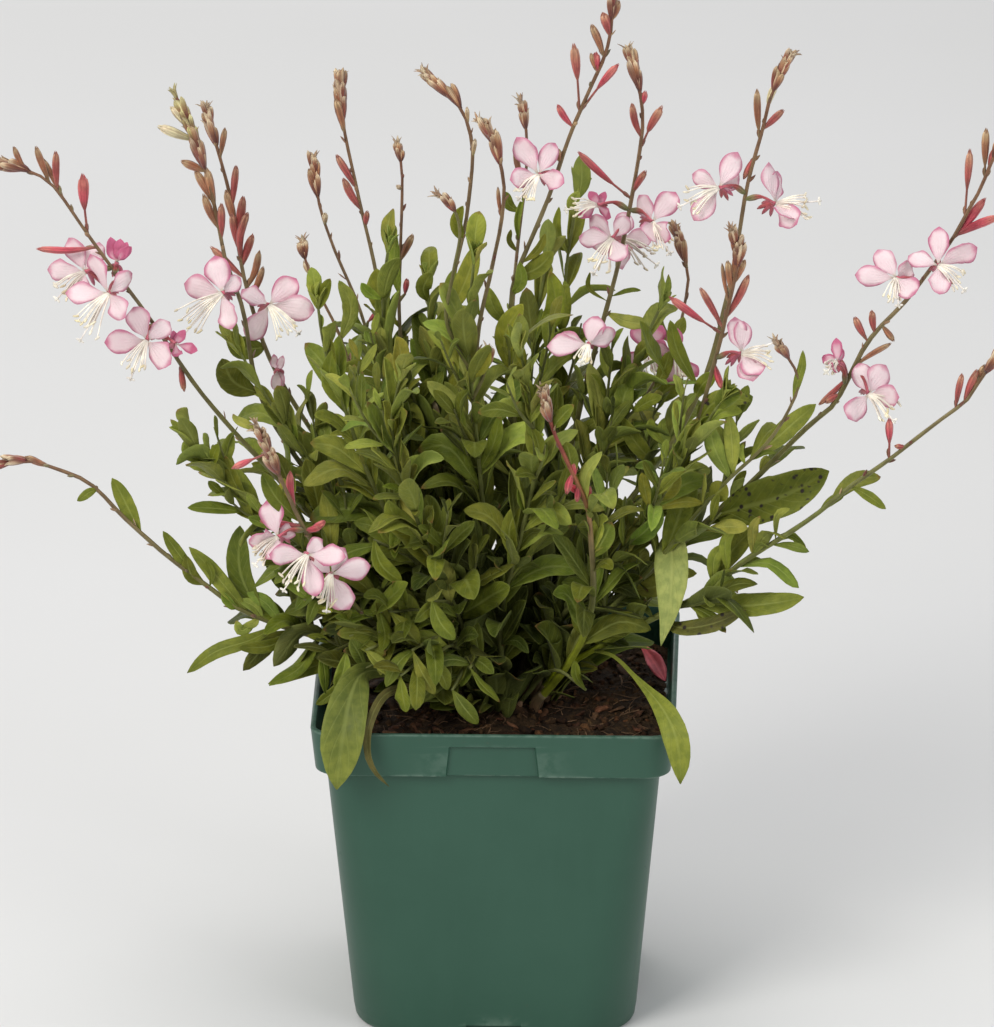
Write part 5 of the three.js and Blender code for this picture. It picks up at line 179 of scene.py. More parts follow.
# Leaves that the solid model also has: midrib points, width, facing.
LEAVES = {
    "root_crown": [
        {"pts": [[-14, -14, 112], [-31, -32, 132.5], [-45.5, -48, 141.5], [-50.6, -62, 138.6], [-53.2, -71.2, 127], [-54.6, -73.6, 116], [-55.6, -73.4, 105.8]], "w": 16.6, "n": [0, -0.944, 0.33], "own": 1, "late": 1},
        {"pts": [[-8, -18.5, 112], [-24, -38, 130.5], [-37.5, -57, 137], [-43.6, -68.5, 130.5], [-44.6, -71.5, 120], [-42, -72, 112.5], [-36.8, -71.6, 106.4]], "w": 3.6, "n": [0, -0.944, 0.33], "own": 1, "late": 0},
        {"pts": [[18, 6.96, 112], [38.8, 15.01, 128.49], [56.69, 21.93, 126.25]], "w": 12.39, "n": [-0.268, -0.104, 0.958]},
        {"pts": [[14.97, 12.19, 112], [29.35, 23.9, 126.39], [41.72, 33.97, 122.39]], "w": 10.3, "n": [-0.223, -0.181, 0.958]},
        {"pts": [[7.59, 17.75, 112], [15.17, 35.46, 126.79], [21.68, 50.69, 120.22]], "w": 10.7, "n": [-0.113, -0.264, 0.958]},
        {"pts": [[-1.53, 19.24, 112], [-3.32, 41.81, 128.68], [-4.86, 61.22, 123.61]], "w": 12.58, "n": [0.023, -0.286, 0.958]},
        {"pts": [[-10.29, 16.33, 112], [-20.53, 32.57, 126.75], [-29.34, 46.54, 123.24]], "w": 10.67, "n": [0.153, -0.243, 0.958]},
        {"pts": [[-16.7, 9.67, 112], [-33.11, 19.18, 126.62], [-47.22, 27.35, 120.27]], "w": 10.54, "n": [0.249, -0.144, 0.958]},
        {"pts": [[-19.28, 0.8, 112], [-41.85, 1.74, 128.65], [-61.25, 2.55, 123.24]], "w": 12.55, "n": [0.287, -0.012, 0.958]},
        {"pts": [[-17.45, -8.25, 112], [-38.23, -18.07, 128.87], [-56.09, -26.52, 123.95]], "w": 12.77, "n": [0.26, 0.123, 0.958]},
        {"pts": [[-11.62, -15.41, 112], [-22.3, -29.59, 125.94], [-31.48, -41.78, 124.05]], "w": 9.86, "n": [0.173, 0.229, 0.958]},
        {"pts": [[16.07, 10.68, 112], [30.79, 20.47, 125.9], [43.45, 28.88, 123.51]], "w": 9.82, "n": [-0.239, -0.159, 0.958]},
        {"pts": [[16.33, 10.29, 112], [35.01, 22.07, 128.37], [51.07, 32.2, 126.16]], "w": 12.27, "n": [-0.243, -0.153, 0.958]},
    ],
    "flower_stem_01": [
        {"pts": [[-37.26, 0.14, 154.39], [-49.74, 9.2, 157.99], [-62.22, 18.25, 152.8]], "w": 8.97, "n": [0.239, -0.376, 0.895]},
        {"pts": [[-59.22, -2.61, 176.34], [-65.28, -13.66, 185.46], [-71.34, -24.7, 185.55]], "w": 8.29, "n": [-0.055, 0.557, 0.829]},
        {"pts": [[-79.77, -5.37, 199.6], [-90.37, 4.91, 209.31], [-100.97, 15.19, 205.47]], "w": 9.28, "n": [0.177, -0.49, 0.854]},
    ],
    "flower_stem_02": [
        {"pts": [[-22.56, 11.4, 128.56], [-19.15, 16.61, 148.54], [-15.73, 21.83, 157.53]], "w": 10.56, "n": [-0.901, -0.125, 0.416]},
        {"pts": [[-47.38, 14.95, 164.1], [-61.92, 18.92, 165.56], [-76.45, 22.89, 156.97]], "w": 8.76, "n": [-0.04, -0.084, 0.996]},
        {"pts": [[-73.2, 18.49, 198.89], [-70.46, 22.22, 217.18], [-67.72, 25.94, 221.75]], "w": 8.94, "n": [-0.917, -0.087, 0.39]},
    ],
    "flower_stem_03": [
        {"pts": [[-40.63, 23.52, 159.72], [-45.15, 39.13, 165.2], [-49.68, 54.73, 160.96]], "w": 9.57, "n": [-0.003, -0.494, 0.869]},
        {"pts": [[-62.4, 31.96, 193.39], [-62.22, 21.89, 208.54], [-62.03, 11.83, 214.88]], "w": 9.47, "n": [-0.629, 0.656, 0.418]},
    ],
    "flower_stem_04": [
        {"pts": [[-26.81, 28, 158.98], [-39.59, 22.56, 171.11], [-52.36, 17.11, 173.36]], "w": 9.77, "n": [0.128, 0.634, 0.762]},
        {"pts": [[-34.93, 37.94, 192.67], [-49.74, 35.13, 202.52], [-64.54, 32.32, 200.78]], "w": 9.59, "n": [0.416, 0.423, 0.805]},
        {"pts": [[-40.63, 47.86, 227.06], [-31.86, 48.4, 241.34], [-23.08, 48.95, 245.73]], "w": 8.48, "n": [-0.683, 0.339, 0.646]},
    ],
    "flower_stem_05": [
        {"pts": [[-35.17, 43.06, 170.84], [-32.24, 54.96, 181.43], [-29.31, 66.85, 179.13]], "w": 8.25, "n": [-0.471, -0.14, 0.871]},
        {"pts": [[-46.11, 63.89, 216.62], [-55.8, 63.05, 225.93], [-65.49, 62.2, 225.75]], "w": 6.89, "n": [0.32, 0.6, 0.733]},
    ],
    "flower_stem_06": [
        {"pts": [[-18.57, 9.38, 128.4], [-16.83, 6.65, 141.93], [-15.09, 3.91, 149.35]], "w": 7.17, "n": [-0.863, 0.332, 0.381]},
        {"pts": [[-34.83, 13.08, 159.92], [-32.61, 1.16, 176.61], [-30.39, -10.76, 177.99]], "w": 10.18, "n": [-0.571, 0.588, 0.574]},
        {"pts": [[-44.62, 16.82, 193.99], [-35.41, 13.31, 207.28], [-26.2, 9.79, 209.3]], "w": 8.29, "n": [-0.719, 0.29, 0.632]},
        {"pts": [[-53.3, 20.47, 228.47], [-52.82, 31.1, 236.09], [-52.34, 41.73, 237.13]], "w": 7.06, "n": [-0.385, -0.481, 0.788]},
    ],
    "flower_stem_07": [
        {"pts": [[-8.27, 20.77, 128.84], [-4.37, 30.69, 143.75], [-0.48, 40.62, 148.43]], "w": 9.41, "n": [-0.797, -0.232, 0.558]},
        {"pts": [[-21.75, 27.02, 160.06], [-24.9, 38.48, 170.33], [-28.05, 49.94, 169.76]], "w": 8.13, "n": [-0.248, -0.424, 0.871]},
        {"pts": [[-30, 33.25, 193.11], [-25.96, 44.37, 201.42], [-21.91, 55.49, 200.76]], "w": 7.68, "n": [-0.417, -0.365, 0.832]},
        {"pts": [[-34.82, 39.49, 226.91], [-45.08, 38.39, 234.51], [-55.34, 37.3, 235.77]], "w": 6.9, "n": [0.473, 0.283, 0.834]},
    ],
    "flower_stem_08": [
        {"pts": [[-3.09, 17.44, 129.73], [-0.07, 26.76, 139.48], [2.95, 36.08, 141.01]], "w": 7.19, "n": [-0.599, -0.293, 0.745]},
        {"pts": [[-12.13, 25.43, 164.26], [-24.01, 25.19, 177.94], [-35.9, 24.96, 180.58]], "w": 9.31, "n": [0.396, 0.352, 0.848]},
        {"pts": [[-16.32, 33.39, 199.73], [-5.48, 33.35, 210.78], [5.37, 33.3, 210.44]], "w": 7.84, "n": [-0.633, 0.255, 0.731]},
        {"pts": [[-17.61, 41.32, 235.49], [-22.31, 51.02, 242.73], [-27.01, 60.72, 242.62]], "w": 6.97, "n": [0.259, -0.321, 0.911]},
    ],
    "flower_stem_09": [
        {"pts": [[0.78, 7.6, 130.61], [3.36, 18.48, 147.86], [5.94, 29.37, 151.69]], "w": 10.28, "n": [-0.406, -0.546, 0.733]},
        {"pts": [[-4.55, 6.75, 161.67], [-16.9, 2.19, 174.2], [-29.26, -2.37, 172.34]], "w": 9.17, "n": [0.426, 0.186, 0.885]},
        {"pts": [[-7.49, 5.91, 193.04], [0.82, 2.93, 204.75], [9.13, -0.04, 208.14]], "w": 7.53, "n": [-0.596, 0.153, 0.788]},
        {"pts": [[-8.07, 5.06, 224.54], [-12.07, 13.3, 235.44], [-16.08, 21.55, 238.79]], "w": 7.42, "n": [0.266, -0.545, 0.795]},
    ],
    "flower_stem_10": [
        {"pts": [[6.94, 31.78, 157.49], [15.54, 43.24, 166.13], [24.13, 54.69, 166.65]], "w": 9.12, "n": [-0.474, -0.014, 0.881]},
        {"pts": [[4.8, 44.6, 185.4], [-8.11, 47.14, 198.13], [-21.02, 49.68, 196.9]], "w": 9.27, "n": [0.499, 0.428, 0.754]},
        {"pts": [[3.48, 57.41, 213.35], [14, 61.71, 223.4], [24.53, 66, 222.21]], "w": 7.77, "n": [-0.585, 0.289, 0.758]},
        {"pts": [[4.26, 70.19, 241.36], [8.91, 83.46, 246.06], [13.56, 96.74, 241.32]], "w": 8.26, "n": [-0.171, -0.152, 0.973]},
    ],
    "flower_stem_11": [
        {"pts": [[9.84, 5.95, 130.89], [12.83, -9.24, 145.2], [15.83, -24.44, 145.73]], "w": 10.92, "n": [0.005, 0.619, 0.785]},
        {"pts": [[9.56, 9, 186.17], [10.39, -3.66, 201.6], [11.22, -16.33, 202.56]], "w": 9.99, "n": [-0.197, 0.615, 0.763]},
        {"pts": [[4.71, 12.06, 241.34], [15.97, 11.16, 253.83], [27.23, 10.25, 257.49]], "w": 8.82, "n": [-0.563, 0.119, 0.818]},
    ],
    "flower_stem_12": [
        {"pts": [[16.68, 13.27, 130.61], [23.91, 25.53, 140.15], [31.15, 37.79, 137.58]], "w": 9.04, "n": [-0.259, -0.306, 0.916]},
        {"pts": [[21.66, 22.83, 174.17], [12.98, 16.36, 187.69], [4.3, 9.89, 193.91]], "w": 9.21, "n": [0.579, 0.524, 0.625]},
        {"pts": [[30.45, 32.37, 217.15], [40.31, 31.26, 228.28], [50.17, 30.15, 231.38]], "w": 7.78, "n": [-0.344, 0.411, 0.844]},
    ],
    "flower_stem_13": [
        {"pts": [[16.7, 7.7, 130.38], [17.22, -2.79, 143], [17.75, -13.27, 147.98]], "w": 8.66, "n": [0.266, 0.671, 0.692]},
        {"pts": [[35.29, 13.1, 167.91], [47.48, 7.65, 173.36], [59.66, 2.2, 170.59]], "w": 7.97, "n": [0.046, 0.463, 0.885]},
        {"pts": [[60.3, 18.59, 202.26], [67.72, 30.95, 212.25], [75.13, 43.31, 210.97]], "w": 9.3, "n": [0.302, -0.455, 0.838]},
    ],
    "flower_stem_14": [
        {"pts": [[71.5, -12.9, 222.9], [77.6, -15.9, 233.2], [84.1, -17.9, 236.3], [91.6, -18.9, 235.6]], "w": 7.9, "n": [0.1, -0.75, 0.66], "own": 1, "late": 0},
        {"pts": [[23.14, -0.87, 130.18], [32.55, 0.3, 136.72], [41.96, 1.48, 138.16]], "w": 6.27, "n": [-0.311, -0.24, 0.92]},
        {"pts": [[38.52, -5.02, 163.64], [45.44, -17.82, 169.72], [52.36, -30.63, 164.5]], "w": 8.63, "n": [0.24, 0.45, 0.86]},
        {"pts": [[58.25, -9.36, 194.91], [67.63, -2, 202.12], [77.02, 5.37, 201.97]], "w": 7.57, "n": [0.034, -0.558, 0.829]},
    ],
    "flower_stem_15": [
        {"pts": [[24.51, 36.78, 164.53], [39.44, 39.25, 169.34], [54.37, 41.71, 165.18]], "w": 8.89, "n": [-0.252, 0.382, 0.889]},
        {"pts": [[44.58, 53.31, 195.77], [43.75, 65.28, 202.6], [42.92, 77.25, 199.68]], "w": 7.39, "n": [0.252, -0.462, 0.85]},
    ],
    "flower_stem_16": [
        {"pts": [[68.9, 6.9, 172.8], [64.7, 0.9, 172.3], [62, -3.1, 156.4], [59.9, -3.1, 135]], "w": 11.9, "n": [0, -0.944, 0.33], "own": 1, "late": 0},
        {"pts": [[79.1, 7.1, 182.3], [87.8, 2.1, 186.4], [104, -1.9, 193.1], [119.8, -2.9, 202.9]], "w": 17.3, "n": [0.1, -0.75, 0.66], "own": 1, "late": 0},
        {"pts": [[25.26, 5.87, 128.94], [32.82, 20.43, 141.1], [40.39, 35, 142.13]], "w": 10.92, "n": [0.314, -0.56, 0.766]},
        {"pts": [[59.82, 6.69, 163.89], [73.47, 8.26, 163.76], [87.12, 9.83, 151.37]], "w": 8.19, "n": [-0.3, -0.053, 0.952]},
        {"pts": [[95.76, 7.5, 198.82], [102.83, 18.6, 204.13], [109.89, 29.71, 199.5]], "w": 7.79, "n": [-0.091, -0.501, 0.86]},
    ],
    "flower_stem_17": [
        {"pts": [[33.4, -9.6, 138.8], [43, -24, 138.5], [51.5, -41, 136.6], [60, -59, 134], [65.2, -69.5, 128.2], [67.4, -72.2, 118.5], [67.6, -72.4, 108.8]], "w": 10, "n": [0.86, -0.5, 0.3], "own": 1, "late": 1},
        {"pts": [[71, -20.1, 159.5], [86.4, -26.1, 159.4], [100.8, -29.1, 161.9], [111.2, -28.1, 163.9]], "w": 9.4, "n": [0.1, -0.75, 0.66], "own": 1, "late": 0},
        {"pts": [[57.6, -17.3, 151.3], [66.6, -26.3, 150.8], [78.2, -31.3, 154.4], [90.4, -33.3, 160.7]], "w": 6.5, "n": [0.1, -0.75, 0.66], "own": 1, "late": 0},
        {"pts": [[127.1, -33.4, 208.3], [131.7, -35.4, 207.3], [136, -36.4, 204.7], [140.3, -37.4, 201.7]], "w": 4, "n": [0.1, -0.75, 0.66], "own": 1, "late": 0},
        {"pts": [[25.7, -10.14, 126.56], [24.06, -16.25, 145.35], [22.42, -22.36, 151.3]], "w": 9.68, "n": [0.62, 0.286, 0.731]},
        {"pts": [[73.95, -20.91, 162.99], [83.69, -31.54, 164.55], [93.43, -42.17, 158.14]], "w": 8.36, "n": [-0.096, 0.378, 0.921]},
        {"pts": [[120.44, -31.73, 202.07], [129.4, -25.84, 207.9], [138.35, -19.94, 207.14]], "w": 6.66, "n": [-0.192, -0.485, 0.854]},
    ],
    "flower_stem_18": [
        {"pts": [[-78.7, -21.9, 148.8], [-88.4, -27.9, 145.1], [-100.9, -29.9, 141.2], [-111.1, -29.9, 132.9]], "w": 5.8, "n": [0.1, -0.75, 0.66], "own": 1, "late": 0},
        {"pts": [[-54.9, -16.3, 140.2], [-61.5, -24.3, 135.5], [-71.1, -28.3, 133.1], [-81.9, -30.3, 129.1]], "w": 5.8, "n": [0.1, -0.75, 0.66], "own": 1, "late": 0},
        {"pts": [[-89.1, -24.4, 154.2], [-96.2, -27.4, 164.2], [-103.3, -28.4, 173.8], [-110.1, -28.4, 181.1]], "w": 6.1, "n": [0, -0.944, 0.33], "own": 1, "late": 0},
        {"pts": [[-107.1, -29.4, 169.2], [-113.2, -31.4, 178.7], [-116.7, -32.4, 184.5], [-119.2, -32.4, 188.7]], "w": 4.7, "n": [0, -0.944, 0.33], "own": 1, "late": 0},
        {"pts": [[-126.5, -35.1, 188.4], [-131.6, -33.1, 197.7], [-134.5, -32.1, 203.4], [-137.4, -31.1, 208.4]], "w": 6.1, "n": [0, -0.944, 0.33], "own": 1, "late": 0},
        {"pts": [[-142.7, -40.4, 208], [-144.6, -43.4, 207.7], [-147.1, -44.4, 206.1], [-149.2, -45.4, 204.9]], "w": 3.3, "n": [0, -0.944, 0.33], "own": 1, "late": 0},
        {"pts": [[-24.65, -8.55, 126.84], [-20.47, -18.33, 141.95], [-16.28, -28.12, 146.22]], "w": 9.42, "n": [-0.509, 0.417, 0.753]},
        {"pts": [[-74.49, -20.85, 147.56], [-86.07, -11.17, 149.79], [-97.66, -1.48, 142.82]], "w": 8.76, "n": [0.171, -0.456, 0.874]},
    ],
    "flower_stem_19": [
        {"pts": [[-19.66, -17.65, 126.68], [-18.45, -35.96, 133.63], [-17.24, -54.27, 129.89]], "w": 10.91, "n": [-0.217, 0.462, 0.86]},
        {"pts": [[-44.14, -35.58, 156.56], [-59.93, -31.83, 162.43], [-75.72, -28.08, 158.4]], "w": 9.6, "n": [0.376, -0.309, 0.873]},
    ],
    "flower_stem_20": [
        {"pts": [[21.68, -17.1, 127.78], [18.08, -22.96, 146.3], [14.47, -28.82, 154.73]], "w": 10.04, "n": [0.91, -0.182, 0.372]},
        {"pts": [[34.29, -30, 162.91], [32.21, -40.69, 172.35], [30.14, -51.38, 170.3]], "w": 7.33, "n": [0.42, 0.248, 0.873]},
        {"pts": [[33.46, -42.7, 200.55], [38.3, -52.09, 211.84], [43.14, -61.48, 211.98]], "w": 7.82, "n": [-0.665, 0.109, 0.739]},
    ],
    "flower_stem_21": [
        {"pts": [[91.9, -26.2, 216], [100.3, -22.2, 222], [108.1, -21.2, 229.3], [114.9, -21.2, 235.5]], "w": 7.6, "n": [0.1, -0.75, 0.66], "own": 1, "late": 0},
        {"pts": [[107, -31.5, 241.1], [108.4, -33.5, 249.2], [109.8, -33.5, 254.6], [110.1, -33.5, 260.6]], "w": 3.3, "n": [0, -0.944, 0.33], "own": 1, "late": 0},
        {"pts": [[57.82, -16.21, 172.56], [53.9, -15.05, 184.16], [49.98, -13.88, 186.58]], "w": 5.84, "n": [0.655, -0.197, 0.73]},
        {"pts": [[90.99, -26.04, 215.98], [98.27, -18.36, 224.96], [105.54, -10.68, 222.73]], "w": 7.07, "n": [-0.171, -0.539, 0.825]},
    ],
    "leafy_shoot_01": [
        {"pts": [[-100.8, -36.5, 213.4], [-97.7, -33.5, 215.8], [-95.6, -32.5, 220.8], [-94.1, -31.5, 226.6]], "w": 5.1, "n": [0, -0.944, 0.33], "own": 1, "late": 0},
        {"pts": [[-22.82, -5.32, 127.73], [-37.63, -0.21, 139.09], [-52.44, 4.9, 140.65]], "w": 10.42, "n": [0.218, -0.533, 0.818]},
        {"pts": [[-28.48, -9.48, 142.93], [-43, -3.35, 146.92], [-57.51, 2.78, 137.03]], "w": 9.14, "n": [0.293, -0.318, 0.902]},
        {"pts": [[-40.75, -13.82, 153.69], [-44.42, -25.52, 162.68], [-48.08, -37.21, 159.23]], "w": 7.85, "n": [-0.178, 0.532, 0.828]},
        {"pts": [[-52.84, -18.17, 164.66], [-66.36, -9.94, 169.95], [-79.88, -1.72, 161.59]], "w": 9.23, "n": [0.288, -0.386, 0.877]},
        {"pts": [[-64.52, -22.57, 176.12], [-75.69, -27.48, 175.22], [-86.86, -32.4, 168.56]], "w": 7.21, "n": [0.265, 0.131, 0.955]},
        {"pts": [[-76.12, -26.94, 187.65], [-76.4, -32.85, 201.14], [-76.67, -38.76, 205.85]], "w": 7.34, "n": [-0.589, 0.338, 0.734]},
        {"pts": [[-87.67, -31.28, 199.26], [-97.33, -25.26, 206.69], [-106.99, -19.24, 207.93]], "w": 7.41, "n": [0.215, -0.512, 0.832]},
        {"pts": [[-97.89, -35.63, 212], [-105.61, -42.03, 220.97], [-113.34, -48.43, 221.63]], "w": 7.02, "n": [0.128, 0.392, 0.911]},
        {"pts": [[-107.27, -39.81, 224.52], [-110.16, -41.91, 235.99], [-113.06, -44.01, 240.98]], "w": 6.04, "n": [-0.677, -0.103, 0.729]},
    ],
    "leafy_shoot_02": [
        {"pts": [[-63.7, 4.8, 194.5], [-57.4, -1.2, 202.4], [-52.2, -4.2, 202.1], [-45, -5.2, 196.4]], "w": 7.2, "n": [0, -0.944, 0.33], "own": 1, "late": 0},
        {"pts": [[-17.41, 0.23, 128.47], [-22.16, -13.27, 140.97], [-26.9, -26.76, 144.16]], "w": 10.14, "n": [-0.115, 0.617, 0.778]},
        {"pts": [[-22.06, 1.14, 145.01], [-19.33, 3.87, 161.71], [-16.59, 6.61, 166.14]], "w": 8.14, "n": [-0.662, -0.178, 0.728]},
        {"pts": [[-33.17, 2.11, 158.2], [-42.76, -8.77, 171.14], [-52.34, -19.64, 170.51]], "w": 10.02, "n": [0.067, 0.555, 0.829]},
        {"pts": [[-44.36, 3.09, 171.34], [-49.14, 14.73, 178.64], [-53.92, 26.37, 179]], "w": 7.96, "n": [-0.022, -0.554, 0.832]},
        {"pts": [[-55.74, 4.12, 184.37], [-66.49, 8.56, 184.8], [-77.25, 13.01, 179.33]], "w": 6.78, "n": [0.302, -0.189, 0.935]},
        {"pts": [[-65.99, 5.11, 198.23], [-65.19, -4.78, 210.24], [-64.38, -14.66, 211.72]], "w": 7.87, "n": [-0.655, 0.554, 0.514]},
        {"pts": [[-75.22, 6.07, 212.85], [-85.16, 14.12, 217.84], [-95.09, 22.17, 211.77]], "w": 7.51, "n": [-0.107, -0.375, 0.921]},
        {"pts": [[-84.12, 7.04, 227.69], [-92.03, 5.27, 237.37], [-99.94, 3.5, 238.9]], "w": 6.42, "n": [-0.009, 0.405, 0.914]},
        {"pts": [[-92.51, 7.96, 241.94], [-94.15, 7.95, 252.48], [-95.78, 7.95, 255.75]], "w": 5.1, "n": [-0.905, 0.135, 0.404]},
    ],
    "leafy_shoot_03": [
        {"pts": [[-12.79, -2.82, 128.29], [-4.21, -6.52, 142.03], [4.36, -10.22, 145.29]], "w": 8.37, "n": [-0.765, -0.039, 0.643]},
        {"pts": [[-18.54, -6.43, 146.96], [-12.03, -12.76, 161.86], [-5.53, -19.09, 168]], "w": 9.01, "n": [-0.823, 0.071, 0.564]},
        {"pts": [[-26.19, -10.08, 164.96], [-26.97, -21.9, 172.71], [-27.74, -33.71, 174.05]], "w": 7.72, "n": [-0.438, 0.415, 0.798]},
        {"pts": [[-35.01, -13.74, 182.41], [-35.65, -5.55, 194.92], [-36.29, 2.64, 200.34]], "w": 7.8, "n": [-0.537, -0.671, 0.511]},
        {"pts": [[-43.19, -17.39, 200.13], [-56.1, -21.53, 208.81], [-69, -25.67, 204.38]], "w": 8.43, "n": [0.262, -0.023, 0.965]},
        {"pts": [[-49.66, -21.04, 218.59], [-43.37, -24.31, 228.73], [-37.07, -27.58, 231.84]], "w": 6.33, "n": [-0.806, -0.012, 0.592]},
        {"pts": [[-55.33, -24.69, 237.31], [-61.99, -18.44, 248.15], [-68.64, -12.18, 252.82]], "w": 7.53, "n": [0.032, -0.668, 0.743]},
        {"pts": [[-59.86, -28.35, 256.3], [-59.55, -33.22, 267.46], [-59.24, -38.1, 271.13]], "w": 6.04, "n": [-0.436, 0.344, 0.831]},
        {"pts": [[-62.96, -31.84, 274.76], [-64.25, -30.44, 285.12], [-65.53, -29.03, 288.49]], "w": 5.07, "n": [-0.143, -0.72, 0.679]},
    ],
    "leafy_shoot_04": [
        {"pts": [[-9.42, 8.1, 128.31], [-8.2, 1.86, 140.22], [-6.98, -4.38, 142.39]], "w": 6.56, "n": [-0.441, 0.643, 0.626]},
        {"pts": [[-14.46, 11.07, 146.35], [-8.85, 14.08, 157.06], [-3.25, 17.08, 159.75]], "w": 6.21, "n": [-0.766, -0.009, 0.643]},
        {"pts": [[-20.46, 14.05, 164.08], [-8.78, 14.71, 180.38], [2.89, 15.36, 183.91]], "w": 10.12, "n": [-0.806, 0.154, 0.571]},
        {"pts": [[-26.32, 17.02, 181.86], [-18.43, 22.07, 193.46], [-10.54, 27.11, 196.92]], "w": 7.72, "n": [-0.763, -0.076, 0.642]},
        {"pts": [[-31.76, 20, 199.78], [-41.8, 28.48, 210.18], [-51.84, 36.96, 209.24]], "w": 8.76, "n": [0.16, -0.259, 0.953]},
        {"pts": [[-36.37, 23, 217.89], [-31.32, 30.1, 227.77], [-26.27, 37.21, 228.18]], "w": 6.63, "n": [-0.591, -0.262, 0.763]},
        {"pts": [[-40.14, 26.02, 236.2], [-51.42, 29.59, 244.09], [-62.71, 33.15, 243.37]], "w": 7.6, "n": [0.389, 0.002, 0.921]},
        {"pts": [[-40.71, 29.02, 254.8], [-38.33, 27.39, 268.41], [-35.95, 25.77, 273.07]], "w": 6.75, "n": [-0.283, 0.618, 0.733]},
        {"pts": [[-40.22, 31.87, 272.68], [-39.46, 36.38, 282.38], [-38.69, 40.89, 286.28]], "w": 5.44, "n": [-0.073, -0.438, 0.896]},
    ],
    "leafy_shoot_05": [
        {"pts": [[-7.76, 16.77, 144], [-0.5, 14.81, 163.38], [6.77, 12.86, 170.29]], "w": 10.32, "n": [-0.68, 0.431, 0.594]},
        {"pts": [[-11.5, 20.62, 159.8], [-10.55, 11.03, 171.29], [-9.61, 1.43, 175.45]], "w": 7.88, "n": [-0.302, 0.733, 0.609]},
        {"pts": [[-15.18, 24.49, 175.61], [-8.54, 25.47, 188.82], [-1.89, 26.45, 191.32]], "w": 7.18, "n": [-0.733, 0.259, 0.629]},
        {"pts": [[-18.74, 28.39, 191.44], [-24.5, 22.07, 204.71], [-30.25, 15.74, 206.79]], "w": 7.78, "n": [0.055, 0.719, 0.693]},
        {"pts": [[-21.67, 32.29, 207.39], [-26.89, 43.91, 215.49], [-32.11, 55.52, 215.18]], "w": 8.14, "n": [0.098, -0.326, 0.94]},
        {"pts": [[-24.05, 36.21, 223.43], [-19.96, 31.27, 237.04], [-15.87, 26.34, 240.31]], "w": 7.34, "n": [-0.456, 0.635, 0.624]},
        {"pts": [[-25.3, 40.1, 239.6], [-22.82, 40.4, 251.53], [-20.34, 40.7, 257.44]], "w": 6.18, "n": [-0.518, 0.51, 0.687]},
        {"pts": [[-26.16, 43.83, 255.08], [-26.23, 49.45, 265.85], [-26.31, 55.08, 268.02]], "w": 5.92, "n": [-0.118, -0.372, 0.921]},
    ],
    "leafy_shoot_06": [
        {"pts": [[0.58, -0.22, 128.87], [6.92, -9.4, 140.46], [13.26, -18.57, 142.12]], "w": 8.31, "n": [-0.463, 0.368, 0.806]},
        {"pts": [[-1.36, -1.95, 148.47], [-0.54, -13.9, 162.45], [0.29, -25.86, 164.17]], "w": 9.35, "n": [-0.172, 0.501, 0.848]},
        {"pts": [[-3.15, -3.67, 168.09], [8.11, -6.09, 184.68], [19.38, -8.51, 188.19]], "w": 10.15, "n": [-0.65, -0.008, 0.76]},
        {"pts": [[-4.78, -5.39, 187.72], [-16.03, -7.36, 199.13], [-27.28, -9.32, 199.53]], "w": 8.27, "n": [0.51, -0.009, 0.86]},
        {"pts": [[-6.39, -7.11, 207.35], [-6.75, -19.54, 219.46], [-7.12, -31.97, 218.87]], "w": 8.83, "n": [-0.091, 0.508, 0.857]},
        {"pts": [[-8.04, -8.83, 226.98], [-0.15, -1.97, 238.18], [7.73, 4.89, 237.65]], "w": 7.68, "n": [-0.501, -0.452, 0.738]},
        {"pts": [[-9.38, -10.55, 246.63], [-17.92, -10.54, 257.37], [-26.47, -10.53, 260.48]], "w": 7.09, "n": [0.523, -0.131, 0.842]},
        {"pts": [[-9.42, -12.28, 266.27], [-5.21, -15.98, 279.52], [-1.01, -19.67, 285.59]], "w": 7.35, "n": [-0.387, 0.292, 0.875]},
        {"pts": [[-7.97, -13.93, 285.05], [-6.99, -10.91, 298.56], [-6.02, -7.9, 303.3]], "w": 6.76, "n": [0.043, -0.65, 0.759]},
    ],
    "leafy_shoot_07": [
        {"pts": [[8.01, 21.09, 144.14], [20.68, 26.4, 158.54], [33.36, 31.72, 158.38]], "w": 10.06, "n": [-0.569, 0.257, 0.781]},
        {"pts": [[8.24, 27.49, 160.34], [-1.78, 32.16, 171.14], [-11.79, 36.83, 171.95]], "w": 7.97, "n": [0.587, 0.226, 0.778]},
        {"pts": [[8.69, 33.91, 176.54], [14.31, 27.55, 191.46], [19.94, 21.2, 197.35]], "w": 8.79, "n": [-0.203, 0.793, 0.575]},
        {"pts": [[9.71, 40.34, 192.71], [-1.87, 38.77, 204.47], [-13.45, 37.2, 206.14]], "w": 8.6, "n": [0.586, 0.49, 0.645]},
        {"pts": [[10.71, 46.76, 208.88], [2.72, 47.84, 221.42], [-5.26, 48.91, 226.06]], "w": 7.66, "n": [0.595, 0.46, 0.659]},
        {"pts": [[11.67, 53.18, 225.06], [22.87, 54.42, 233.6], [34.07, 55.65, 232.4]], "w": 7.4, "n": [-0.532, 0.364, 0.764]},
        {"pts": [[13.89, 59.59, 241.1], [14.61, 67.6, 253.11], [15.33, 75.6, 254.01]], "w": 7.04, "n": [0.26, -0.232, 0.937]},
        {"pts": [[16.39, 65.72, 256.4], [16.67, 66.23, 268.06], [16.95, 66.75, 273.44]], "w": 5.82, "n": [0.312, 0.798, 0.516]},
    ],
    "leafy_shoot_08": [
        {"pts": [[13.88, 29.56, 146.01], [18.51, 44.07, 152.75], [23.14, 58.58, 145.94]], "w": 9.02, "n": [-0.049, -0.191, 0.98]},
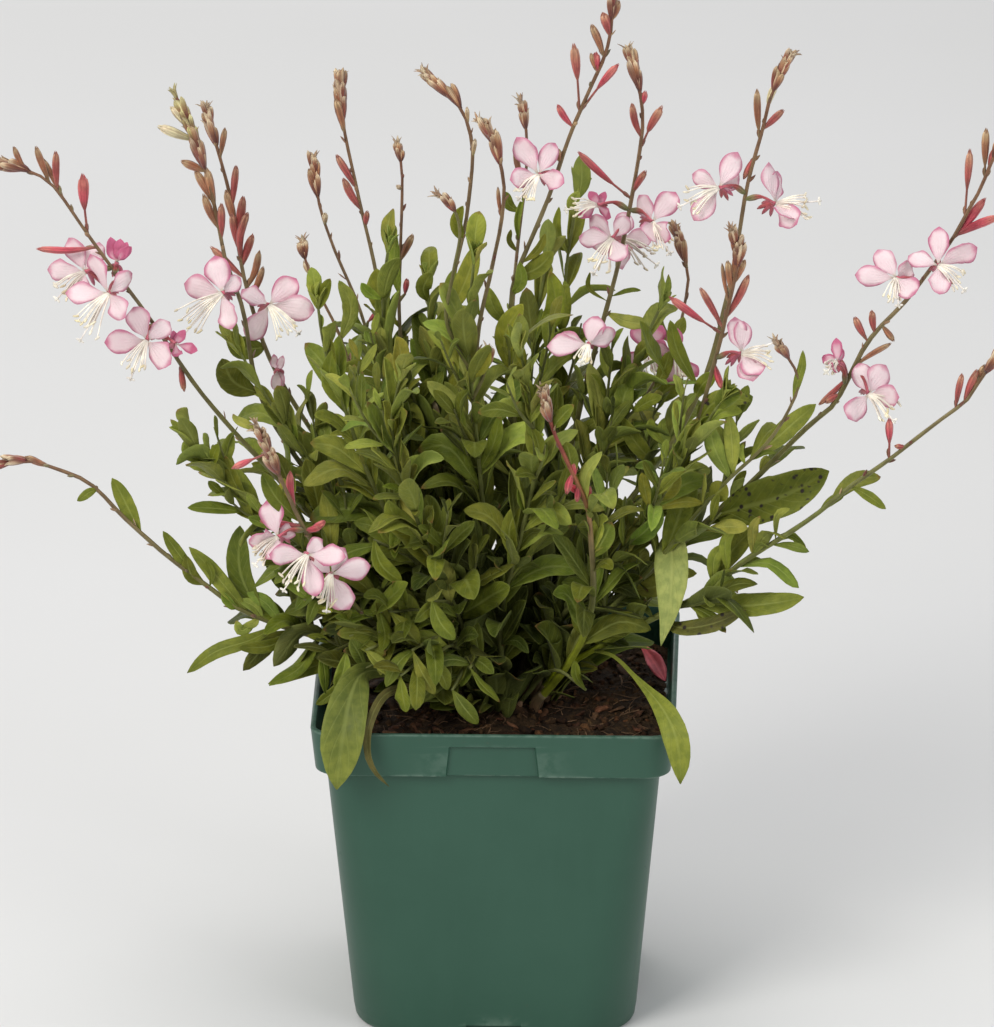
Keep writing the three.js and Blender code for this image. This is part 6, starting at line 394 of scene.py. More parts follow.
        {"pts": [[16.56, 37.33, 164.31], [10.54, 45.89, 174.78], [4.52, 54.44, 175.64]], "w": 7.62, "n": [0.593, 0, 0.805]},
        {"pts": [[18.86, 45.13, 182.66], [21.39, 38.34, 195.43], [23.92, 31.55, 201.55]], "w": 7.65, "n": [-0.001, 0.848, 0.529]},
        {"pts": [[20.61, 52.92, 201.05], [24.04, 63.77, 208.45], [27.46, 74.63, 208.16]], "w": 7.3, "n": [-0.17, -0.181, 0.969]},
        {"pts": [[21.51, 60.71, 219.53], [30.03, 62.09, 229.3], [38.56, 63.47, 232.94]], "w": 6.89, "n": [-0.529, 0.447, 0.721]},
        {"pts": [[22.53, 68.46, 238], [31.92, 70.28, 244.31], [41.3, 72.09, 244.3]], "w": 6.16, "n": [-0.538, 0.334, 0.774]},
        {"pts": [[24.31, 76.23, 256.4], [24.71, 84.31, 267.83], [25.1, 92.39, 269.53]], "w": 6.97, "n": [0.267, -0.207, 0.941]},
        {"pts": [[26.88, 83.66, 273.9], [27.79, 84.26, 287.23], [28.71, 84.86, 292.14]], "w": 6.48, "n": [0.184, 0.842, 0.508]},
    ],
    "leafy_shoot_09": [
        {"pts": [[14.71, 7.11, 144.82], [13.46, 18.04, 156.58], [12.22, 28.96, 158.15]], "w": 8.28, "n": [0.509, -0.35, 0.787]},
        {"pts": [[19.87, 10.63, 160.54], [11.43, 14.2, 176.72], [2.98, 17.77, 181.31]], "w": 9.3, "n": [0.801, 0.102, 0.59]},
        {"pts": [[25.35, 14.16, 176.15], [25.69, 4.98, 188.03], [26.03, -4.2, 190.35]], "w": 7.62, "n": [0.408, 0.716, 0.566]},
        {"pts": [[31.57, 17.72, 191.48], [41.5, 21.74, 198.05], [51.42, 25.75, 197.28]], "w": 6.77, "n": [-0.204, 0.008, 0.979]},
        {"pts": [[38.07, 21.29, 206.69], [32.88, 26.6, 217.99], [27.69, 31.91, 219.93]], "w": 6.7, "n": [0.826, -0.07, 0.559]},
        {"pts": [[44.83, 24.87, 221.79], [52.83, 16.04, 230.1], [60.84, 7.21, 231.21]], "w": 7.85, "n": [0.064, 0.691, 0.72]},
        {"pts": [[51.48, 28.44, 236.94], [57.95, 34.44, 248.62], [64.42, 40.44, 249.73]], "w": 7.28, "n": [0.067, -0.304, 0.95]},
        {"pts": [[57.81, 31.84, 251.43], [58.68, 32.65, 263.96], [59.55, 33.46, 267.9]], "w": 6, "n": [0.798, 0.374, 0.472]},
    ],
    "leafy_shoot_10": [
        {"pts": [[21.89, -8.15, 143.81], [25.01, -2.09, 158.17], [28.13, 3.98, 163.17]], "w": 7.96, "n": [0.607, -0.674, 0.421]},
        {"pts": [[31.11, -11.55, 157.21], [32.72, -1.13, 172.4], [34.33, 9.28, 175.77]], "w": 9.3, "n": [0.585, -0.686, 0.433]},
        {"pts": [[40.45, -14.96, 170.53], [34.97, -19.07, 186.26], [29.49, -23.18, 189.06]], "w": 8.19, "n": [0.655, 0.172, 0.736]},
        {"pts": [[50.07, -18.41, 183.67], [60.29, -13.05, 189.17], [70.51, -7.68, 186.35]], "w": 6.96, "n": [-0.318, -0.371, 0.873]},
        {"pts": [[58.53, -21.83, 197.53], [54.32, -23.85, 211.06], [50.12, -25.87, 214.28]], "w": 6.84, "n": [0.883, -0.139, 0.449]},
        {"pts": [[65.97, -25.21, 212.03], [65.11, -32.95, 220.29], [64.25, -40.69, 223.33]], "w": 6.03, "n": [0.68, 0.32, 0.66]},
        {"pts": [[73.61, -28.61, 226.43], [81.09, -29.87, 235.18], [88.57, -31.13, 236.24]], "w": 5.89, "n": [-0.137, -0.28, 0.95]},
        {"pts": [[80.96, -31.85, 240.16], [82.28, -33.35, 251.49], [83.59, -34.84, 255.43]], "w": 5.57, "n": [0.88, -0.227, 0.418]},
    ],
    "leafy_shoot_11": [
        {"pts": [[-25.2, -36.1, 188.4], [-33.7, -41.1, 197.1], [-36.4, -44.1, 201.3], [-37.8, -46.1, 206.7]], "w": 7.2, "n": [0, -0.944, 0.33], "own": 1, "late": 0},
        {"pts": [[-11.17, -18.29, 144.42], [-27.35, -19.43, 155.17], [-43.53, -20.57, 153.38]], "w": 10.35, "n": [0.329, -0.424, 0.844]},
        {"pts": [[-16.19, -24.85, 160.55], [-11.46, -38.55, 173.72], [-6.74, -52.25, 173.91]], "w": 10.14, "n": [-0.608, 0.139, 0.782]},
        {"pts": [[-21.22, -31.39, 176.69], [-23.17, -24.48, 192.38], [-25.12, -17.58, 200.19]], "w": 8.93, "n": [-0.274, -0.824, 0.496]},
        {"pts": [[-26.29, -37.89, 192.83], [-35.46, -44.97, 199.98], [-44.62, -52.05, 196.92]], "w": 7.2, "n": [0.227, -0.029, 0.973]},
        {"pts": [[-30.65, -44.41, 209.14], [-24.15, -45.47, 221.59], [-17.65, -46.53, 224.03]], "w": 6.86, "n": [-0.707, -0.417, 0.572]},
        {"pts": [[-34.29, -50.94, 225.62], [-44.44, -47.67, 235.5], [-54.58, -44.4, 233.81]], "w": 7.35, "n": [0.318, -0.617, 0.719]},
        {"pts": [[-34.16, -57.47, 242.37], [-30.27, -63.76, 253.81], [-26.39, -70.04, 256.16]], "w": 6.78, "n": [-0.382, 0.043, 0.923]},
        {"pts": [[-32.86, -63.71, 258.46], [-33.44, -64.2, 272.1], [-34.02, -64.68, 276.03]], "w": 6.45, "n": [0.269, -0.794, 0.546]},
    ],
    "leafy_shoot_12": [
        {"pts": [[1.42, -18.54, 146.12], [0.97, -33.87, 154.97], [0.52, -49.21, 154.84]], "w": 9.66, "n": [-0.083, 0.29, 0.953]},
        {"pts": [[4.51, -24.71, 163.79], [17.84, -22.94, 172.66], [31.17, -21.18, 171.99]], "w": 8.63, "n": [-0.413, -0.457, 0.788]},
        {"pts": [[7.81, -30.89, 181.43], [-1.72, -29.85, 194.21], [-11.25, -28.81, 197.75]], "w": 8.19, "n": [0.692, -0.43, 0.58]},
        {"pts": [[11.59, -37.06, 198.98], [17.31, -50.4, 205.84], [23.03, -63.75, 204.2]], "w": 8.83, "n": [-0.026, 0.24, 0.97]},
        {"pts": [[13.67, -43.24, 216.72], [21.84, -39.64, 226.28], [30.01, -36.03, 229.57]], "w": 6.92, "n": [-0.451, -0.596, 0.664]},
        {"pts": [[14.01, -49.43, 234.66], [6.73, -53.03, 243.7], [-0.56, -56.62, 244.6]], "w": 6.19, "n": [0.589, -0.178, 0.788]},
        {"pts": [[12.26, -55.7, 252.45], [11.67, -62.97, 263.18], [11.08, -70.24, 266.99]], "w": 6.68, "n": [-0.225, 0.271, 0.936]},
        {"pts": [[9.91, -61.72, 269.42], [9.7, -61.79, 280.67], [9.5, -61.85, 284.03]], "w": 5.33, "n": [-0.274, -0.786, 0.554]},
    ],
    "leafy_shoot_13": [
        {"pts": [[-7.05, 27.23, 125.14], [-16.58, 29.85, 134.43], [-26.1, 32.47, 135.83]], "w": 7.1, "n": [0.575, 0.188, 0.796]},
        {"pts": [[-8.32, 35.53, 133.96], [-18.41, 31.96, 150.5], [-28.51, 28.39, 156.2]], "w": 10.09, "n": [0.47, 0.48, 0.741]},
        {"pts": [[-10.84, 43.82, 142.47], [-23.45, 48.21, 148.24], [-36.07, 52.6, 147.21]], "w": 8.08, "n": [0.51, 0.071, 0.857]},
        {"pts": [[-13.56, 52.11, 150.94], [-9.11, 51.42, 164.88], [-4.65, 50.73, 170.84]], "w": 7.36, "n": [-0.513, 0.457, 0.726]},
        {"pts": [[-18.31, 60.23, 158.4], [-25.5, 68.3, 156.97], [-32.69, 76.37, 146.03]], "w": 6.66, "n": [0.169, -0.165, 0.972]},
        {"pts": [[-24.55, 68.21, 165.11], [-31.51, 64.58, 176.69], [-38.48, 60.95, 180.35]], "w": 7.15, "n": [0.287, 0.617, 0.733]},
        {"pts": [[-31.06, 76.17, 171.58], [-27.05, 86.01, 176.88], [-23.05, 95.85, 172.84]], "w": 6.38, "n": [-0.431, -0.379, 0.819]},
        {"pts": [[-38.23, 84.09, 177.44], [-47.33, 90.33, 182.59], [-56.43, 96.57, 177.79]], "w": 6.57, "n": [0.325, 0.077, 0.942]},
        {"pts": [[-45.07, 91.64, 183.03], [-50.24, 97.4, 193.62], [-55.41, 103.15, 197.5]], "w": 6.81, "n": [-0.438, 0.466, 0.769]},
    ],
    "leafy_shoot_14": [
        {"pts": [[4.87, 26.8, 125.9], [19.19, 36.87, 135.94], [33.51, 46.93, 134.17]], "w": 10.92, "n": [-0.508, -0.09, 0.857]},
        {"pts": [[5.31, 34.79, 135.91], [15.57, 44.99, 144.69], [25.82, 55.18, 144.47]], "w": 9.18, "n": [-0.472, -0.138, 0.871]},
        {"pts": [[8.3, 42.93, 145.22], [2.06, 54.26, 154.91], [-4.19, 65.59, 152.85]], "w": 8.43, "n": [0.485, -0.254, 0.837]},
        {"pts": [[11.87, 51.11, 154.36], [24.44, 52.65, 159.51], [37.01, 54.18, 154.14]], "w": 7.47, "n": [-0.503, 0.113, 0.857]},
        {"pts": [[17.76, 59.05, 162.07], [27.72, 67.55, 159.15], [37.68, 76.06, 145.29]], "w": 8.3, "n": [-0.176, -0.126, 0.976]},
        {"pts": [[25.61, 66.79, 168.58], [21.37, 73.37, 179.17], [17.13, 79.95, 179.52]], "w": 6.46, "n": [0.619, -0.271, 0.737]},
        {"pts": [[33.58, 74.53, 174.94], [46.2, 72.58, 179.15], [58.83, 70.63, 175.6]], "w": 7.51, "n": [-0.387, 0.353, 0.852]},
        {"pts": [[41.89, 82.26, 180.92], [46.82, 90.5, 184.73], [51.74, 98.74, 183.44]], "w": 5.75, "n": [0.15, -0.356, 0.923]},
        {"pts": [[49.82, 89.65, 186.63], [55.54, 94.92, 196.77], [61.25, 100.2, 200.93]], "w": 6.71, "n": [0.456, 0.44, 0.774]},
    ],
}

# Places among the leaves that stay bare: x from, x to, view height from, to, and
# the y in front of which no leaf comes.
BARE = [[37.2, 63.2, 92.6, 124.4, 60], [-35.0, 37.2, 92.6, 99.5, 60], [10.8, 19.9, 100.2, 110.3, -8], [17.3, 27.8, 108.2, 118.3, -8], [24.9, 36.5, 116.1, 126.2, -9.5], [57.8, 71.2, 123.3, 166.0, 2], [81.3, 119.6, 169.6, 189.8, -2], [-58.9, -42.3, 73.5, 116.1, -40], [11, 22, 203, 219, -62], [20, 29, 188, 204, -52], [24, 32, 174, 188, -44]]

# Leaves that stand out one by one: midrib points, width and how pale they are.
SINGLE = {
    "leafy_shoot_03": [
        {"pts": [[-53.7, -23.6, 231.9], [-58.4, -27.5, 244.6], [-58.3, -28.6, 257.2]], "w": 6.1, "tone": 0.62},
    ],
    "flower_stem_06": [
        {"pts": [[-56.7, 21.9, 241.6], [-53.7, 18.1, 256.2], [-57.4, 17.0, 267.6]], "w": 5.8, "tone": 0.8},
    ],
    "flower_stem_05": [
        {"pts": [[-48.4, 67.8, 225.1], [-53.9, 64.7, 233.6], [-55.6, 63.8, 243.6]], "w": 4.3, "tone": 0.72},
    ],
    "leafy_shoot_04": [
        {"pts": [[-42.0, 29.1, 255.4], [-47.0, 27.5, 258.7], [-49.8, 27.0, 262.9]], "w": 4.3, "tone": 0.75},
        {"pts": [[-40.2, 25.8, 235.1], [-42.0, 23.9, 241.1], [-42.5, 23.4, 247.4]], "w": 4.3, "tone": 0.95},
    ],
    "flower_stem_07": [
        {"pts": [[-36.4, 42.1, 240.8], [-42.5, 38.2, 253.1], [-44.4, 37.1, 265.4]], "w": 7.6, "tone": 0.85},
        {"pts": [[-36.7, 44.1, 251.9], [-38.6, 40.4, 265.7], [-37.6, 39.3, 277.8]], "w": 4.7, "tone": 0.85},
        {"pts": [[-28.7, 31.9, 185.3], [-29.8, 28.7, 195.9], [-33.0, 27.8, 205.7]], "w": 5.8, "tone": 0.55},
    ],
    "leafy_shoot_05": [
        {"pts": [[-26.0, 42.3, 249.1], [-27.8, 40.2, 255.9], [-24.9, 39.5, 262.4]], "w": 5.8, "tone": 0.5},
        {"pts": [[-25.3, 39.2, 235.7], [-23.0, 36.7, 241.0], [-20.9, 35.9, 249.1]], "w": 4.7, "tone": 0.7},
        {"pts": [[-23.0, 33.8, 213.3], [-15.4, 30.5, 221.9], [-9.1, 29.6, 230.0]], "w": 8.7, "tone": 0.55},
        {"pts": [[-8.1, 17.1, 145.4], [-14.2, 14.4, 152.3], [-16.7, 13.6, 160.7]], "w": 6.5, "tone": 0.48},
        {"pts": [[-14.4, 23.6, 171.7], [-19.3, 19.9, 184.9], [-21.1, 18.8, 196.8]], "w": 6.5, "tone": 0.52},
    ],
    "flower_stem_08": [
        {"pts": [[-17.6, 43.8, 246.4], [-11.8, 39.3, 260.4], [-7.9, 38.0, 274.3]], "w": 7.9, "tone": 0.85},
        {"pts": [[-17.6, 44.2, 248.5], [-17.9, 41.9, 256.1], [-16.3, 41.3, 263.4]], "w": 4.3, "tone": 0.7},
        {"pts": [[-13.9, 49.5, 271.9], [-15.6, 47.5, 278.6], [-13.5, 46.8, 285.3]], "w": 5.4, "tone": 0.55},
    ],
    "flower_stem_09": [
        {"pts": [[-6.0, 4.1, 258.1], [-8.8, 2.0, 264.1], [-9.0, 1.4, 271.1]], "w": 4.3, "tone": 0.55},
    ],
    "flower_stem_11": [
        {"pts": [[4.5, 12.6, 251.8], [-1.0, 10.0, 259.8], [-3.5, 9.2, 267.9]], "w": 5.8, "tone": 0.72},
        {"pts": [[6.2, 13.6, 269.6], [14.8, 10.9, 274.7], [19.9, 10.1, 281.6]], "w": 7.2, "tone": 0.62},
        {"pts": [[4.6, 11.6, 233.8], [3.4, 6.9, 250.5], [9.2, 5.6, 264.4]], "w": 7.9, "tone": 0.8},
        {"pts": [[5.1, 11.1, 224.8], [5.4, 8.8, 232.7], [8.1, 8.2, 239.6]], "w": 6.1, "tone": 0.75},
        {"pts": [[5.1, 13.2, 263.1], [8.2, 10.9, 269.5], [8.0, 10.2, 277.2]], "w": 5.1, "tone": 0.75},
        {"pts": [[9.6, 5.8, 128.4], [3.9, 3.2, 137.0], [1.0, 2.4, 145.0]], "w": 5.8, "tone": 0.42},
        {"pts": [[8.5, 14.0, 276.0], [14.0, 11.7, 281.5], [17.0, 11.1, 288.1]], "w": 3.2, "tone": 0.6},
    ],
    "leafy_shoot_07": [
        {"pts": [[11.8, 54.4, 228.1], [18.9, 49.7, 245.0], [18.0, 48.3, 260.4]], "w": 7.9, "tone": 0.88},
        {"pts": [[8.1, 20.3, 142.2], [2.4, 16.9, 153.4], [0.7, 15.9, 164.7]], "w": 6.5, "tone": 0.42},
    ],
    "leafy_shoot_06": [
        {"pts": [[-9.1, -9.8, 238.7], [-5.5, -12.4, 246.4], [-2.9, -13.1, 254.3]], "w": 6.9, "tone": 0.62},
        {"pts": [[-5.9, -6.6, 202.7], [-1.4, -10.1, 215.6], [1.4, -11.1, 226.4]], "w": 5.4, "tone": 0.6},
    ],
    "leafy_shoot_08": [
        {"pts": [[25.9, 81.3, 268.4], [25.4, 79.6, 274.6], [27.8, 79.1, 279.5]], "w": 4.3, "tone": 0.9},
        {"pts": [[23.9, 76.0, 255.9], [20.3, 73.0, 267.0], [20.7, 72.1, 276.9]], "w": 3.2, "tone": 0.85},
        {"pts": [[22.0, 65.3, 230.6], [22.5, 62.5, 240.9], [23.5, 61.7, 250.2]], "w": 6.1, "tone": 0.85},
        {"pts": [[24.1, 76.9, 258.0], [22.1, 75.6, 260.4], [19.9, 75.3, 263.8]], "w": 4.7, "tone": 0.55},
    ],
    "flower_stem_12": [
        {"pts": [[38.3, 39.2, 247.6], [45.3, 36.1, 244.6], [54.5, 35.3, 244.3]], "w": 5.1, "tone": 0.95},
        {"pts": [[40.1, 40.7, 254.0], [46.8, 39.3, 256.4], [51.1, 38.8, 256.9]], "w": 2.5, "tone": 0.6},
        {"pts": [[39.5, 40.2, 251.8], [32.4, 38.4, 257.2], [32.7, 37.8, 263.6]], "w": 1.8, "tone": 0.55},
    ],
    "flower_stem_15": [
        {"pts": [[63.0, 68.8, 225.1], [56.8, 66.5, 233.3], [55.5, 65.8, 240.8]], "w": 5.8, "tone": 0.55},
        {"pts": [[62.3, 67.9, 223.2], [63.9, 65.6, 230.0], [66.4, 65.0, 237.0]], "w": 5.1, "tone": 0.72},
        {"pts": [[49.4, 57.1, 202.6], [44.3, 54.5, 211.1], [46.3, 53.7, 220.0]], "w": 4.7, "tone": 0.6},
        {"pts": [[51.7, 58.9, 205.9], [59.0, 55.8, 210.9], [66.3, 54.9, 217.4]], "w": 7.9, "tone": 0.52},
        {"pts": [[36.7, 47.1, 184.2], [34.7, 45.0, 189.6], [32.7, 44.4, 196.1]], "w": 5.1, "tone": 0.4},
        {"pts": [[52.9, 59.8, 207.6], [49.4, 56.4, 216.9], [45.5, 55.5, 227.1]], "w": 6.5, "tone": 0.46},
    ],
    "flower_stem_14": [
        {"pts": [[73.5, -13.6, 229.1], [84.0, -12.9, 231.7], [92.2, -10.0, 234.5]], "w": 9.7, "tone": 0.42},
        {"pts": [[48.2, -7.0, 178.3], [46.9, -9.4, 189.0], [41.3, -10.1, 194.5]], "w": 5.4, "tone": 0.55},
    ],
    "flower_stem_21": [
        {"pts": [[84.8, -24.3, 208.4], [78.9, -27.5, 220.7], [76.7, -28.5, 231.0]], "w": 6.5, "tone": 0.92},
        {"pts": [[86.2, -24.7, 210.1], [85.3, -28.3, 223.8], [83.8, -29.3, 235.2]], "w": 5.4, "tone": 0.97},
        {"pts": [[89.3, -25.5, 213.3], [88.2, -26.6, 219.2], [89.2, -26.9, 222.5]], "w": 2.2, "tone": 0.85},
        {"pts": [[76.2, -21.8, 197.9], [79.6, -23.5, 201.8], [83.2, -23.9, 205.6]], "w": 7.9, "tone": 0.62},
        {"pts": [[48.0, -13.3, 159.8], [57.7, -15.7, 162.2], [62.1, -16.4, 168.5]], "w": 7.2, "tone": 0.66},
    ],
    "leafy_shoot_10": [
        {"pts": [[47.7, -17.4, 179.7], [54.5, -20.4, 187.1], [59.5, -21.3, 195.5]], "w": 7.9, "tone": 0.62},
        {"pts": [[69.5, -26.8, 219.0], [70.1, -28.9, 226.2], [73.5, -29.5, 232.1]], "w": 5.1, "tone": 0.6},
        {"pts": [[59.5, -22.1, 198.8], [63.1, -24.3, 204.7], [65.6, -24.9, 211.1]], "w": 6.5, "tone": 0.55},
        {"pts": [[79.2, -31.1, 236.8], [83.0, -33.0, 241.8], [88.5, -33.6, 244.5]], "w": 7.9, "tone": 0.28},
    ],
    "flower_stem_13": [
        {"pts": [[30.9, 12.3, 163.1], [23.6, 8.6, 176.9], [23.0, 7.5, 189.1]], "w": 7.6, "tone": 0.66},
        {"pts": [[57.2, 17.8, 196.8], [49.3, 14.5, 207.1], [44.8, 13.6, 216.4]], "w": 6.1, "tone": 0.72},
        {"pts": [[61.0, 18.6, 202.4], [55.6, 17.0, 210.6], [55.3, 16.6, 215.8]], "w": 4.0, "tone": 0.95},
        {"pts": [[62.3, 18.9, 204.3], [59.3, 17.4, 210.5], [60.0, 17.0, 215.3]], "w": 3.6, "tone": 0.85},
        {"pts": [[72.8, 21.8, 224.3], [65.0, 17.5, 240.6], [62.0, 16.3, 254.1]], "w": 5.4, "tone": 0.62},
        {"pts": [[70.9, 21.2, 220.2], [73.5, 18.9, 227.5], [78.6, 18.2, 232.7]], "w": 5.8, "tone": 0.45},
    ],
    "leafy_shoot_09": [
        {"pts": [[49.4, 27.4, 232.5], [51.9, 25.8, 238.6], [55.4, 25.3, 242.2]], "w": 5.8, "tone": 0.55},
    ],
    "flower_stem_20": [
        {"pts": [[32.7, -44.9, 206.7], [33.2, -48.2, 217.5], [38.8, -49.2, 227.0]], "w": 5.1, "tone": 0.98},
        {"pts": [[21.2, -56.8, 239.2], [25.1, -58.5, 244.8], [28.9, -59.0, 248.5]], "w": 5.4, "tone": 0.5},
        {"pts": [[28.4, -49.4, 218.9], [27.6, -51.4, 226.1], [26.0, -52.0, 232.5]], "w": 5.8, "tone": 0.35},
        {"pts": [[35.2, -36.0, 181.0], [38.7, -38.6, 189.7], [42.2, -39.3, 197.2]], "w": 7.2, "tone": 0.58},
    ],
    "flower_stem_19": [
        {"pts": [[-46.3, -36.9, 158.3], [-38.9, -41.3, 164.9], [-30.8, -43.0, 174.1]], "w": 8.3, "tone": 0.66},
        {"pts": [[-34.4, -28.5, 144.8], [-30.6, -41.3, 144.9], [-28.1, -52.7, 143.2]], "w": 4.0, "tone": 0.62},
        {"pts": [[-55.9, -45.1, 173.6], [-64.9, -34.9, 171.5], [-70.4, -23.1, 172.1]], "w": 5.8, "tone": 0.55},
        {"pts": [[-51.8, -41.5, 166.6], [-56.0, -36.6, 171.6], [-59.3, -29.6, 177.1]], "w": 6.5, "tone": 0.5},
        {"pts": [[-82.4, -79.1, 245.4], [-90.0, -80.0, 249.5], [-91.5, -80.2, 251.8]], "w": 3.2, "tone": 1.0},
        {"pts": [[-68.6, -59.5, 203.2], [-76.8, -63.3, 213.6], [-82.0, -64.5, 224.7]], "w": 6.5, "tone": 0.36},
    ],
    "root_crown": [
        {"pts": [[-8.7, -6.8, 113.0], [-23.5, -18.4, 166.2], [-38.4, -30.0, 182.8], [-28.3, -33.4, 186.1], [-18.8, -34.5, 190.5]], "w": 5.8, "tone": 0.5},
        {"pts": [[-8.7, -6.8, 113.0], [-26.0, -20.4, 169.3], [-43.3, -34.0, 186.6], [-40.0, -37.1, 178.5], [-33.1, -38.0, 172.1]], "w": 7.2, "tone": 0.5},
        {"pts": [[-7.3, -8.2, 113.0], [-22.3, -25.1, 153.5], [-37.3, -42.0, 162.1], [-31.1, -44.7, 157.7], [-26.8, -45.5, 150.8]], "w": 6.5, "tone": 0.52},
        {"pts": [[-7.9, -7.7, 113.0], [-24.4, -23.8, 153.1], [-41.0, -40.0, 161.2], [-39.5, -42.1, 155.5], [-38.1, -42.8, 149.2]], "w": 5.1, "tone": 0.48},
        {"pts": [[-9.0, -6.4, 113.0], [-35.4, -25.2, 146.6], [-61.8, -44.0, 146.0], [-60.6, -46.3, 139.8], [-60.3, -47.0, 132.9]], "w": 5.1, "tone": 0.6},
        {"pts": [[-8.0, -7.6, 113.0], [-30.5, -28.8, 148.2], [-52.9, -50.0, 149.6], [-54.1, -52.3, 143.4], [-56.4, -53.0, 136.8]], "w": 6.1, "tone": 0.72},
        {"pts": [[-8.5, -7.0, 113.0], [-31.0, -25.5, 140.9], [-53.5, -44.0, 137.9], [-57.6, -46.5, 132.2], [-63.9, -47.3, 127.9]], "w": 4.0, "tone": 0.55},
        {"pts": [[-8.2, -7.3, 113.0], [-29.9, -26.7, 150.4], [-51.6, -46.0, 154.2], [-45.5, -48.4, 150.9], [-38.6, -49.2, 149.0]], "w": 5.1, "tone": 0.55},
        {"pts": [[-7.3, -8.3, 113.0], [-26.5, -30.1, 148.7], [-45.6, -52.0, 151.2], [-40.2, -54.7, 146.1], [-33.4, -55.4, 142.3]], "w": 5.4, "tone": 0.7},
        {"pts": [[-5.4, -9.6, 113.0], [-17.3, -30.8, 147.4], [-29.1, -52.0, 151.4], [-25.7, -55.0, 143.7], [-20.8, -55.9, 136.1]], "w": 4.7, "tone": 0.55},
        {"pts": [[-5.5, -9.5, 113.0], [-19.4, -33.8, 143.8], [-33.3, -58.0, 143.7], [-32.1, -60.3, 137.5], [-31.0, -61.0, 130.7]], "w": 6.1, "tone": 0.58},
        {"pts": [[-9.7, -5.1, 113.0], [-39.1, -20.6, 157.6], [-68.5, -36.0, 164.0], [-63.6, -37.9, 161.4], [-58.0, -38.5, 160.5]], "w": 4.0, "tone": 0.92},
        {"pts": [[-7.6, -7.9, 113.0], [-26.9, -28.0, 143.2], [-46.2, -48.0, 142.7], [-48.8, -49.9, 148.9], [-51.4, -50.5, 154.5]], "w": 5.8, "tone": 0.42},
        {"pts": [[-4.6, -10.0, 113.0], [-13.7, -30.0, 143.9], [-22.7, -50.0, 146.8], [-18.8, -52.1, 142.4], [-16.2, -52.8, 136.4]], "w": 5.4, "tone": 0.45},
        {"pts": [[-2.9, -10.6, 113.0], [-8.8, -32.3, 138.1], [-14.7, -54.0, 136.9], [-10.7, -56.5, 131.2], [-5.3, -57.3, 126.0]], "w": 5.4, "tone": 0.4},
        {"pts": [[-1.9, -10.8, 113.0], [-5.2, -29.4, 140.7], [-8.4, -48.0, 143.1], [-3.7, -50.7, 137.3], [2.4, -51.5, 132.2]], "w": 4.7, "tone": 0.42},
        {"pts": [[-5.0, -9.8, 113.0], [-13.6, -26.9, 156.3], [-22.2, -44.0, 167.6], [-19.4, -46.8, 160.2], [-13.8, -47.7, 153.7]], "w": 6.5, "tone": 0.45},
        {"pts": [[8.1, -7.4, 113.0], [20.5, -18.7, 131.0], [32.9, -30.0, 127.9], [29.9, -32.0, 134.0], [29.0, -32.5, 140.5]], "w": 3.6, "tone": 0.45},
        {"pts": [[-10.9, -1.5, 113.0], [-40.9, -5.8, 149.2], [-71.0, -10.0, 151.5], [-79.3, -14.3, 163.1], [-84.4, -15.5, 176.0]], "w": 7.2, "tone": 0.34},
        {"pts": [[-10.9, -1.4, 113.0], [-37.7, -4.7, 149.2], [-64.6, -8.0, 153.1], [-70.0, -11.0, 161.5], [-74.4, -11.9, 170.0]], "w": 6.5, "tone": 0.38},
        {"pts": [[10.5, 3.4, 113.0], [35.9, 11.7, 198.9], [61.3, 20.0, 230.4], [55.3, 16.3, 241.5], [51.2, 15.2, 252.8]], "w": 8.7, "tone": 0.52},
    ],
    "flower_stem_18": [
        {"pts": [[-69.0, -19.5, 144.6], [-75.6, -29.8, 153.5], [-82.9, -37.9, 151.5]], "w": 6.9, "tone": 0.55},
        {"pts": [[-71.0, -20.0, 145.4], [-81.8, -28.7, 143.6], [-92.4, -34.8, 145.9]], "w": 4.7, "tone": 0.52},
        {"pts": [[-62.9, -18.1, 142.3], [-69.8, -33.3, 136.3], [-80.8, -45.5, 134.8]], "w": 6.1, "tone": 0.66},
        {"pts": [[-76.9, -21.4, 148.1], [-83.1, -24.1, 158.1], [-89.5, -24.9, 163.3]], "w": 5.1, "tone": 0.75},
        {"pts": [[-82.8, -22.9, 150.9], [-87.2, -24.8, 156.9], [-92.3, -25.3, 159.6]], "w": 4.0, "tone": 0.78},
        {"pts": [[-84.8, -23.3, 151.9], [-87.3, -24.5, 150.2], [-90.6, -24.8, 150.1]], "w": 2.9, "tone": 0.95},
        {"pts": [[-64.9, -18.6, 143.1], [-56.3, -33.2, 155.5], [-50.8, -46.5, 164.1]], "w": 4.7, "tone": 0.55},
        {"pts": [[-82.8, -22.9, 150.9], [-91.3, -24.0, 169.8], [-92.0, -21.3, 187.0]], "w": 9.7, "tone": 0.3},
        {"pts": [[-73.0, -20.5, 146.3], [-80.6, -21.3, 153.4], [-88.6, -20.0, 157.6]], "w": 7.2, "tone": 0.36},
        {"pts": [[-103.8, -28.4, 166.2], [-108.9, -30.8, 171.3], [-111.0, -31.5, 178.8]], "w": 5.1, "tone": 0.4},
        {"pts": [[-102.1, -27.9, 164.8], [-101.8, -29.8, 171.2], [-103.9, -30.4, 176.9]], "w": 3.2, "tone": 0.42},
        {"pts": [[-92.2, -25.2, 156.3], [-95.5, -27.0, 159.5], [-98.4, -27.5, 164.2]], "w": 4.3, "tone": 0.5},
        {"pts": [[-84.8, -23.3, 151.9], [-91.3, -24.8, 147.6], [-93.5, -25.3, 151.8]], "w": 4.0, "tone": 0.95},
    ],
    "leafy_shoot_01": [
        {"pts": [[-67.2, -23.5, 178.6], [-76.3, -25.7, 177.6], [-81.7, -26.3, 181.3]], "w": 5.4, "tone": 0.62},
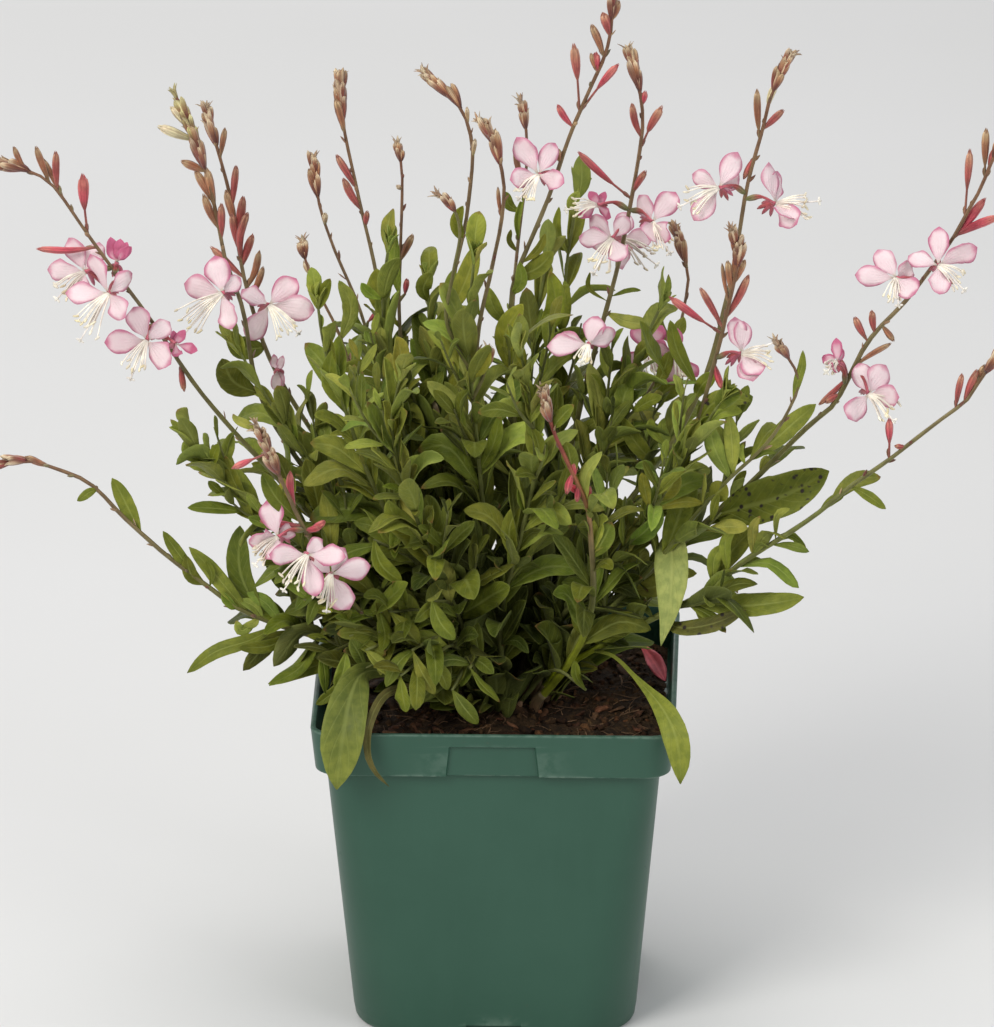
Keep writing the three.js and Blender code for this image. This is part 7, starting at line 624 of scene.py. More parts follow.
        {"pts": [[-103.6, -37.8, 217.6], [-109.3, -39.9, 221.5], [-108.8, -40.5, 228.3]], "w": 5.1, "tone": 0.75},
        {"pts": [[-98.6, -35.5, 210.7], [-101.6, -38.5, 216.4], [-98.8, -39.4, 225.7]], "w": 4.0, "tone": 0.6},
    ],
    "flower_stem_16": [
        {"pts": [[22.1, 5.9, 132.1], [19.3, 3.3, 141.5], [17.3, 2.5, 149.8]], "w": 6.5, "tone": 0.5},
    ],
    "flower_stem_17": [
        {"pts": [[78.0, -21.8, 165.1], [78.5, -23.9, 176.7], [82.3, -24.5, 182.3]], "w": 5.1, "tone": 0.8},
        {"pts": [[84.4, -23.3, 171.2], [82.4, -25.6, 183.5], [86.6, -26.3, 189.6]], "w": 4.3, "tone": 0.85},
        {"pts": [[92.6, -25.2, 178.6], [92.4, -27.1, 189.8], [95.2, -27.7, 195.2]], "w": 4.0, "tone": 0.8},
        {"pts": [[101.3, -27.2, 185.3], [101.3, -29.1, 195.3], [105.9, -29.6, 198.7]], "w": 3.2, "tone": 0.75},
        {"pts": [[71.1, -20.2, 159.7], [74.7, -22.4, 155.3], [78.1, -23.0, 149.6]], "w": 4.7, "tone": 0.45},
        {"pts": [[37.7, -13.1, 138.2], [31.7, -16.0, 148.5], [28.6, -16.8, 157.5]], "w": 7.2, "tone": 0.34},
    ],
    "flower_stem_10": [
        {"pts": [[6.8, 82.9, 269.0], [2.2, 81.2, 273.8], [1.2, 80.8, 279.1]], "w": 4.0, "tone": 0.55},
        {"pts": [[5.8, 79.1, 260.8], [5.4, 76.3, 269.6], [7.5, 75.4, 278.7]], "w": 2.9, "tone": 0.95},
        {"pts": [[5.3, 77.2, 256.6], [2.6, 75.7, 261.9], [3.1, 75.3, 266.7]], "w": 2.5, "tone": 0.55},
    ],
    "flower_stem_03": [
        {"pts": [[-85.2, 41.4, 231.7], [-93.3, 39.1, 232.7], [-99.3, 38.4, 236.7]], "w": 8.7, "tone": 0.3},
        {"pts": [[-53.3, 28.4, 179.3], [-58.3, 23.9, 192.9], [-61.1, 22.6, 207.3]], "w": 7.9, "tone": 0.42},
    ],
    "flower_stem_02": [
        {"pts": [[-86.3, 20.6, 221.8], [-95.6, 17.5, 228.1], [-99.8, 16.6, 237.0]], "w": 9.4, "tone": 0.35},
        {"pts": [[-44.3, 14.5, 160.3], [-52.1, 10.9, 170.5], [-60.8, 9.9, 177.3]], "w": 7.2, "tone": 0.4},
    ],
    "flower_stem_01": [
        {"pts": [[-62.4, -3.0, 178.6], [-65.8, -7.2, 195.8], [-68.6, -8.5, 209.3]], "w": 7.2, "tone": 0.4},
    ],
    "leafy_shoot_11": [
        {"pts": [[-10.5, -17.2, 141.3], [-13.6, -19.7, 149.3], [-20.0, -20.4, 153.8]], "w": 5.8, "tone": 0.3},
    ],
    "leafy_shoot_12": [
        {"pts": [[7.0, -29.6, 177.6], [5.1, -33.3, 191.1], [9.2, -34.5, 202.7]], "w": 6.1, "tone": 0.5},
    ],
}

# Flowers half hidden among the leaves; each belongs to its spike.
HALF_HIDDEN = {
    "flower_stem_15": [
        {"name": "half_hidden_71", "c": [53.6, 48.0, 229.9], "att": [58.4, 64.3, 216.1], "pet": [[-4.8, 5.9, 8.6], [-9.9, 1.2, -5.8], [5.2, 7.4, 7.1], [6.6, 2.9, -9.0]], "stam": [1.6, -7.1, -7.3], "open": 1.0, "pink": 0.62},
        {"name": "half_hidden_72", "c": [63.8, 46.0, 228.1], "att": [59.4, 65.2, 217.9], "pet": [[-0.6, 6.2, 9.7], [7.8, 1.4, -8.3], [-9.4, 6.3, 2.1], [-2.4, 1.5, -11.1]], "stam": [3.1, -6.6, -6.3], "open": 1.0, "pink": 0.55},
    ],
    "flower_stem_12": [
        {"name": "half_hidden_75", "c": [43.1, 62.0, 268.0], "att": [42.3, 42.6, 262.5], "pet": [[0.5, -1.8, -11.4], [11.8, 3.1, -1.1], [-9.9, 3.1, -5.1], [2.8, 8.5, 7.3]], "stam": [11.7, -6.3, -6.0], "open": 1.0, "pink": 0.42},
    ],
    "flower_stem_19": [
        {"name": "half_hidden_73", "c": [-57.5, -66.0, 185.8], "att": [-56.9, -46.0, 175.4], "pet": [[14.0, 3.1, 2.1], [6.7, -1.8, -12.7], [5.0, 7.4, 7.3], [-7.2, 8.2, 3.8]], "stam": [-2.7, -7.7, -8.7], "open": 1.0, "pink": 0.08},
    ],
    "flower_stem_03": [
        {"name": "half_hidden_74", "c": [-80.5, 30.0, 227.6], "att": [-79.3, 38.7, 219.9], "pet": [[-1.2, 4.0, 5.0], [2.0, 4.8, 4.0], [-0.4, 1.0, -8.5], [1.4, 2.4, -7.9]], "stam": [-2.4, -5.1, -1.9], "open": 0.5, "pink": 0.3},
    ],
}

# Single small buds; where there are more than two points, the first ones are its stalk.
SMALL_BUDS = {
    "leafy_shoot_06": [
        {"pts": [[-9.5, -10.2, 243.2], [-17.7, -10.5, 261.6], [-15.5, -10.8, 279.7], [-13.0, -11.1, 293.9], [-14.0, -11.4, 302.4], [-16.9, -11.7, 307.0], [-20.1, -12.0, 310.1]], "w": 8.5, "col": 9},
        {"pts": [[-8.5, -9.2, 231.9], [-5.1, -9.5, 239.2], [-3.7, -9.8, 244.7], [-3.0, -10.1, 250.1]], "w": 8.0, "col": 9},
    ],
    "leafy_shoot_05": [
        {"pts": [[-21.1, 31.1, 202.3], [-21.5, 30.8, 208.5], [-23.7, 30.5, 215.2]], "w": 2.6, "col": 4},
    ],
    "flower_stem_05": [
        {"pts": [[-49.6, 69.6, 229.0], [-48.9, 69.3, 232.0], [-42.3, 69.0, 238.7]], "w": 2.8, "col": 2},
    ],
    "flower_stem_07": [
        {"pts": [[-36.7, 43.7, 249.7], [-34.5, 43.4, 252.4], [-33.8, 43.1, 258.0]], "w": 2.4, "col": 2},
    ],
}

# ------------------------------------------------------------------ helpers
MM = 0.001
UP = np.array([0.0, 0.0, 1.0])
FRONT = np.array([0.0, -0.94, 0.34])
TAU = 2 * math.pi


def unit(v):
    v = np.asarray(v, float)
    return v / (np.linalg.norm(v) + 1e-12)


def A(*x):
    return np.array(x, float)


def rot(v, axis, ang):
    axis = unit(axis)
    return v * math.cos(ang) + np.cross(axis, v) * math.sin(ang) + axis * (axis @ v) * (1 - math.cos(ang))


def spline(P, n):
    """n points evenly spaced along a smooth curve through P."""
    P = np.asarray(P, float)
    if len(P) == 2:
        return P[0] + (P[1] - P[0]) * np.linspace(0, 1, n)[:, None]
    Q = np.vstack([2 * P[0] - P[1], P, 2 * P[-1] - P[-2]])
    k = np.linspace(0, 1, 9)[:-1][:, None]
    out = []
    for i in range(1, len(Q) - 2):
        a, b, c, d = Q[i - 1], Q[i], Q[i + 1], Q[i + 2]
        out.append(0.5 * (2 * b + (c - a) * k + (2 * a - 5 * b + 4 * c - d) * k ** 2 + (3 * b - a - 3 * c + d) * k ** 3))
    out = np.vstack(out + [P[-1:]])
    s = np.concatenate([[0], np.cumsum(np.linalg.norm(np.diff(out, axis=0), axis=1))])
    u = np.linspace(0, s[-1], n)
    return np.stack([np.interp(u, s, out[:, i]) for i in range(3)], 1)


def smooth(x, a, b):
    u = np.clip((np.asarray(x, float) - a) / (b - a), 0, 1)
    return u * u * (3 - 2 * u)


class Line:
    """A stem's centre line, to root things on."""

    def __init__(self, P):
        n = max(8, int(np.linalg.norm(np.diff(P, axis=0), axis=1).sum() / 2.0))
        self.P = spline(P, n)
        self.T = np.gradient(self.P, axis=0)
        self.T /= np.linalg.norm(self.T, axis=1)[:, None]
        self.s = np.concatenate([[0], np.cumsum(np.linalg.norm(np.diff(self.P, axis=0), axis=1))])
        self.len = self.s[-1]

    def at(self, s):
        i = min(len(self.P) - 1, int(np.searchsorted(self.s, s)))
        return self.P[i], self.T[i]

    def near(self, p):
        i = int(np.argmin(((self.P - np.asarray(p)) ** 2).sum(1)))
        return self.P[i], self.T[i], self.s[i]


class Shape:
    """Vertices, faces and two colour attributes, gathered and made into one mesh."""

    def __init__(self):
        self.v, self.tint, self.info, self.q, self.t, self.qm, self.tm, self.n = [], [], [], [], [], [], [], 0

    def add(self, v, tint, info, quads=None, tris=None, mat=0):
        v = np.asarray(v, float).reshape(-1, 3)
        k = len(v)
        self.v.append(v)
        self.tint.append(np.broadcast_to(np.asarray(tint, float), (k, 4)).copy())
        self.info.append(np.broadcast_to(np.asarray(info, float), (k, 4)).copy())
        if quads is not None and len(quads):
            self.q.append(np.asarray(quads) + self.n)
            self.qm.append(np.full(len(quads), mat))
        if tris is not None and len(tris):
            self.t.append(np.asarray(tris) + self.n)
            self.tm.append(np.full(len(tris), mat))
        self.n += k

    def build(self, name, mats, slot, nodes=(), smooth_angle=None):
        me = bpy.data.meshes.new(name)
        v = np.concatenate(self.v) * MM
        q = np.concatenate(self.q) if self.q else np.zeros((0, 4), int)
        t = np.concatenate(self.t) if self.t else np.zeros((0, 3), int)
        mi = np.concatenate([np.concatenate(self.qm) if self.qm else np.zeros(0, int), np.concatenate(self.tm) if self.tm else np.zeros(0, int)])
        me.vertices.add(len(v))
        me.vertices.foreach_set("co", v.astype(np.float32).ravel())
        me.loops.add(len(q) * 4 + len(t) * 3)
        me.loops.foreach_set("vertex_index", np.concatenate([q.ravel(), t.ravel()]).astype(np.int32))
        me.polygons.add(len(q) + len(t))
        me.polygons.foreach_set("loop_start", np.concatenate([np.arange(len(q)) * 4, len(q) * 4 + np.arange(len(t)) * 3]).astype(np.int32))
        me.polygons.foreach_set("material_index", mi.astype(np.int32))
        me.polygons.foreach_set("use_smooth", np.ones(len(q) + len(t), bool))
        me.update(calc_edges=True)
        for label, data in (("tint", self.tint), ("info", self.info)):
            at = me.attributes.new(label, "FLOAT_COLOR", "POINT")
            at.data.foreach_set("color", np.concatenate(data).astype(np.float32).ravel())
        for m in mats:
            me.materials.append(m)
        if smooth_angle:
            me.set_sharp_from_angle(angle=math.radians(smooth_angle))
        me.validate()
        ob = bpy.data.objects.new(name, me)
        bpy.context.scene.collection.objects.link(ob)
        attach(ob, "root")
        if nodes:
            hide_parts(*nodes)
        return ob


def grid_faces(n, nc):
    """Closed double-sided sheet: n x nc on top, the same below."""
    i, j = np.meshgrid(np.arange(n - 1), np.arange(nc - 1), indexing="ij")
    a = (i * nc + j).ravel()
    top = np.stack([a, a + nc, a + nc + 1, a + 1], 1)
    o = n * nc
    bot = np.stack([a, a + 1, a + nc + 1, a + nc], 1) + o
    i = np.arange(n - 1) * nc
    l = np.stack([i, i + o, i + nc + o, i + nc], 1)
    i = i + nc - 1
    r = np.stack([i, i + nc, i + nc + o, i + o], 1)
    j = np.arange(nc - 1)
    b = np.stack([j, j + 1, j + 1 + o, j + o], 1)
    j = j + (n - 1) * nc
    e = np.stack([j, j + o, j + 1 + o, j + 1], 1)
    return np.vstack([top, bot, l, r, b, e])


FACES = {}


def frames(P, hint, twist=None):
    T = np.gradient(P, axis=0)
    T /= np.linalg.norm(T, axis=1)[:, None]
    h = np.broadcast_to(np.asarray(hint, float), T.shape)
    N = h - (T * h).sum(1)[:, None] * T
    ln = np.linalg.norm(N, axis=1)
    bad = ln < 0.15
    if bad.any():
        good = np.where(~bad)[0]
        for k in np.where(bad)[0]:
            g = good[np.argmin(abs(good - k))] if len(good) else None
            src = N[g] if g is not None else np.cross(T[k], A(1, 0.1, 0))
            N[k] = src - T[k] * (T[k] @ src)
    N /= np.linalg.norm(N, axis=1)[:, None]
    S = np.cross(N, T)
    if twist is not None:
        c, s = np.cos(twist)[:, None], np.sin(twist)[:, None]
        N, S = N * c + S * s, S * c - N * s
    return T, N, S


def blade(sh, P, hint, half, nc=5, thick=0.3, fold=0.2, curl=0.0, wave=0.0, waves=3.0, phase=0.0, twist=0.0,
          tint=None, rnd=0.5, mat=0, spots=0.0, asym=0.0, teeth=0.0, tooth_n=3.0, ts=None):
    """A leaf or petal: P is its midrib, half its half width at each station."""
    n = len(P)
    t = np.linspace(0, 1, n) if ts is None else ts
    T, N, S = frames(P, hint, t * twist if twist else None)
    s = np.linspace(-1, 1, nc)[None, :]
    w = np.asarray(half)[:, None]
    tt = t[:, None]
    if teeth:
        # shallow forward-pointing teeth, staggered from side to side
        ph = tt * tooth_n + np.where(s > 0, 0.0, 0.45) + phase
        saw = (ph - np.floor(ph)) ** 1.6
        w = w * (1 + teeth * (saw - 0.45) * np.abs(s) ** 3 * smooth(tt, 0.25, 0.5) * (1 - smooth(tt, 0.93, 1.0)))
    lift = fold * np.abs(s) * w - curl * s ** 2 * w
    lift = lift + wave * np.sin(TAU * waves * tt + phase + np.where(s > 0, 1.3, 0)) * s ** 2 * np.minimum(w, 4.0)
    lift = lift + asym * s * w
    squeeze = 1.0 / math.sqrt(1 + fold ** 2)
    top = P[:, None] + S[:, None] * (s * w * squeeze)[:, :, None] + N[:, None] * lift[:, :, None]
    nr = N[:, None] - S[:, None] * (np.sign(s) * fold * (np.abs(s) > 0.05) - 2 * curl * s)[:, :, None]
    nr /= np.linalg.norm(nr, axis=2)[:, :, None]
    th = thick * (0.4 + 0.6 * (1 - s ** 2)) * np.clip(np.asarray(half)[:, None] / 0.8, 0.35, 1)
    low = top - nr * th[:, :, None]
    key = (n, nc)
    if key not in FACES:
        FACES[key] = grid_faces(n, nc)
    g = np.zeros((2, n, nc, 4))
    g[..., 0] = tt
    g[..., 1] = s * 0.5 + 0.5
    g[..., 2] = rnd
    g[1, ..., 3] = 1.0
    col = np.ones((2, n, nc, 4))
    col[..., :3] = tint if callable(tint) is False else tint(tt, s)
    col[..., 3] = spots
    sh.add(np.concatenate([top.reshape(-1, 3), low.reshape(-1, 3)]), col.reshape(-1, 4), g.reshape(-1, 4), quads=FACES[key], mat=mat)


def tube(sh, P, r, sides=8, tint=(0.2, 0.2, 0.1, 1), rnd=0.5, mat=0, ridges=0.0, ridge_n=4, t0=0.0, t1=1.0, squash=1.0, hint=None):
    """A round-sectioned solid along P with a radius at each station."""
    P = np.asarray(P, float)
    n = len(P)
    r = np.broadcast_to(np.asarray(r, float), (n,))
    T = np.gradient(P, axis=0)
    T /= np.linalg.norm(T, axis=1)[:, None]
    N = np.zeros_like(P)
    u = np.asarray(hint, float) if hint is not None else (A(0.3, -1, 0.2) if abs(T[0][1]) < 0.9 else A(1, 0, 0.1))
    u = unit(u - T[0] * (T[0] @ u))
    for i in range(n):
        u = unit(u - T[i] * (T[i] @ u))
        N[i] = u
    B = np.cross(T, N)
    a = np.arange(sides) * TAU / sides
    rr = r[:, None] * (1 + ridges * np.cos(ridge_n * a)[None])
    ring = P[:, None] + N[:, None] * (rr * np.cos(a) * squash)[:, :, None] + B[:, None] * (rr * np.sin(a))[:, :, None]
    v = np.concatenate([ring.reshape(-1, 3), P[:1], P[-1:]])
    i, k = np.meshgrid(np.arange(n - 1), np.arange(sides), indexing="ij")
    i, k = i.ravel(), k.ravel()
    k2 = (k + 1) % sides
    q = np.stack([i * sides + k, i * sides + k2, (i + 1) * sides + k2, (i + 1) * sides + k], 1)
    k = np.arange(sides)
    k2 = (k + 1) % sides
    c0, c1 = n * sides, n * sides + 1
    tr = np.vstack([np.stack([np.full(sides, c0), k2, k], 1), np.stack([np.full(sides, c1), (n - 1) * sides + k, (n - 1) * sides + k2], 1)])
    t = np.linspace(t0, t1, n)
    info = np.zeros((n * sides + 2, 4))
    info[:-2, 0] = np.repeat(t, sides)
    info[-2, 0], info[-1, 0] = t[0], t[-1]
    info[:-2, 1] = np.tile(a / TAU, n)
    info[:, 2] = rnd
    if callable(tint):
        c = tint(t)
        col = np.ones((n * sides + 2, 4))
        col[:-2, :3] = np.repeat(c, sides, axis=0)
        col[-2, :3], col[-1, :3] = c[0], c[-1]
    else:
        col = np.ones((n * sides + 2, 4))
        col[:, :3] = np.asarray(tint)[:3]
    sh.add(v, col, info, quads=q, tris=tr, mat=mat)


def mix(a, b, f):
    f = np.asarray(f, float)
    if f.ndim:
        f = f[..., None]
    return np.asarray(a) * (1 - f) + np.asarray(b) * f


def ramp(x, stops):
    """Colour at x on a list of (place, colour)."""
    xs = [p for p, _ in stops]
    return np.stack([np.interp(x, xs, [c[i] for _, c in stops]) for i in range(3)], -1)



# ---------------------------------------------------------------- materials
def new_material(name):
    m = bpy.data.materials.new(name)
    m.use_nodes = True
    nt = m.node_tree
    nt.nodes.clear()
    out = nt.nodes.new("ShaderNodeOutputMaterial")
    b = nt.nodes.new("ShaderNodeBsdfPrincipled")
    nt.links.new(b.outputs[0], out.inputs[0])
    return m, nt, b


class Nodes:
    """Short forms for wiring node materials."""

    def __init__(self, nt):
        self.nt = nt

    def new(self, kind, **kw):
        n = self.nt.nodes.new(kind)
        for k, v in kw.items():
            setattr(n, k, v)
        return n

    def put(self, sock, v):
        if isinstance(v, (int, float)):
            sock.default_value = v
        elif isinstance(v, (tuple, list)):
            sock.default_value = v
        else:
            self.nt.links.new(v, sock)

    def math(self, op, a, b=None, c=None, clamp=False):
        n = self.new("ShaderNodeMath", operation=op, use_clamp=clamp)
        self.put(n.inputs[0], a)
        if b is not None:
            self.put(n.inputs[1], b)
        if c is not None:
            self.put(n.inputs[2], c)
        return n.outputs[0]

    def range(self, v, a, b, c=0.0, d=1.0, smooth=True):
        n = self.new("ShaderNodeMapRange", interpolation_type="SMOOTHSTEP" if smooth else "LINEAR")
        self.put(n.inputs[0], v)
        for i, x in enumerate((a, b, c, d)):
            n.inputs[i + 1].default_value = x
        return n.outputs[0]

    def mix(self, f, a, b, blend="MIX"):
        n = self.new("ShaderNodeMix", data_type="RGBA", blend_type=blend)
        n.clamp_factor = True
        self.put(n.inputs[0], f)
        self.put(n.inputs[6], a if not isinstance(a, tuple) else (*a[:3], 1))
        self.put(n.inputs[7], b if not isinstance(b, tuple) else (*b[:3], 1))
        return n.outputs[2]

    def noise(self, scale, detail=3.0, rough=0.55, coord=None, dist=0.0):
        n = self.new("ShaderNodeTexNoise")
        n.inputs["Scale"].default_value = scale
        n.inputs["Detail"].default_value = detail
        n.inputs["Roughness"].default_value = rough
        n.inputs["Distortion"].default_value = dist
        if coord is not None:
            self.nt.links.new(coord, n.inputs["Vector"])
        return n.outputs["Fac"]

    def voronoi(self, scale, coord, feature="F1", rnd=1.0):
        n = self.new("ShaderNodeTexVoronoi", feature=feature)
        n.inputs["Scale"].default_value = scale
        n.inputs["Randomness"].default_value = rnd
        self.nt.links.new(coord, n.inputs["Vector"])
        return n

    def object_coord(self):
        return self.new("ShaderNodeTexCoord").outputs["Object"]

    def attribute(self, name):
        n = self.new("ShaderNodeAttribute", attribute_type="GEOMETRY", attribute_name=name)
        return n

    def info(self):
        at = self.attribute("info")
        sep = self.new("ShaderNodeSeparateColor")
        self.nt.links.new(at.outputs["Color"], sep.inputs[0])
        return sep.outputs[0], sep.outputs[1], sep.outputs[2], at.outputs["Alpha"]

    def bump(self, height, distance, strength=1.0, normal=None):
        n = self.new("ShaderNodeBump")
        n.inputs["Strength"].default_value = strength
        n.inputs["Distance"].default_value = distance
        self.nt.links.new(height, n.inputs["Height"])
        if normal is not None:
            self.nt.links.new(normal, n.inputs["Normal"])
        return n.outputs[0]


def setp(b, **kw):
    for k, v in kw.items():
        b.inputs[k.replace("_", " ")].default_value = v


def leaf_material():
    m, nt, b = new_material("gaura_leaf")
    N = Nodes(nt)
    tint = N.attribute("tint")
    t, s01, rnd, under = N.info()
    co = N.object_coord()
    s = N.math("ABSOLUTE", N.math("MULTIPLY_ADD", s01, 2.0, -1.0))
    rib = N.math("MULTIPLY", N.range(s, 0.03, 0.17, 1.0, 0.0), N.range(t, 0.55, 1.0, 1.0, 0.25))
    ph = N.math("SUBTRACT", N.math("MULTIPLY", t, 9.0), N.math("MULTIPLY", s, 2.1))
    ph = N.math("ADD", ph, N.math("MULTIPLY", rnd, 7.0))
    v = N.math("MULTIPLY", N.math("ABSOLUTE", N.math("SUBTRACT", N.math("FRACT", ph), 0.5)), 2.0)
    vein = N.math("MULTIPLY", N.range(v, 0.72, 1.0), N.range(s, 0.8, 1.0, 1.0, 0.0))
    vein = N.math("MULTIPLY", vein, N.math("SUBTRACT", 1.0, rib))
    blotch = N.noise(260.0, 3.0, 0.6, co)
    grain = N.noise(2300.0, 2.0, 0.6, co)
    c = tint.outputs["Color"]
    dark = N.mix(1.0, c, (0.55, 0.62, 0.55), "MULTIPLY")
    lite = N.mix(1.0, c, (1.38, 1.28, 1.25), "MULTIPLY")
    col = N.mix(N.range(blotch, 0.34, 0.68), dark, lite)
    col = N.mix(0.45, c, col)
    pale = N.mix(0.5, lite, (0.30, 0.34, 0.10))
    col = N.mix(N.math("MULTIPLY", rib, 0.62), col, pale)
    col = N.mix(N.math("MULTIPLY", vein, 0.22), col, pale)
    # pale margins: a painted backlight rim
    edge = N.range(s, 0.86, 1.0)
    col = N.mix(N.math("MULTIPLY", edge, 0.28), col, pale)
    back = N.mix(0.35, col, (0.22, 0.25, 0.075))
    col = N.mix(N.math("MULTIPLY", under, 0.75), col, back)
    spots = N.voronoi(360.0, co)
    spot = N.math("MULTIPLY", N.range(spots.outputs["Distance"], 0.20, 0.40, 1.0, 0.0), N.range(N.noise(220.0, 1.0, 0.5, co), 0.42, 0.50))
    col = N.mix(N.math("MULTIPLY", spot, tint.outputs["Alpha"]), col, (0.030, 0.022, 0.018))
    tipred = N.math("MULTIPLY", N.range(t, 0.9, 1.0), N.range(rnd, 0.72, 0.9))
    col = N.mix(N.math("MULTIPLY", tipred, 0.55), col, (0.22, 0.07, 0.03))
    nt.links.new(col, b.inputs["Base Color"])
    nt.links.new(N.range(N.noise(500.0, 2.0, 0.5, co), 0.2, 0.8, 0.48, 0.66), b.inputs["Roughness"])
    h = N.math("ADD", N.math("MULTIPLY", rib, -0.75), N.math("MULTIPLY", vein, -0.4))
    h = N.math("ADD", h, N.math("MULTIPLY", grain, 0.16))
    h = N.math("ADD", h, N.math("MULTIPLY", blotch, 0.5))
    nt.links.new(N.bump(h, 0.00035, 0.75), b.inputs["Normal"])
    setp(b, Specular_IOR_Level=0.20, Sheen_Weight=0.02, Sheen_Roughness=0.5)
    return m


def petal_material():
    m, nt, b = new_material("gaura_petal")
    N = Nodes(nt)
    tint = N.attribute("tint")
    t, s01, rnd, under = N.info()
    co = N.object_coord()
    c = tint.outputs["Color"]
    fan = N.math("SINE", N.math("MULTIPLY", N.math("SUBTRACT", s01, 0.5), 46.0))
    fan = N.math("MULTIPLY", N.range(fan, 0.1, 1.0), N.range(t, 0.1, 0.75, 1.0, 0.15))
    n1 = N.noise(420.0, 4.0, 0.6, co)
    # the irregular deep pink margin
    s = N.math("ABSOLUTE", N.math("MULTIPLY_ADD", s01, 2.0, -1.0))
    wob = N.math("MULTIPLY_ADD", N.noise(240.0, 3.0, 0.6, co), 0.44, -0.22)
    rim = N.math("MULTIPLY", N.range(N.math("ADD", s, wob), 0.60, 0.96), N.range(t, 0.14, 0.42))
    rim = N.math("MAXIMUM", rim, N.range(N.math("ADD", t, N.math("MULTIPLY", wob, 0.5)), 0.81, 0.97))
    c = N.mix(N.math("MULTIPLY", N.math("MULTIPLY", rim, 0.88), tint.outputs["Alpha"]), c, (0.53, 0.115, 0.225))
    col = N.mix(N.math("MULTIPLY", fan, 0.08), c, (0.86, 0.52, 0.63))
    col = N.mix(N.range(n1, 0.45, 0.75, 0.0, 0.15), col, N.mix(1.0, c, (1.0, 0.72, 0.84), "MULTIPLY"))
    col = N.mix(N.math("MULTIPLY", under, 0.35), col, N.mix(1.0, c, (0.97, 0.70, 0.82), "MULTIPLY"))
    nt.links.new(col, b.inputs["Base Color"])
    nt.links.new(N.range(n1, 0.2, 0.8, 0.5, 0.66), b.inputs["Roughness"])
    h = N.math("ADD", N.math("MULTIPLY", fan, 0.5), N.math("MULTIPLY", n1, 0.9))
    h = N.math("ADD", h, N.math("MULTIPLY", N.noise(190.0, 2.0, 0.5, co), 1.6))
    nt.links.new(N.bump(h, 0.00040, 0.7), b.inputs["Normal"])
    setp(b, Specular_IOR_Level=0.3, Sheen_Weight=0.1, Sheen_Roughness=0.4, Subsurface_Weight=0.12, Subsurface_Scale=0.002)
    b.inputs["Subsurface Radius"].default_value = (1.0, 0.6, 0.7)
    return m


def herb_material(name, streak=30.0, rough=(0.42, 0.62), bumpy=0.00018, sheen=0.15, bend=0.0, streaky=0.30, pale=(1.32, 1.30, 1.22)):
    """Stems, buds, sepals and filaments: lengthwise streaks over the tint, partly their own streaking, partly painted
    highlight on the ridge crests and painted shade in the grooves.
    """
    m, nt, b = new_material(name)
    N = Nodes(nt)
    tint = N.attribute("tint")
    t, ang, rnd, under = N.info()
    co = N.object_coord()
    c = tint.outputs["Color"]
    warp = N.noise(380.0, 2.0, 0.5, co)
    line = N.math("SINE", N.math("ADD", N.math("ADD", N.math("MULTIPLY", ang, streak), N.math("MULTIPLY", rnd, 20.0)), N.math("MULTIPLY", warp, bend)))
    fleck = N.noise(900.0, 3.0, 0.6, co)
    patch = N.noise(170.0, 2.0, 0.5, co)
    dark = N.mix(1.0, c, (0.60, 0.52, 0.50), "MULTIPLY")
    lite = N.mix(1.0, c, pale, "MULTIPLY")
    col = N.mix(N.range(patch, 0.35, 0.66), dark, lite)
    col = N.mix(0.55, c, col)
    # painted highlight on the ridge crests and painted shade in the grooves, over the own streak colour
    col = N.mix(N.range(line, 0.1, 1.0, 0.0, streaky), col, lite)
    col = N.mix(N.range(line, -1.0, -0.4, streaky, 0.0), col, dark)
    col = N.mix(N.range(fleck, 0.56, 0.74, 0.0, 0.35), col, dark)
    nt.links.new(col, b.inputs["Base Color"])
    nt.links.new(N.range(fleck, 0.25, 0.8, rough[0], rough[1]), b.inputs["Roughness"])
    h = N.math("ADD", N.math("MULTIPLY", line, 0.35), N.math("MULTIPLY", fleck, 0.6))
    nt.links.new(N.bump(h, bumpy, 0.7), b.inputs["Normal"])
    setp(b, Specular_IOR_Level=0.32, Sheen_Weight=sheen, Sheen_Roughness=0.5)
    return m


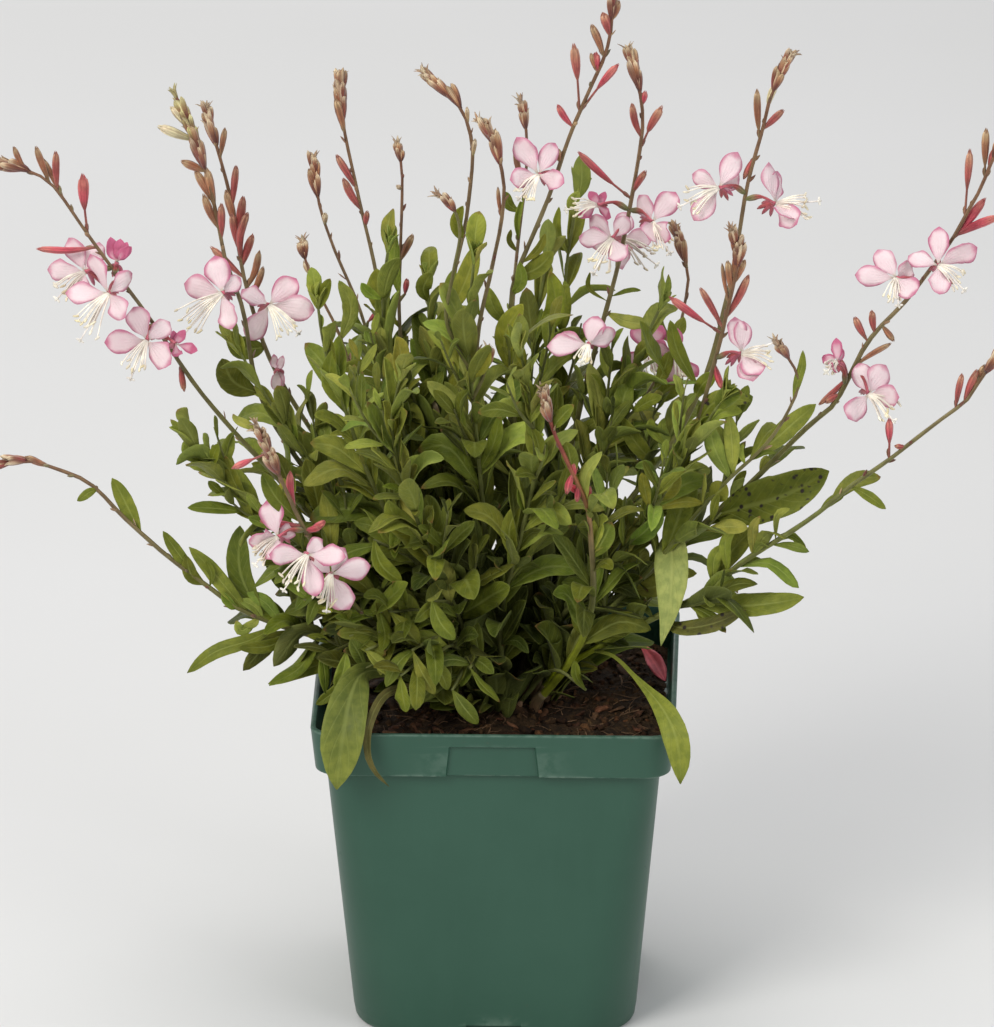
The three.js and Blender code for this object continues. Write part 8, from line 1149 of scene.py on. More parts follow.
def pot_material():
    m, nt, b = new_material("moulded_pot_plastic")
    N = Nodes(nt)
    co = N.object_coord()
    sep = N.new("ShaderNodeSeparateXYZ")
    nt.links.new(co, sep.inputs[0])
    z = sep.outputs[2]
    geo = N.new("ShaderNodeNewGeometry")
    stretch = N.new("ShaderNodeMapping")
    stretch.inputs["Scale"].default_value = (1.0, 1.0, 0.12)
    nt.links.new(co, stretch.inputs["Vector"])
    flow = N.noise(120.0, 4.0, 0.6, stretch.outputs[0])
    cloud = N.noise(22.0, 3.0, 0.6, co)
    fine = N.noise(1400.0, 3.0, 0.6, co)
    col = N.mix(N.range(cloud, 0.3, 0.7), (0.0270, 0.0820, 0.0530), (0.0310, 0.0900, 0.0590))
    col = N.mix(N.range(flow, 0.40, 0.75, 0.0, 0.30), col, (0.0350, 0.0960, 0.0640))
    # paler edges where the rim and collar turn: partly wear, partly a painted highlight along the rim
    wear_and_rim_highlight = N.math("MULTIPLY", N.range(geo.outputs["Pointiness"], 0.515, 0.56), N.range(N.noise(260.0, 3.0, 0.6, co), 0.3, 0.62))
    col = N.mix(N.math("MULTIPLY", wear_and_rim_highlight, 0.75), col, (0.150, 0.225, 0.175))
    # a little compost dust and dried splashes under the rim and near the foot
    dust = N.math("MULTIPLY", N.range(N.noise(300.0, 5.0, 0.7, co), 0.60, 0.78), N.math("ADD", N.range(z, 0.104, 0.124, 0.06, 0.5), N.range(z, 0.0, 0.022, 0.5, 0.0)))
    col = N.mix(N.math("MULTIPLY", dust, 0.5), col, (0.085, 0.070, 0.048))
    scr = N.new("ShaderNodeTexWave", wave_type="BANDS", bands_direction="DIAGONAL")
    scr.inputs["Scale"].default_value = 60.0
    scr.inputs["Distortion"].default_value = 14.0
    scr.inputs["Detail"].default_value = 3.0
    nt.links.new(co, scr.inputs["Vector"])
    scratch = N.math("MULTIPLY", N.range(scr.outputs["Fac"], 0.965, 1.0), N.range(N.noise(45.0, 2.0, 0.5, co), 0.55, 0.7))
    col = N.mix(N.math("MULTIPLY", scratch, 0.06), col, (0.08, 0.15, 0.11))
    nt.links.new(col, b.inputs["Base Color"])
    r = N.math("ADD", N.range(flow, 0.2, 0.8, 0.34, 0.44), N.math("MULTIPLY", dust, 0.3))
    nt.links.new(N.math("ADD", r, N.math("MULTIPLY", scratch, 0.12)), b.inputs["Roughness"])
    h = N.math("ADD", N.math("MULTIPLY", fine, 0.35), N.math("MULTIPLY", flow, 0.8))
    nt.links.new(N.bump(h, 0.00012, 0.5), b.inputs["Normal"])
    setp(b, Specular_IOR_Level=0.32)
    return m


def soil_material(name, a, bcol, c3, scale=500.0, rough=0.95, depth=0.0008):
    m, nt, b = new_material(name)
    N = Nodes(nt)
    tint = N.attribute("tint")
    co = N.object_coord()
    big = N.noise(scale * 0.25, 4.0, 0.6, co)
    small = N.noise(scale, 6.0, 0.7, co)
    cell = N.voronoi(scale * 1.1, co)
    col = N.mix(N.range(big, 0.35, 0.65), a, bcol)
    col = N.mix(N.range(small, 0.55, 0.72, 0.0, 0.6), col, c3)
    col = N.mix(N.range(cell.outputs["Distance"], 0.1, 0.5, 0.45, 0.0), col, a)
    col = N.mix(1.0, col, tint.outputs["Color"], "MULTIPLY")
    nt.links.new(col, b.inputs["Base Color"])
    nt.links.new(N.range(small, 0.2, 0.8, rough - 0.15, rough), b.inputs["Roughness"])
    h = N.math("ADD", N.math("MULTIPLY", small, 1.0), N.math("MULTIPLY", cell.outputs["Distance"], 0.6))
    nt.links.new(N.bump(h, depth, 0.9), b.inputs["Normal"])
    setp(b, Specular_IOR_Level=0.25)
    return m


M_LEAF = leaf_material()
M_PETAL = petal_material()
M_STEM = herb_material("gaura_stem", 25.0, sheen=0.04)
M_BUD = herb_material("gaura_bud", 31.4, (0.40, 0.58), 0.00018, 0.2, 3.0, 0.62, (1.55, 1.65, 1.55))
M_THREAD = herb_material("gaura_stamen", 12.0, (0.5, 0.6), 0.00006, 0.1)
M_POT = pot_material()
M_SOIL = soil_material("moist_peat", (0.018, 0.0095, 0.0042), (0.062, 0.034, 0.0145), (0.160, 0.095, 0.045), 620.0, 0.95, 0.0011)
M_BARK = soil_material("bark_chip", (0.045, 0.023, 0.013), (0.125, 0.064, 0.034), (0.260, 0.155, 0.086), 700.0, 0.88, 0.0005)
M_FIBRE = soil_material("peat_fibre", (0.110, 0.062, 0.032), (0.260, 0.150, 0.080), (0.340, 0.230, 0.130), 900.0, 0.85, 0.0003)

# ------------------------------------------------------------- plant colours
LEAF_DARK = A(0.034, 0.044, 0.003)
LEAF_MID = A(0.120, 0.141, 0.010)
LEAF_LITE = A(0.290, 0.325, 0.052)
STEM_GREEN = A(0.140, 0.155, 0.040)
STEM_OLIVE = A(0.200, 0.160, 0.075)
STEM_RED = A(0.215, 0.092, 0.058)
TAN = A(0.42, 0.275, 0.150)
CREAM = A(0.74, 0.60, 0.42)
BROWN_RED = A(0.175, 0.055, 0.036)
SPIKE_ORANGE = A(0.42, 0.165, 0.070)
ROSE = A(0.47, 0.088, 0.085)
MAGENTA = A(0.52, 0.060, 0.095)
CRIMSON = A(0.44, 0.030, 0.045)
YELLOW_GREEN = A(0.36, 0.36, 0.13)
PETAL_WHITE = A(0.86, 0.698, 0.71)
PETAL_PINK = A(0.56, 0.145, 0.250)
PETAL_HOT = A(0.42, 0.050, 0.130)
FILAMENT = A(0.90, 0.87, 0.76)
ANTHER = A(0.76, 0.68, 0.44)


def leaf_half(n, width, seed, slim=1.0, toothed=True, late=1.0, ts=None):
    """Half width along a wedge-based, pointed leaf, broadest near its middle."""
    t = np.linspace(0, 1, n) if ts is None else ts
    f = (t ** (1.02 * late)) * (np.clip(1 - t, 0, 1) ** 0.70)
    f /= f.max()
    f = np.maximum(f, 0.10 * (1 - smooth(t, 0.0, 0.5)))
    f[0] = 0.10
    f[-1] = 0.03
    return f * width / 2 * slim


def late_half(n, width):
    """Half width of a leaf with a long narrow base, broadest near its end."""
    t = np.linspace(0, 1, n)
    f = np.interp(t, [0, .2, .36, .52, .66, .78, .86, .93, .975, 1], [.13, .13, .17, .40, .80, 1.0, .92, .62, .30, .03])
    f[1:-1] = 0.25 * f[:-2] + 0.5 * f[1:-1] + 0.25 * f[2:]
    return f * width / 2


def put_leaf(sh, base, mid, tip, hint, width, g, n=10, nc=5, tone=None, spots=0.0, fold=None, wave=None, calm=1.0):
    """A leaf from three points, with its own folds, waves and tint."""
    r = g.random()
    # closer stations towards the point, and a tip that nods a little
    u = np.linspace(0, 1, n)
    ts = 1 - (1 - u) ** 1.3
    P = spline([base, mid, tip], 4 * n)
    P = np.stack([np.interp(ts, np.linspace(0, 1, 4 * n), P[:, i]) for i in range(3)], 1)
    L = np.linalg.norm(tip - base)
    if base[2] > 124:
        P[:, 2] -= L * g.uniform(-0.04, 0.10) * calm * ts ** 3
    P += unit(np.cross(tip - base, hint)) * (L * g.normal(0, 0.035) * calm * np.sin(np.pi * ts))[:, None]
    if tone is None:
        tone = g.normal(0.5, 0.22)
    c = ramp(np.clip(tone, 0, 1), [(0, LEAF_DARK), (0.5, LEAF_MID), (1, LEAF_LITE)])
    c = c * (1 + A(g.normal(0, 0.08), g.normal(0, 0.045), g.normal(0, 0.14)))
    # the tint pales towards the base, and its pale margins are a painted backlight rim
    young = LEAF_LITE * A(1.1, 1.08, 1.0)
    tint = lambda t, s: mix(c, c * 0.6 + young * 0.4, 0.30 * (1 - t) ** 2 + 0.28 * s ** 2)
    toothed = g.random() < 0.3
    blade(sh, P, hint, leaf_half(n, width, r, late=g.uniform(0.68, 1.25), ts=ts), nc=nc, thick=0.32, ts=ts,
          fold=(g.uniform(0.45, 0.85) if g.random() < 0.16 else g.uniform(0.05, 0.34)) if fold is None else fold, curl=g.uniform(-0.05, 0.14),
          wave=g.uniform(0.03, 0.17) if wave is None else wave, waves=g.uniform(1.0, 2.2), phase=g.random() * TAU,
          twist=g.normal(0, 0.34) * calm, tint=tint, rnd=r, mat=0, spots=spots, asym=g.normal(0, 0.07), teeth=g.uniform(0.06, 0.14) if toothed else 0.0, tooth_n=g.uniform(2.5, 3.6))


def painted_shade_tone(p):
    """Painted shade: leaves darker low down and deep inside the mass, where shade falls; paler towards the top and a
    little at the front.
    """
    # painted shade towards the middle of the mass, below its top
    inside = 1 - float(smooth(math.hypot(p[0], p[1]), 12, 58)) * float(smooth(p[2], 110, 122))
    return 0.13 + 0.54 * float(smooth(p[2], 118, 235)) + 0.05 * float(smooth(-p[1], -20, 40)) - 0.24 * inside * (1 - float(smooth(p[2], 190, 250)))


def leaf_ok(base, mid, tip):
    """Keeps leaves out of the pot's wall, the compost and the bare places."""
    for p in (mid, tip, (mid + tip) / 2, (mid + base) / 2):
        m = max(abs(p[0]), abs(p[1]))
        if m < 60 and p[2] < 114.5:
            return False
        if 58 <= m <= 68.5 and p[2] < 126.5:
            return False
        if p[2] < 100:
            return False
    for p in (mid, tip, (mid + tip) / 2, mid * 0.3 + tip * 0.7):
        h = 0.934 * p[2] + 0.358 * p[1]
        for x0, x1, h0, h1, y in BARE:
            if x0 < p[0] < x1 and h0 < h < h1 and p[1] < y:
                return False
    return True


# how high the leaf mass stands along its width, in view height; over it only few leaves are left
SKY_X = [-125, -114, -94, -86, -71, -60, -53, -42, -35, -24, -13, -2.5, 8.3, 17.3, 26.4, 33.6, 40.8, 51.6, 58.8, 69.7, 76.9, 85.9, 95, 109, 120]
SKY_H = [186, 192, 213, 221, 228, 242, 249, 253, 249, 246, 253, 242, 249, 256.7, 249, 238.7, 242, 238.7, 238.7, 233, 213, 210, 202.6, 199, 188]


def over_sky(p, g):
    over = 0.934 * p[2] + 0.358 * p[1] - float(np.interp(p[0], SKY_X, SKY_H))
    return g.random() < min(0.92, (over + 3.0) / 10.0)


# midrib of the leaf that hangs in front of the right side, painted pale as light shining through it
HANG = [A(64.1, -6.0, 179.6), A(63.6, -20.0, 173.8), A(63.0, -26.0, 160.7), A(59.8, -27.0, 144.0)]

PLANT_MATS = [M_LEAF, M_STEM, M_BUD, M_PETAL, M_THREAD]


def bud(sh, base, tip, width, kind, g, stalk=0.12, bow=0.06):
    """A slim, blunt, four-ridged flower bud on its stalk."""
    d = tip - base
    L = np.linalg.norm(d)
    side = unit(np.cross(d, A(0.2, -1, 0.3)))
    up = unit(np.cross(side, d))
    n = 16
    P = spline([base, base + d * 0.5 - up * L * bow + side * L * g.normal(0, 0.02), tip], n)
    u = np.linspace(0, 1, n)
    v = np.clip((u - stalk) / (1 - stalk), 0, 1)
    fat = np.interp(v, [0, .12, .35, .62, .82, .93, .985, 1], [.40, .62, .88, 1.0, .90, .70, .42, .12])
    width = width * 0.90
    r = np.where(v > 0, np.maximum(width / 2 * fat, 0.36), np.interp(u, [0, stalk + 1e-3], [0.46, 0.38]))
    r[-1] = 0.10 * width / 2
    pal = {0: (STEM_OLIVE, mix(BROWN_RED * 1.2, SPIKE_ORANGE, 0.45), TAN), 1: (STEM_RED, ROSE * 0.75, mix(TAN, ROSE, 0.4)), 2: (STEM_RED, MAGENTA * 0.9, mix(ROSE, CREAM, 0.12)),
           3: (YELLOW_GREEN * 0.7, mix(CREAM, YELLOW_GREEN, 0.4), CREAM), 4: (STEM_GREEN, TAN, CREAM), 5: (STEM_RED, CRIMSON, CRIMSON)}[kind]
    j = 1 + g.normal(0, 0.08)
    tint = lambda t: ramp(t, [(0, pal[0] * j), (stalk + 0.10, pal[0] * 0.4 + pal[1] * 0.6), (0.45 + 0.2 * stalk, pal[1] * j), (0.74, mix(pal[1], pal[2], 0.25)), (0.88, mix(pal[1], pal[2], 0.9)), (1, mix(pal[2], CREAM, 0.25) if kind < 2 else pal[2])])
    tube(sh, P, r, 12, tint, g.random(), mat=2, ridges=0.09)
    # the four sepal tips that close over its end
    T = unit(P[-1] - P[-3])
    a0 = g.random() * TAU
    for k in range(4):
        o = rot(side, T, a0 + k * TAU / 4)
        q = P[-3] + o * width * 0.26
        e = width * g.uniform(0.30, 0.55)
        tube(sh, spline([q - T * e, q + o * 0.05 * width, P[-1] + T * e * 0.7 + o * width * g.uniform(0.02, 0.14)], 5), [0.10 * width, 0.15 * width, 0.14 * width, 0.10 * width, 0.03], 5,
             mix(pal[2], pal[1], 0.2 + 0.4 * g.random()), g.random(), mat=2)
    # the bract it sits in
    bl = min(5.0, 0.38 * L + 1.0)
    out = unit(d * 0.9 - up * L * 0.35)
    blade(sh, spline([base, base + out * bl * 0.5 - up * 0.5, base + unit(d) * bl * 0.9 - up * 0.9], 6), -up, leaf_half(6, 1.6, 0), nc=3, thick=0.25,
          fold=-0.3, tint=mix(BROWN_RED, TAN, g.random()), rnd=g.random(), mat=2)


def cluster(sh, line, size, g, tone=0.5):
    """The young tip of a spike: long bracts and slim buds that hug the axis, with ragged ends."""
    tiers = max(2, int(round(size / 4.6)))
    ph = g.random() * TAU
    for k in range(tiers):
        f = k / (tiers - 1)
        s0 = line.len - size * (1 - (0.62 if tiers > 2 else 0.34) * f) - 1.0
        p, T = line.at(max(s0, 1.0))
        side = unit(np.cross(T, A(0.3, -1, 0.25)))
        reach = np.interp(f, [0, 1], [min(11.5, 0.52 * size + 2.4), min(9.5, 0.40 * size + 2.6)])
        for j in range(3):
            out = rot(side, T, ph + k * 1.05 + j * TAU / 3 + g.normal(0, 0.16))
            L = reach * g.uniform(0.82, 1.22)
            w = np.interp(f, [0, 1], [2.9, 2.5]) * g.uniform(0.85, 1.15)
            lean = g.uniform(0.07, 0.20)
            d = unit(T * math.cos(lean) + out * math.sin(lean))
            c0 = mix(BROWN_RED * 0.9, ROSE, 0.45 * g.random() ** 2)
            c1 = mix(mix(BROWN_RED, SPIKE_ORANGE, g.random()), TAN, g.uniform(0.0, 0.35))
            c2 = mix(TAN, CREAM, g.uniform(0.0, 1.0))
            if tone > 0.7 and f > 0.45:
                c1, c2 = mix(c1, YELLOW_GREEN * 0.7, 0.5), mix(c2, YELLOW_GREEN * 1.5, 0.55)
            # a bract that wraps round, pale along its middle and dark at its edges: the cream stripe is partly a
            # painted highlight, the dark edges partly painted shade in the grooves between bracts
            n = 10
            P = spline([p + out * 0.3, p + d * L * 0.45 + out * 0.75, p + d * L * 0.82 + out * 0.45, p + d * L + out * g.uniform(0.3, 1.2 + 1.3 * f)], n)
            half = w / 2 * np.interp(np.linspace(0, 1, n), [0, .12, .4, .62, .8, .92, 1], [.38, .6, .95, 1.0, .78, .48, .08])
            tint = lambda t, s_, c0=c0, c1=c1, c2=c2: mix(mix(ramp(t + 0 * s_, [(0, c0 * 0.8), (0.35, c1), (0.8, c2), (1, c2)]), c0 * 0.62, smooth(np.abs(s_), 0.35, 0.95) * (1 - 0.55 * t)), CREAM * 1.06, smooth(0.34 - np.abs(s_), 0, 0.34) * smooth(t, 0.18, 0.6) * 0.48)
            blade(sh, P, out, half, nc=7, thick=0.30, fold=-0.34, curl=0.30, wave=0.05, waves=2.0, phase=g.random() * TAU, tint=tint, rnd=g.random(), mat=2)
            # the bud in its axil
            o2 = rot(out, T, g.uniform(0.7, 1.4))
            q = p + o2 * 0.35 + T * L * 0.10
            L2 = L * g.uniform(0.78, 1.0)
            d2 = unit(T * math.cos(lean) + o2 * math.sin(lean))
            m = 9
            r = w * 0.36 * np.interp(np.linspace(0, 1, m), [0, .15, .45, .7, .88, .97, 1], [.40, .66, .95, 1.0, .80, .50, .14])
            tube(sh, spline([q, q + d2 * L2 * 0.5 + o2 * 0.2, q + d2 * L2 + o2 * g.uniform(-0.1, 0.4)], m), r, 8,
                 (lambda t, c0=c0, c1=c1, c2=c2: ramp(t, [(0, c0 * 0.7), (0.35, c0), (0.7, c1), (0.92, c2), (1, c2)])), g.random(), mat=2, ridges=0.14)
    # the flared, lobed ends
    p, T = line.at(line.len)
    for k in range(6):
        out = rot(unit(np.cross(T, A(0.3, -1, 0.25))), T, k * 1.0472 + ph)
        d = unit(T + out * g.uniform(0.25, 0.95))
        L = g.uniform(2.6, 4.8)
        c = mix(mix(BROWN_RED, SPIKE_ORANGE, g.random()), CREAM, g.uniform(0.25, 1.0))
        if tone > 0.7:
            c = mix(c, YELLOW_GREEN * 1.6, 0.5)
        # the lobes darken towards their edges: painted shade
        blade(sh, spline([p - T * 2.2 + out * 0.3, p + d * L * 0.4 + out * 0.2, p + d * L + out * 0.3], 6), out, np.array([0.5, 0.72, 0.82, 0.74, 0.5, 0.16]), nc=5, thick=0.26,
              fold=-0.4, curl=0.2, tint=(lambda t, s_, c=c: mix(c, c * 0.5, smooth(np.abs(s_), 0.4, 1.0) * 0.8)), rnd=g.random(), mat=2)


def petal_half(n, width):
    t = np.linspace(0, 1, n)
    x = [0, .08, .16, .28, .42, .56, .68, .80, .89, .95, .985, 1]
    y = [.085, .10, .20, .52, .84, .99, 1.0, .87, .63, .38, .20, .03]
    f = np.interp(t, x, y)
    f[1:-1] = 0.25 * f[:-2] + 0.5 * f[1:-1] + 0.25 * f[2:]
    f[-1] = 0.02
    return f * width / 2


def petal_tint(pink, side=0.0):
    def tint(t, s):
        edge = smooth(np.abs(s), 0.60 - 0.45 * pink, 1.04) ** 1.3 * smooth(t, 0.10, 0.40)
        end = smooth(t, 0.80 - 0.5 * pink, 1.03) ** 1.2
        blush = 0.09 * smooth(t, 0.5, 0.1) + 0.04
        a = np.clip(np.maximum(edge, end) * (0.55 + 0.8 * pink) + blush + 0.62 * pink + side * s * 0.07, 0, 1)
        c = mix(PETAL_WHITE, PETAL_PINK, a)
        c = mix(c, PETAL_HOT, smooth(a, 0.75, 1.15) * 0.40)
        return mix(c, A(0.66, 0.66, 0.42), (1 - smooth(t, 0.04, 0.18)) * 0.6)
    return tint


def make_flower(sh, f, host):
    g = np.random.default_rng(int(f["name"][-2:]) * 77)
    c = np.array(f["c"], float)
    att, T, _ = host.near(f["att"])
    axis = c - att
    reach = np.linalg.norm(axis)
    axis = axis / reach
    sag = np.cross(T, np.cross(axis, T))
    start = att + axis * 0.5
    # ovary and tube
    P = spline([start, att + axis * reach * 0.5 + T * min(2.0, 0.15 * reach), c - axis * 0.2], 12)
    u = np.linspace(0, 1, 12)
    r = np.interp(u, [0, .10, .26, .42, .55, .9, 1], [.55, .95, 1.15, .85, .5, .6, .95])
    tube(sh, P, r, 9, (lambda t: ramp(t, [(0, STEM_GREEN), (0.25, STEM_OLIVE), (0.45, ROSE * 0.8), (1, mix(ROSE, PETAL_PINK, 0.5))])), g.random(), mat=2, ridges=0.10)
    # sepals, swept back under the flower
    face = unit(FRONT + 0.3 * unit(np.array(f["stam"])))
    size = np.mean([np.linalg.norm(q) for q in f["pet"]])
    for k, (a, w) in enumerate(((0.5, 1.0), (-0.45, 1.0), (1.5, 0.8), (-1.4, 0.8))):
        back = rot(-axis * 0.62 - face * 0.42 - UP * 0.42, face, a * 0.62 + g.normal(0, 0.12))
        L = size * g.uniform(0.52, 0.68) * w
        b0 = c - axis * 0.8
        P = spline([b0, b0 + unit(back) * L * 0.5 - face * 0.6, b0 + unit(back) * L - UP * 0.8 - face * 0.5], 8)
        col = mix(ROSE, PETAL_PINK, g.uniform(0.1, 0.8))
        blade(sh, P, -face, leaf_half(8, 1.35, 0, toothed=False) + 0.15, nc=3, thick=0.3, fold=0.35, tint=col, rnd=g.random(), mat=2)
    # petals
    order = sorted(range(4), key=lambda k: f["pet"][k][2], reverse=True)
    for layer, k in enumerate(order):
        d = np.array(f["pet"][k], float)
        L = np.linalg.norm(d)
        pd = d / L
        n = unit(face - pd * (pd @ face))
        n = rot(n, pd, g.normal(0, 0.22))
        lift = n * (0.5 * layer)
        open_ = f["open"]
        cupped = (1.1 - open_) * 3.0
        p0 = c + pd * 0.35 + lift * 0.35
        m1 = c + d * 0.40 + lift - n * (0.8 + cupped)
        m2 = c + d * 0.74 + lift - n * (0.35 + cupped * 0.6)
        p1 = c + d + lift - n * g.uniform(0.3, 1.3)
        width = L * (g.uniform(0.53, 0.69) if open_ > 0.8 else g.uniform(0.42, 0.52))
        blade(sh, spline([p0, m1, m2, p1], 15), n, petal_half(15, width), nc=9, thick=0.28, fold=g.uniform(-0.04, 0.06), curl=g.uniform(-0.05, 0.08) - 0.05 * cupped, wave=g.uniform(0.18, 0.34),
              waves=g.uniform(1.0, 1.9), phase=g.random() * TAU, tint=petal_tint(f["pink"] if f["pink"] > 0.5 else g.uniform(0.0, 0.14), g.normal()), rnd=g.random(), mat=3,
              asym=g.normal(0, 0.12), twist=g.normal(0, 0.18), teeth=g.uniform(0.0, 0.12), tooth_n=2.2, spots=g.uniform(0.55, 1.0))
    # stamens and style
    if f["open"] > 0.5:
        sd = np.array(f["stam"], float)
        SL = max(np.linalg.norm(sd), 9.0)
        sd = unit(sd)
        sx = unit(np.cross(sd, face))
        for k in range(8):
            a = (k - 3.5) / 3.5
            L = SL * g.uniform(0.74, 1.0)
            d = unit(sd + sx * (0.34 * a + g.normal(0, 0.05)) + face * g.uniform(-0.05, 0.30))
            p0 = c + face * 0.5 + sx * a * 0.5
            mid = p0 + d * L * 0.5 + face * 1.1 + UP * 0.7
            tip = p0 + d * L - UP * 0.4
            tube(sh, spline([p0, mid, tip], 9), np.linspace(0.37, 0.25, 9), 6, mix(FILAMENT, A(0.93, 0.80, 0.78), 0.30 * g.random()), g.random(), mat=4)
            ad = unit(d + rot(d, face, math.pi / 2) * g.normal(0, 0.8) + face * 0.2)
            al = g.uniform(2.0, 2.8)
            tube(sh, spline([tip - ad * al * 0.5, tip + face * 0.1, tip + ad * al * 0.5], 6), 0.48 * np.sin(np.pi * np.linspace(0.1, 0.9, 6)) ** 0.6, 6,
                 mix(ANTHER, FILAMENT, g.random()), g.random(), mat=4)
        d = unit(sd + sx * g.normal(0, 0.12))
        L = SL * 1.16
        p0 = c + face * 0.7
        tip = p0 + d * L
        tube(sh, spline([p0, p0 + d * L * 0.5 + face * 1.4, tip], 10), np.linspace(0.36, 0.30, 10), 6, A(0.93, 0.89, 0.84), 0.5, mat=4)
        e1 = unit(np.cross(d, face))
        e2 = np.cross(d, e1)
        for q in (e1, -e1, e2, -e2):
            tube(sh, spline([tip - q * 0.1, tip + q * 0.85 + d * 0.12, tip + q * 1.6 + d * 0.25], 5), [0.28, 0.42, 0.48, 0.42, 0.16], 6, A(0.95, 0.94, 0.86), 0.5, mat=4)


def stem_tint(kind):
    if kind == "leafy":
        return lambda t: ramp(t, [(0, STEM_OLIVE * 0.75), (0.15, STEM_GREEN * 0.9), (1, STEM_GREEN * A(1.05, 1.1, 1.0))])
    if kind == "bright":
        return lambda t: ramp(t, [(0, A(0.16, 0.17, 0.012)), (0.04, A(0.25, 0.30, 0.004)), (0.14, A(0.25, 0.295, 0.008)), (0.25, A(0.18, 0.205, 0.045)), (0.6, STEM_GREEN), (0.85, STEM_OLIVE), (1, STEM_RED)])
    if kind == "red":
        return lambda t: ramp(t, [(0, A(0.15, 0.15, 0.012)), (0.05, A(0.21, 0.235, 0.012)), (0.24, A(0.205, 0.235, 0.016)), (0.36, STEM_GREEN), (0.52, STEM_OLIVE), (0.66, A(0.30, 0.14, 0.06)), (0.82, A(0.26, 0.060, 0.045)), (1, A(0.24, 0.055, 0.042))])
    return lambda t: ramp(t, [(0, STEM_OLIVE * 0.75), (0.12, STEM_GREEN), (0.50, STEM_GREEN * A(1.15, 1.0, 1.1)), (0.68, STEM_OLIVE), (0.88, mix(STEM_OLIVE, STEM_RED, 0.6)), (1, STEM_RED)])


def branchlet(sh, base, d, L, g, f, tone):
    """A short leafy side shoot from a leaf's axil, turning upwards."""
    tip = base + d * L * 0.86 + UP * L * 0.26
    line = Line([base, base + d * L * 0.5 + UP * L * 0.05, tip])
    if tip[2] < 122 or not leaf_ok(base, (base + tip) / 2, tip) or over_sky(tip, g):
        return
    n = 8
    tube(sh, spline(line.P, n), np.linspace(0.72, 0.34, n), 6, STEM_GREEN * g.uniform(0.85, 1.15), g.random(), mat=1)
    x, k = 4.5, g.integers(0, 9)
    while x < line.len + 1.5:
        p, T = line.at(min(x, line.len))
        u = x / line.len
        side = unit(np.cross(UP, T)) if abs(T[2]) < 0.97 else A(1, 0, 0)
        o = rot(side, T, k * 2.39996)
        a = np.interp(u, [0, 0.7, 1.05], [0.85, 0.6, 0.28]) + g.normal(0, 0.10)
        e = unit(T * math.cos(a) + o * math.sin(a))
        l = np.interp(u, [0, 0.5, 1], [20, 18, 11]) * g.uniform(0.7, 1.2)
        mid = p + e * l * 0.52 + UP * l * 0.04
        end = p + e * l + UP * l * g.uniform(-0.16, 0.06)
        if leaf_ok(p, mid, end):
            h = unit(T * 0.7 - o * 0.55 + FRONT * g.uniform(0, 0.9) + g.normal(0, 0.2, 3))
            if not over_sky(end, g):
                put_leaf(sh, p, mid, end, h, l / g.uniform(2.8, 3.9), g, n=9, nc=5, tone=g.normal(tone, 0.2))
        x += g.uniform(3.9, 5.9)
        k += 1


hosts = {}
for s in STEMS:
    pts = np.array(s["pts"], float)
    root = pts[0].copy()
    root[2] = 110.0             # the visible stem goes down into the compost
    hosts[s["name"]] = (Line(pts), root)


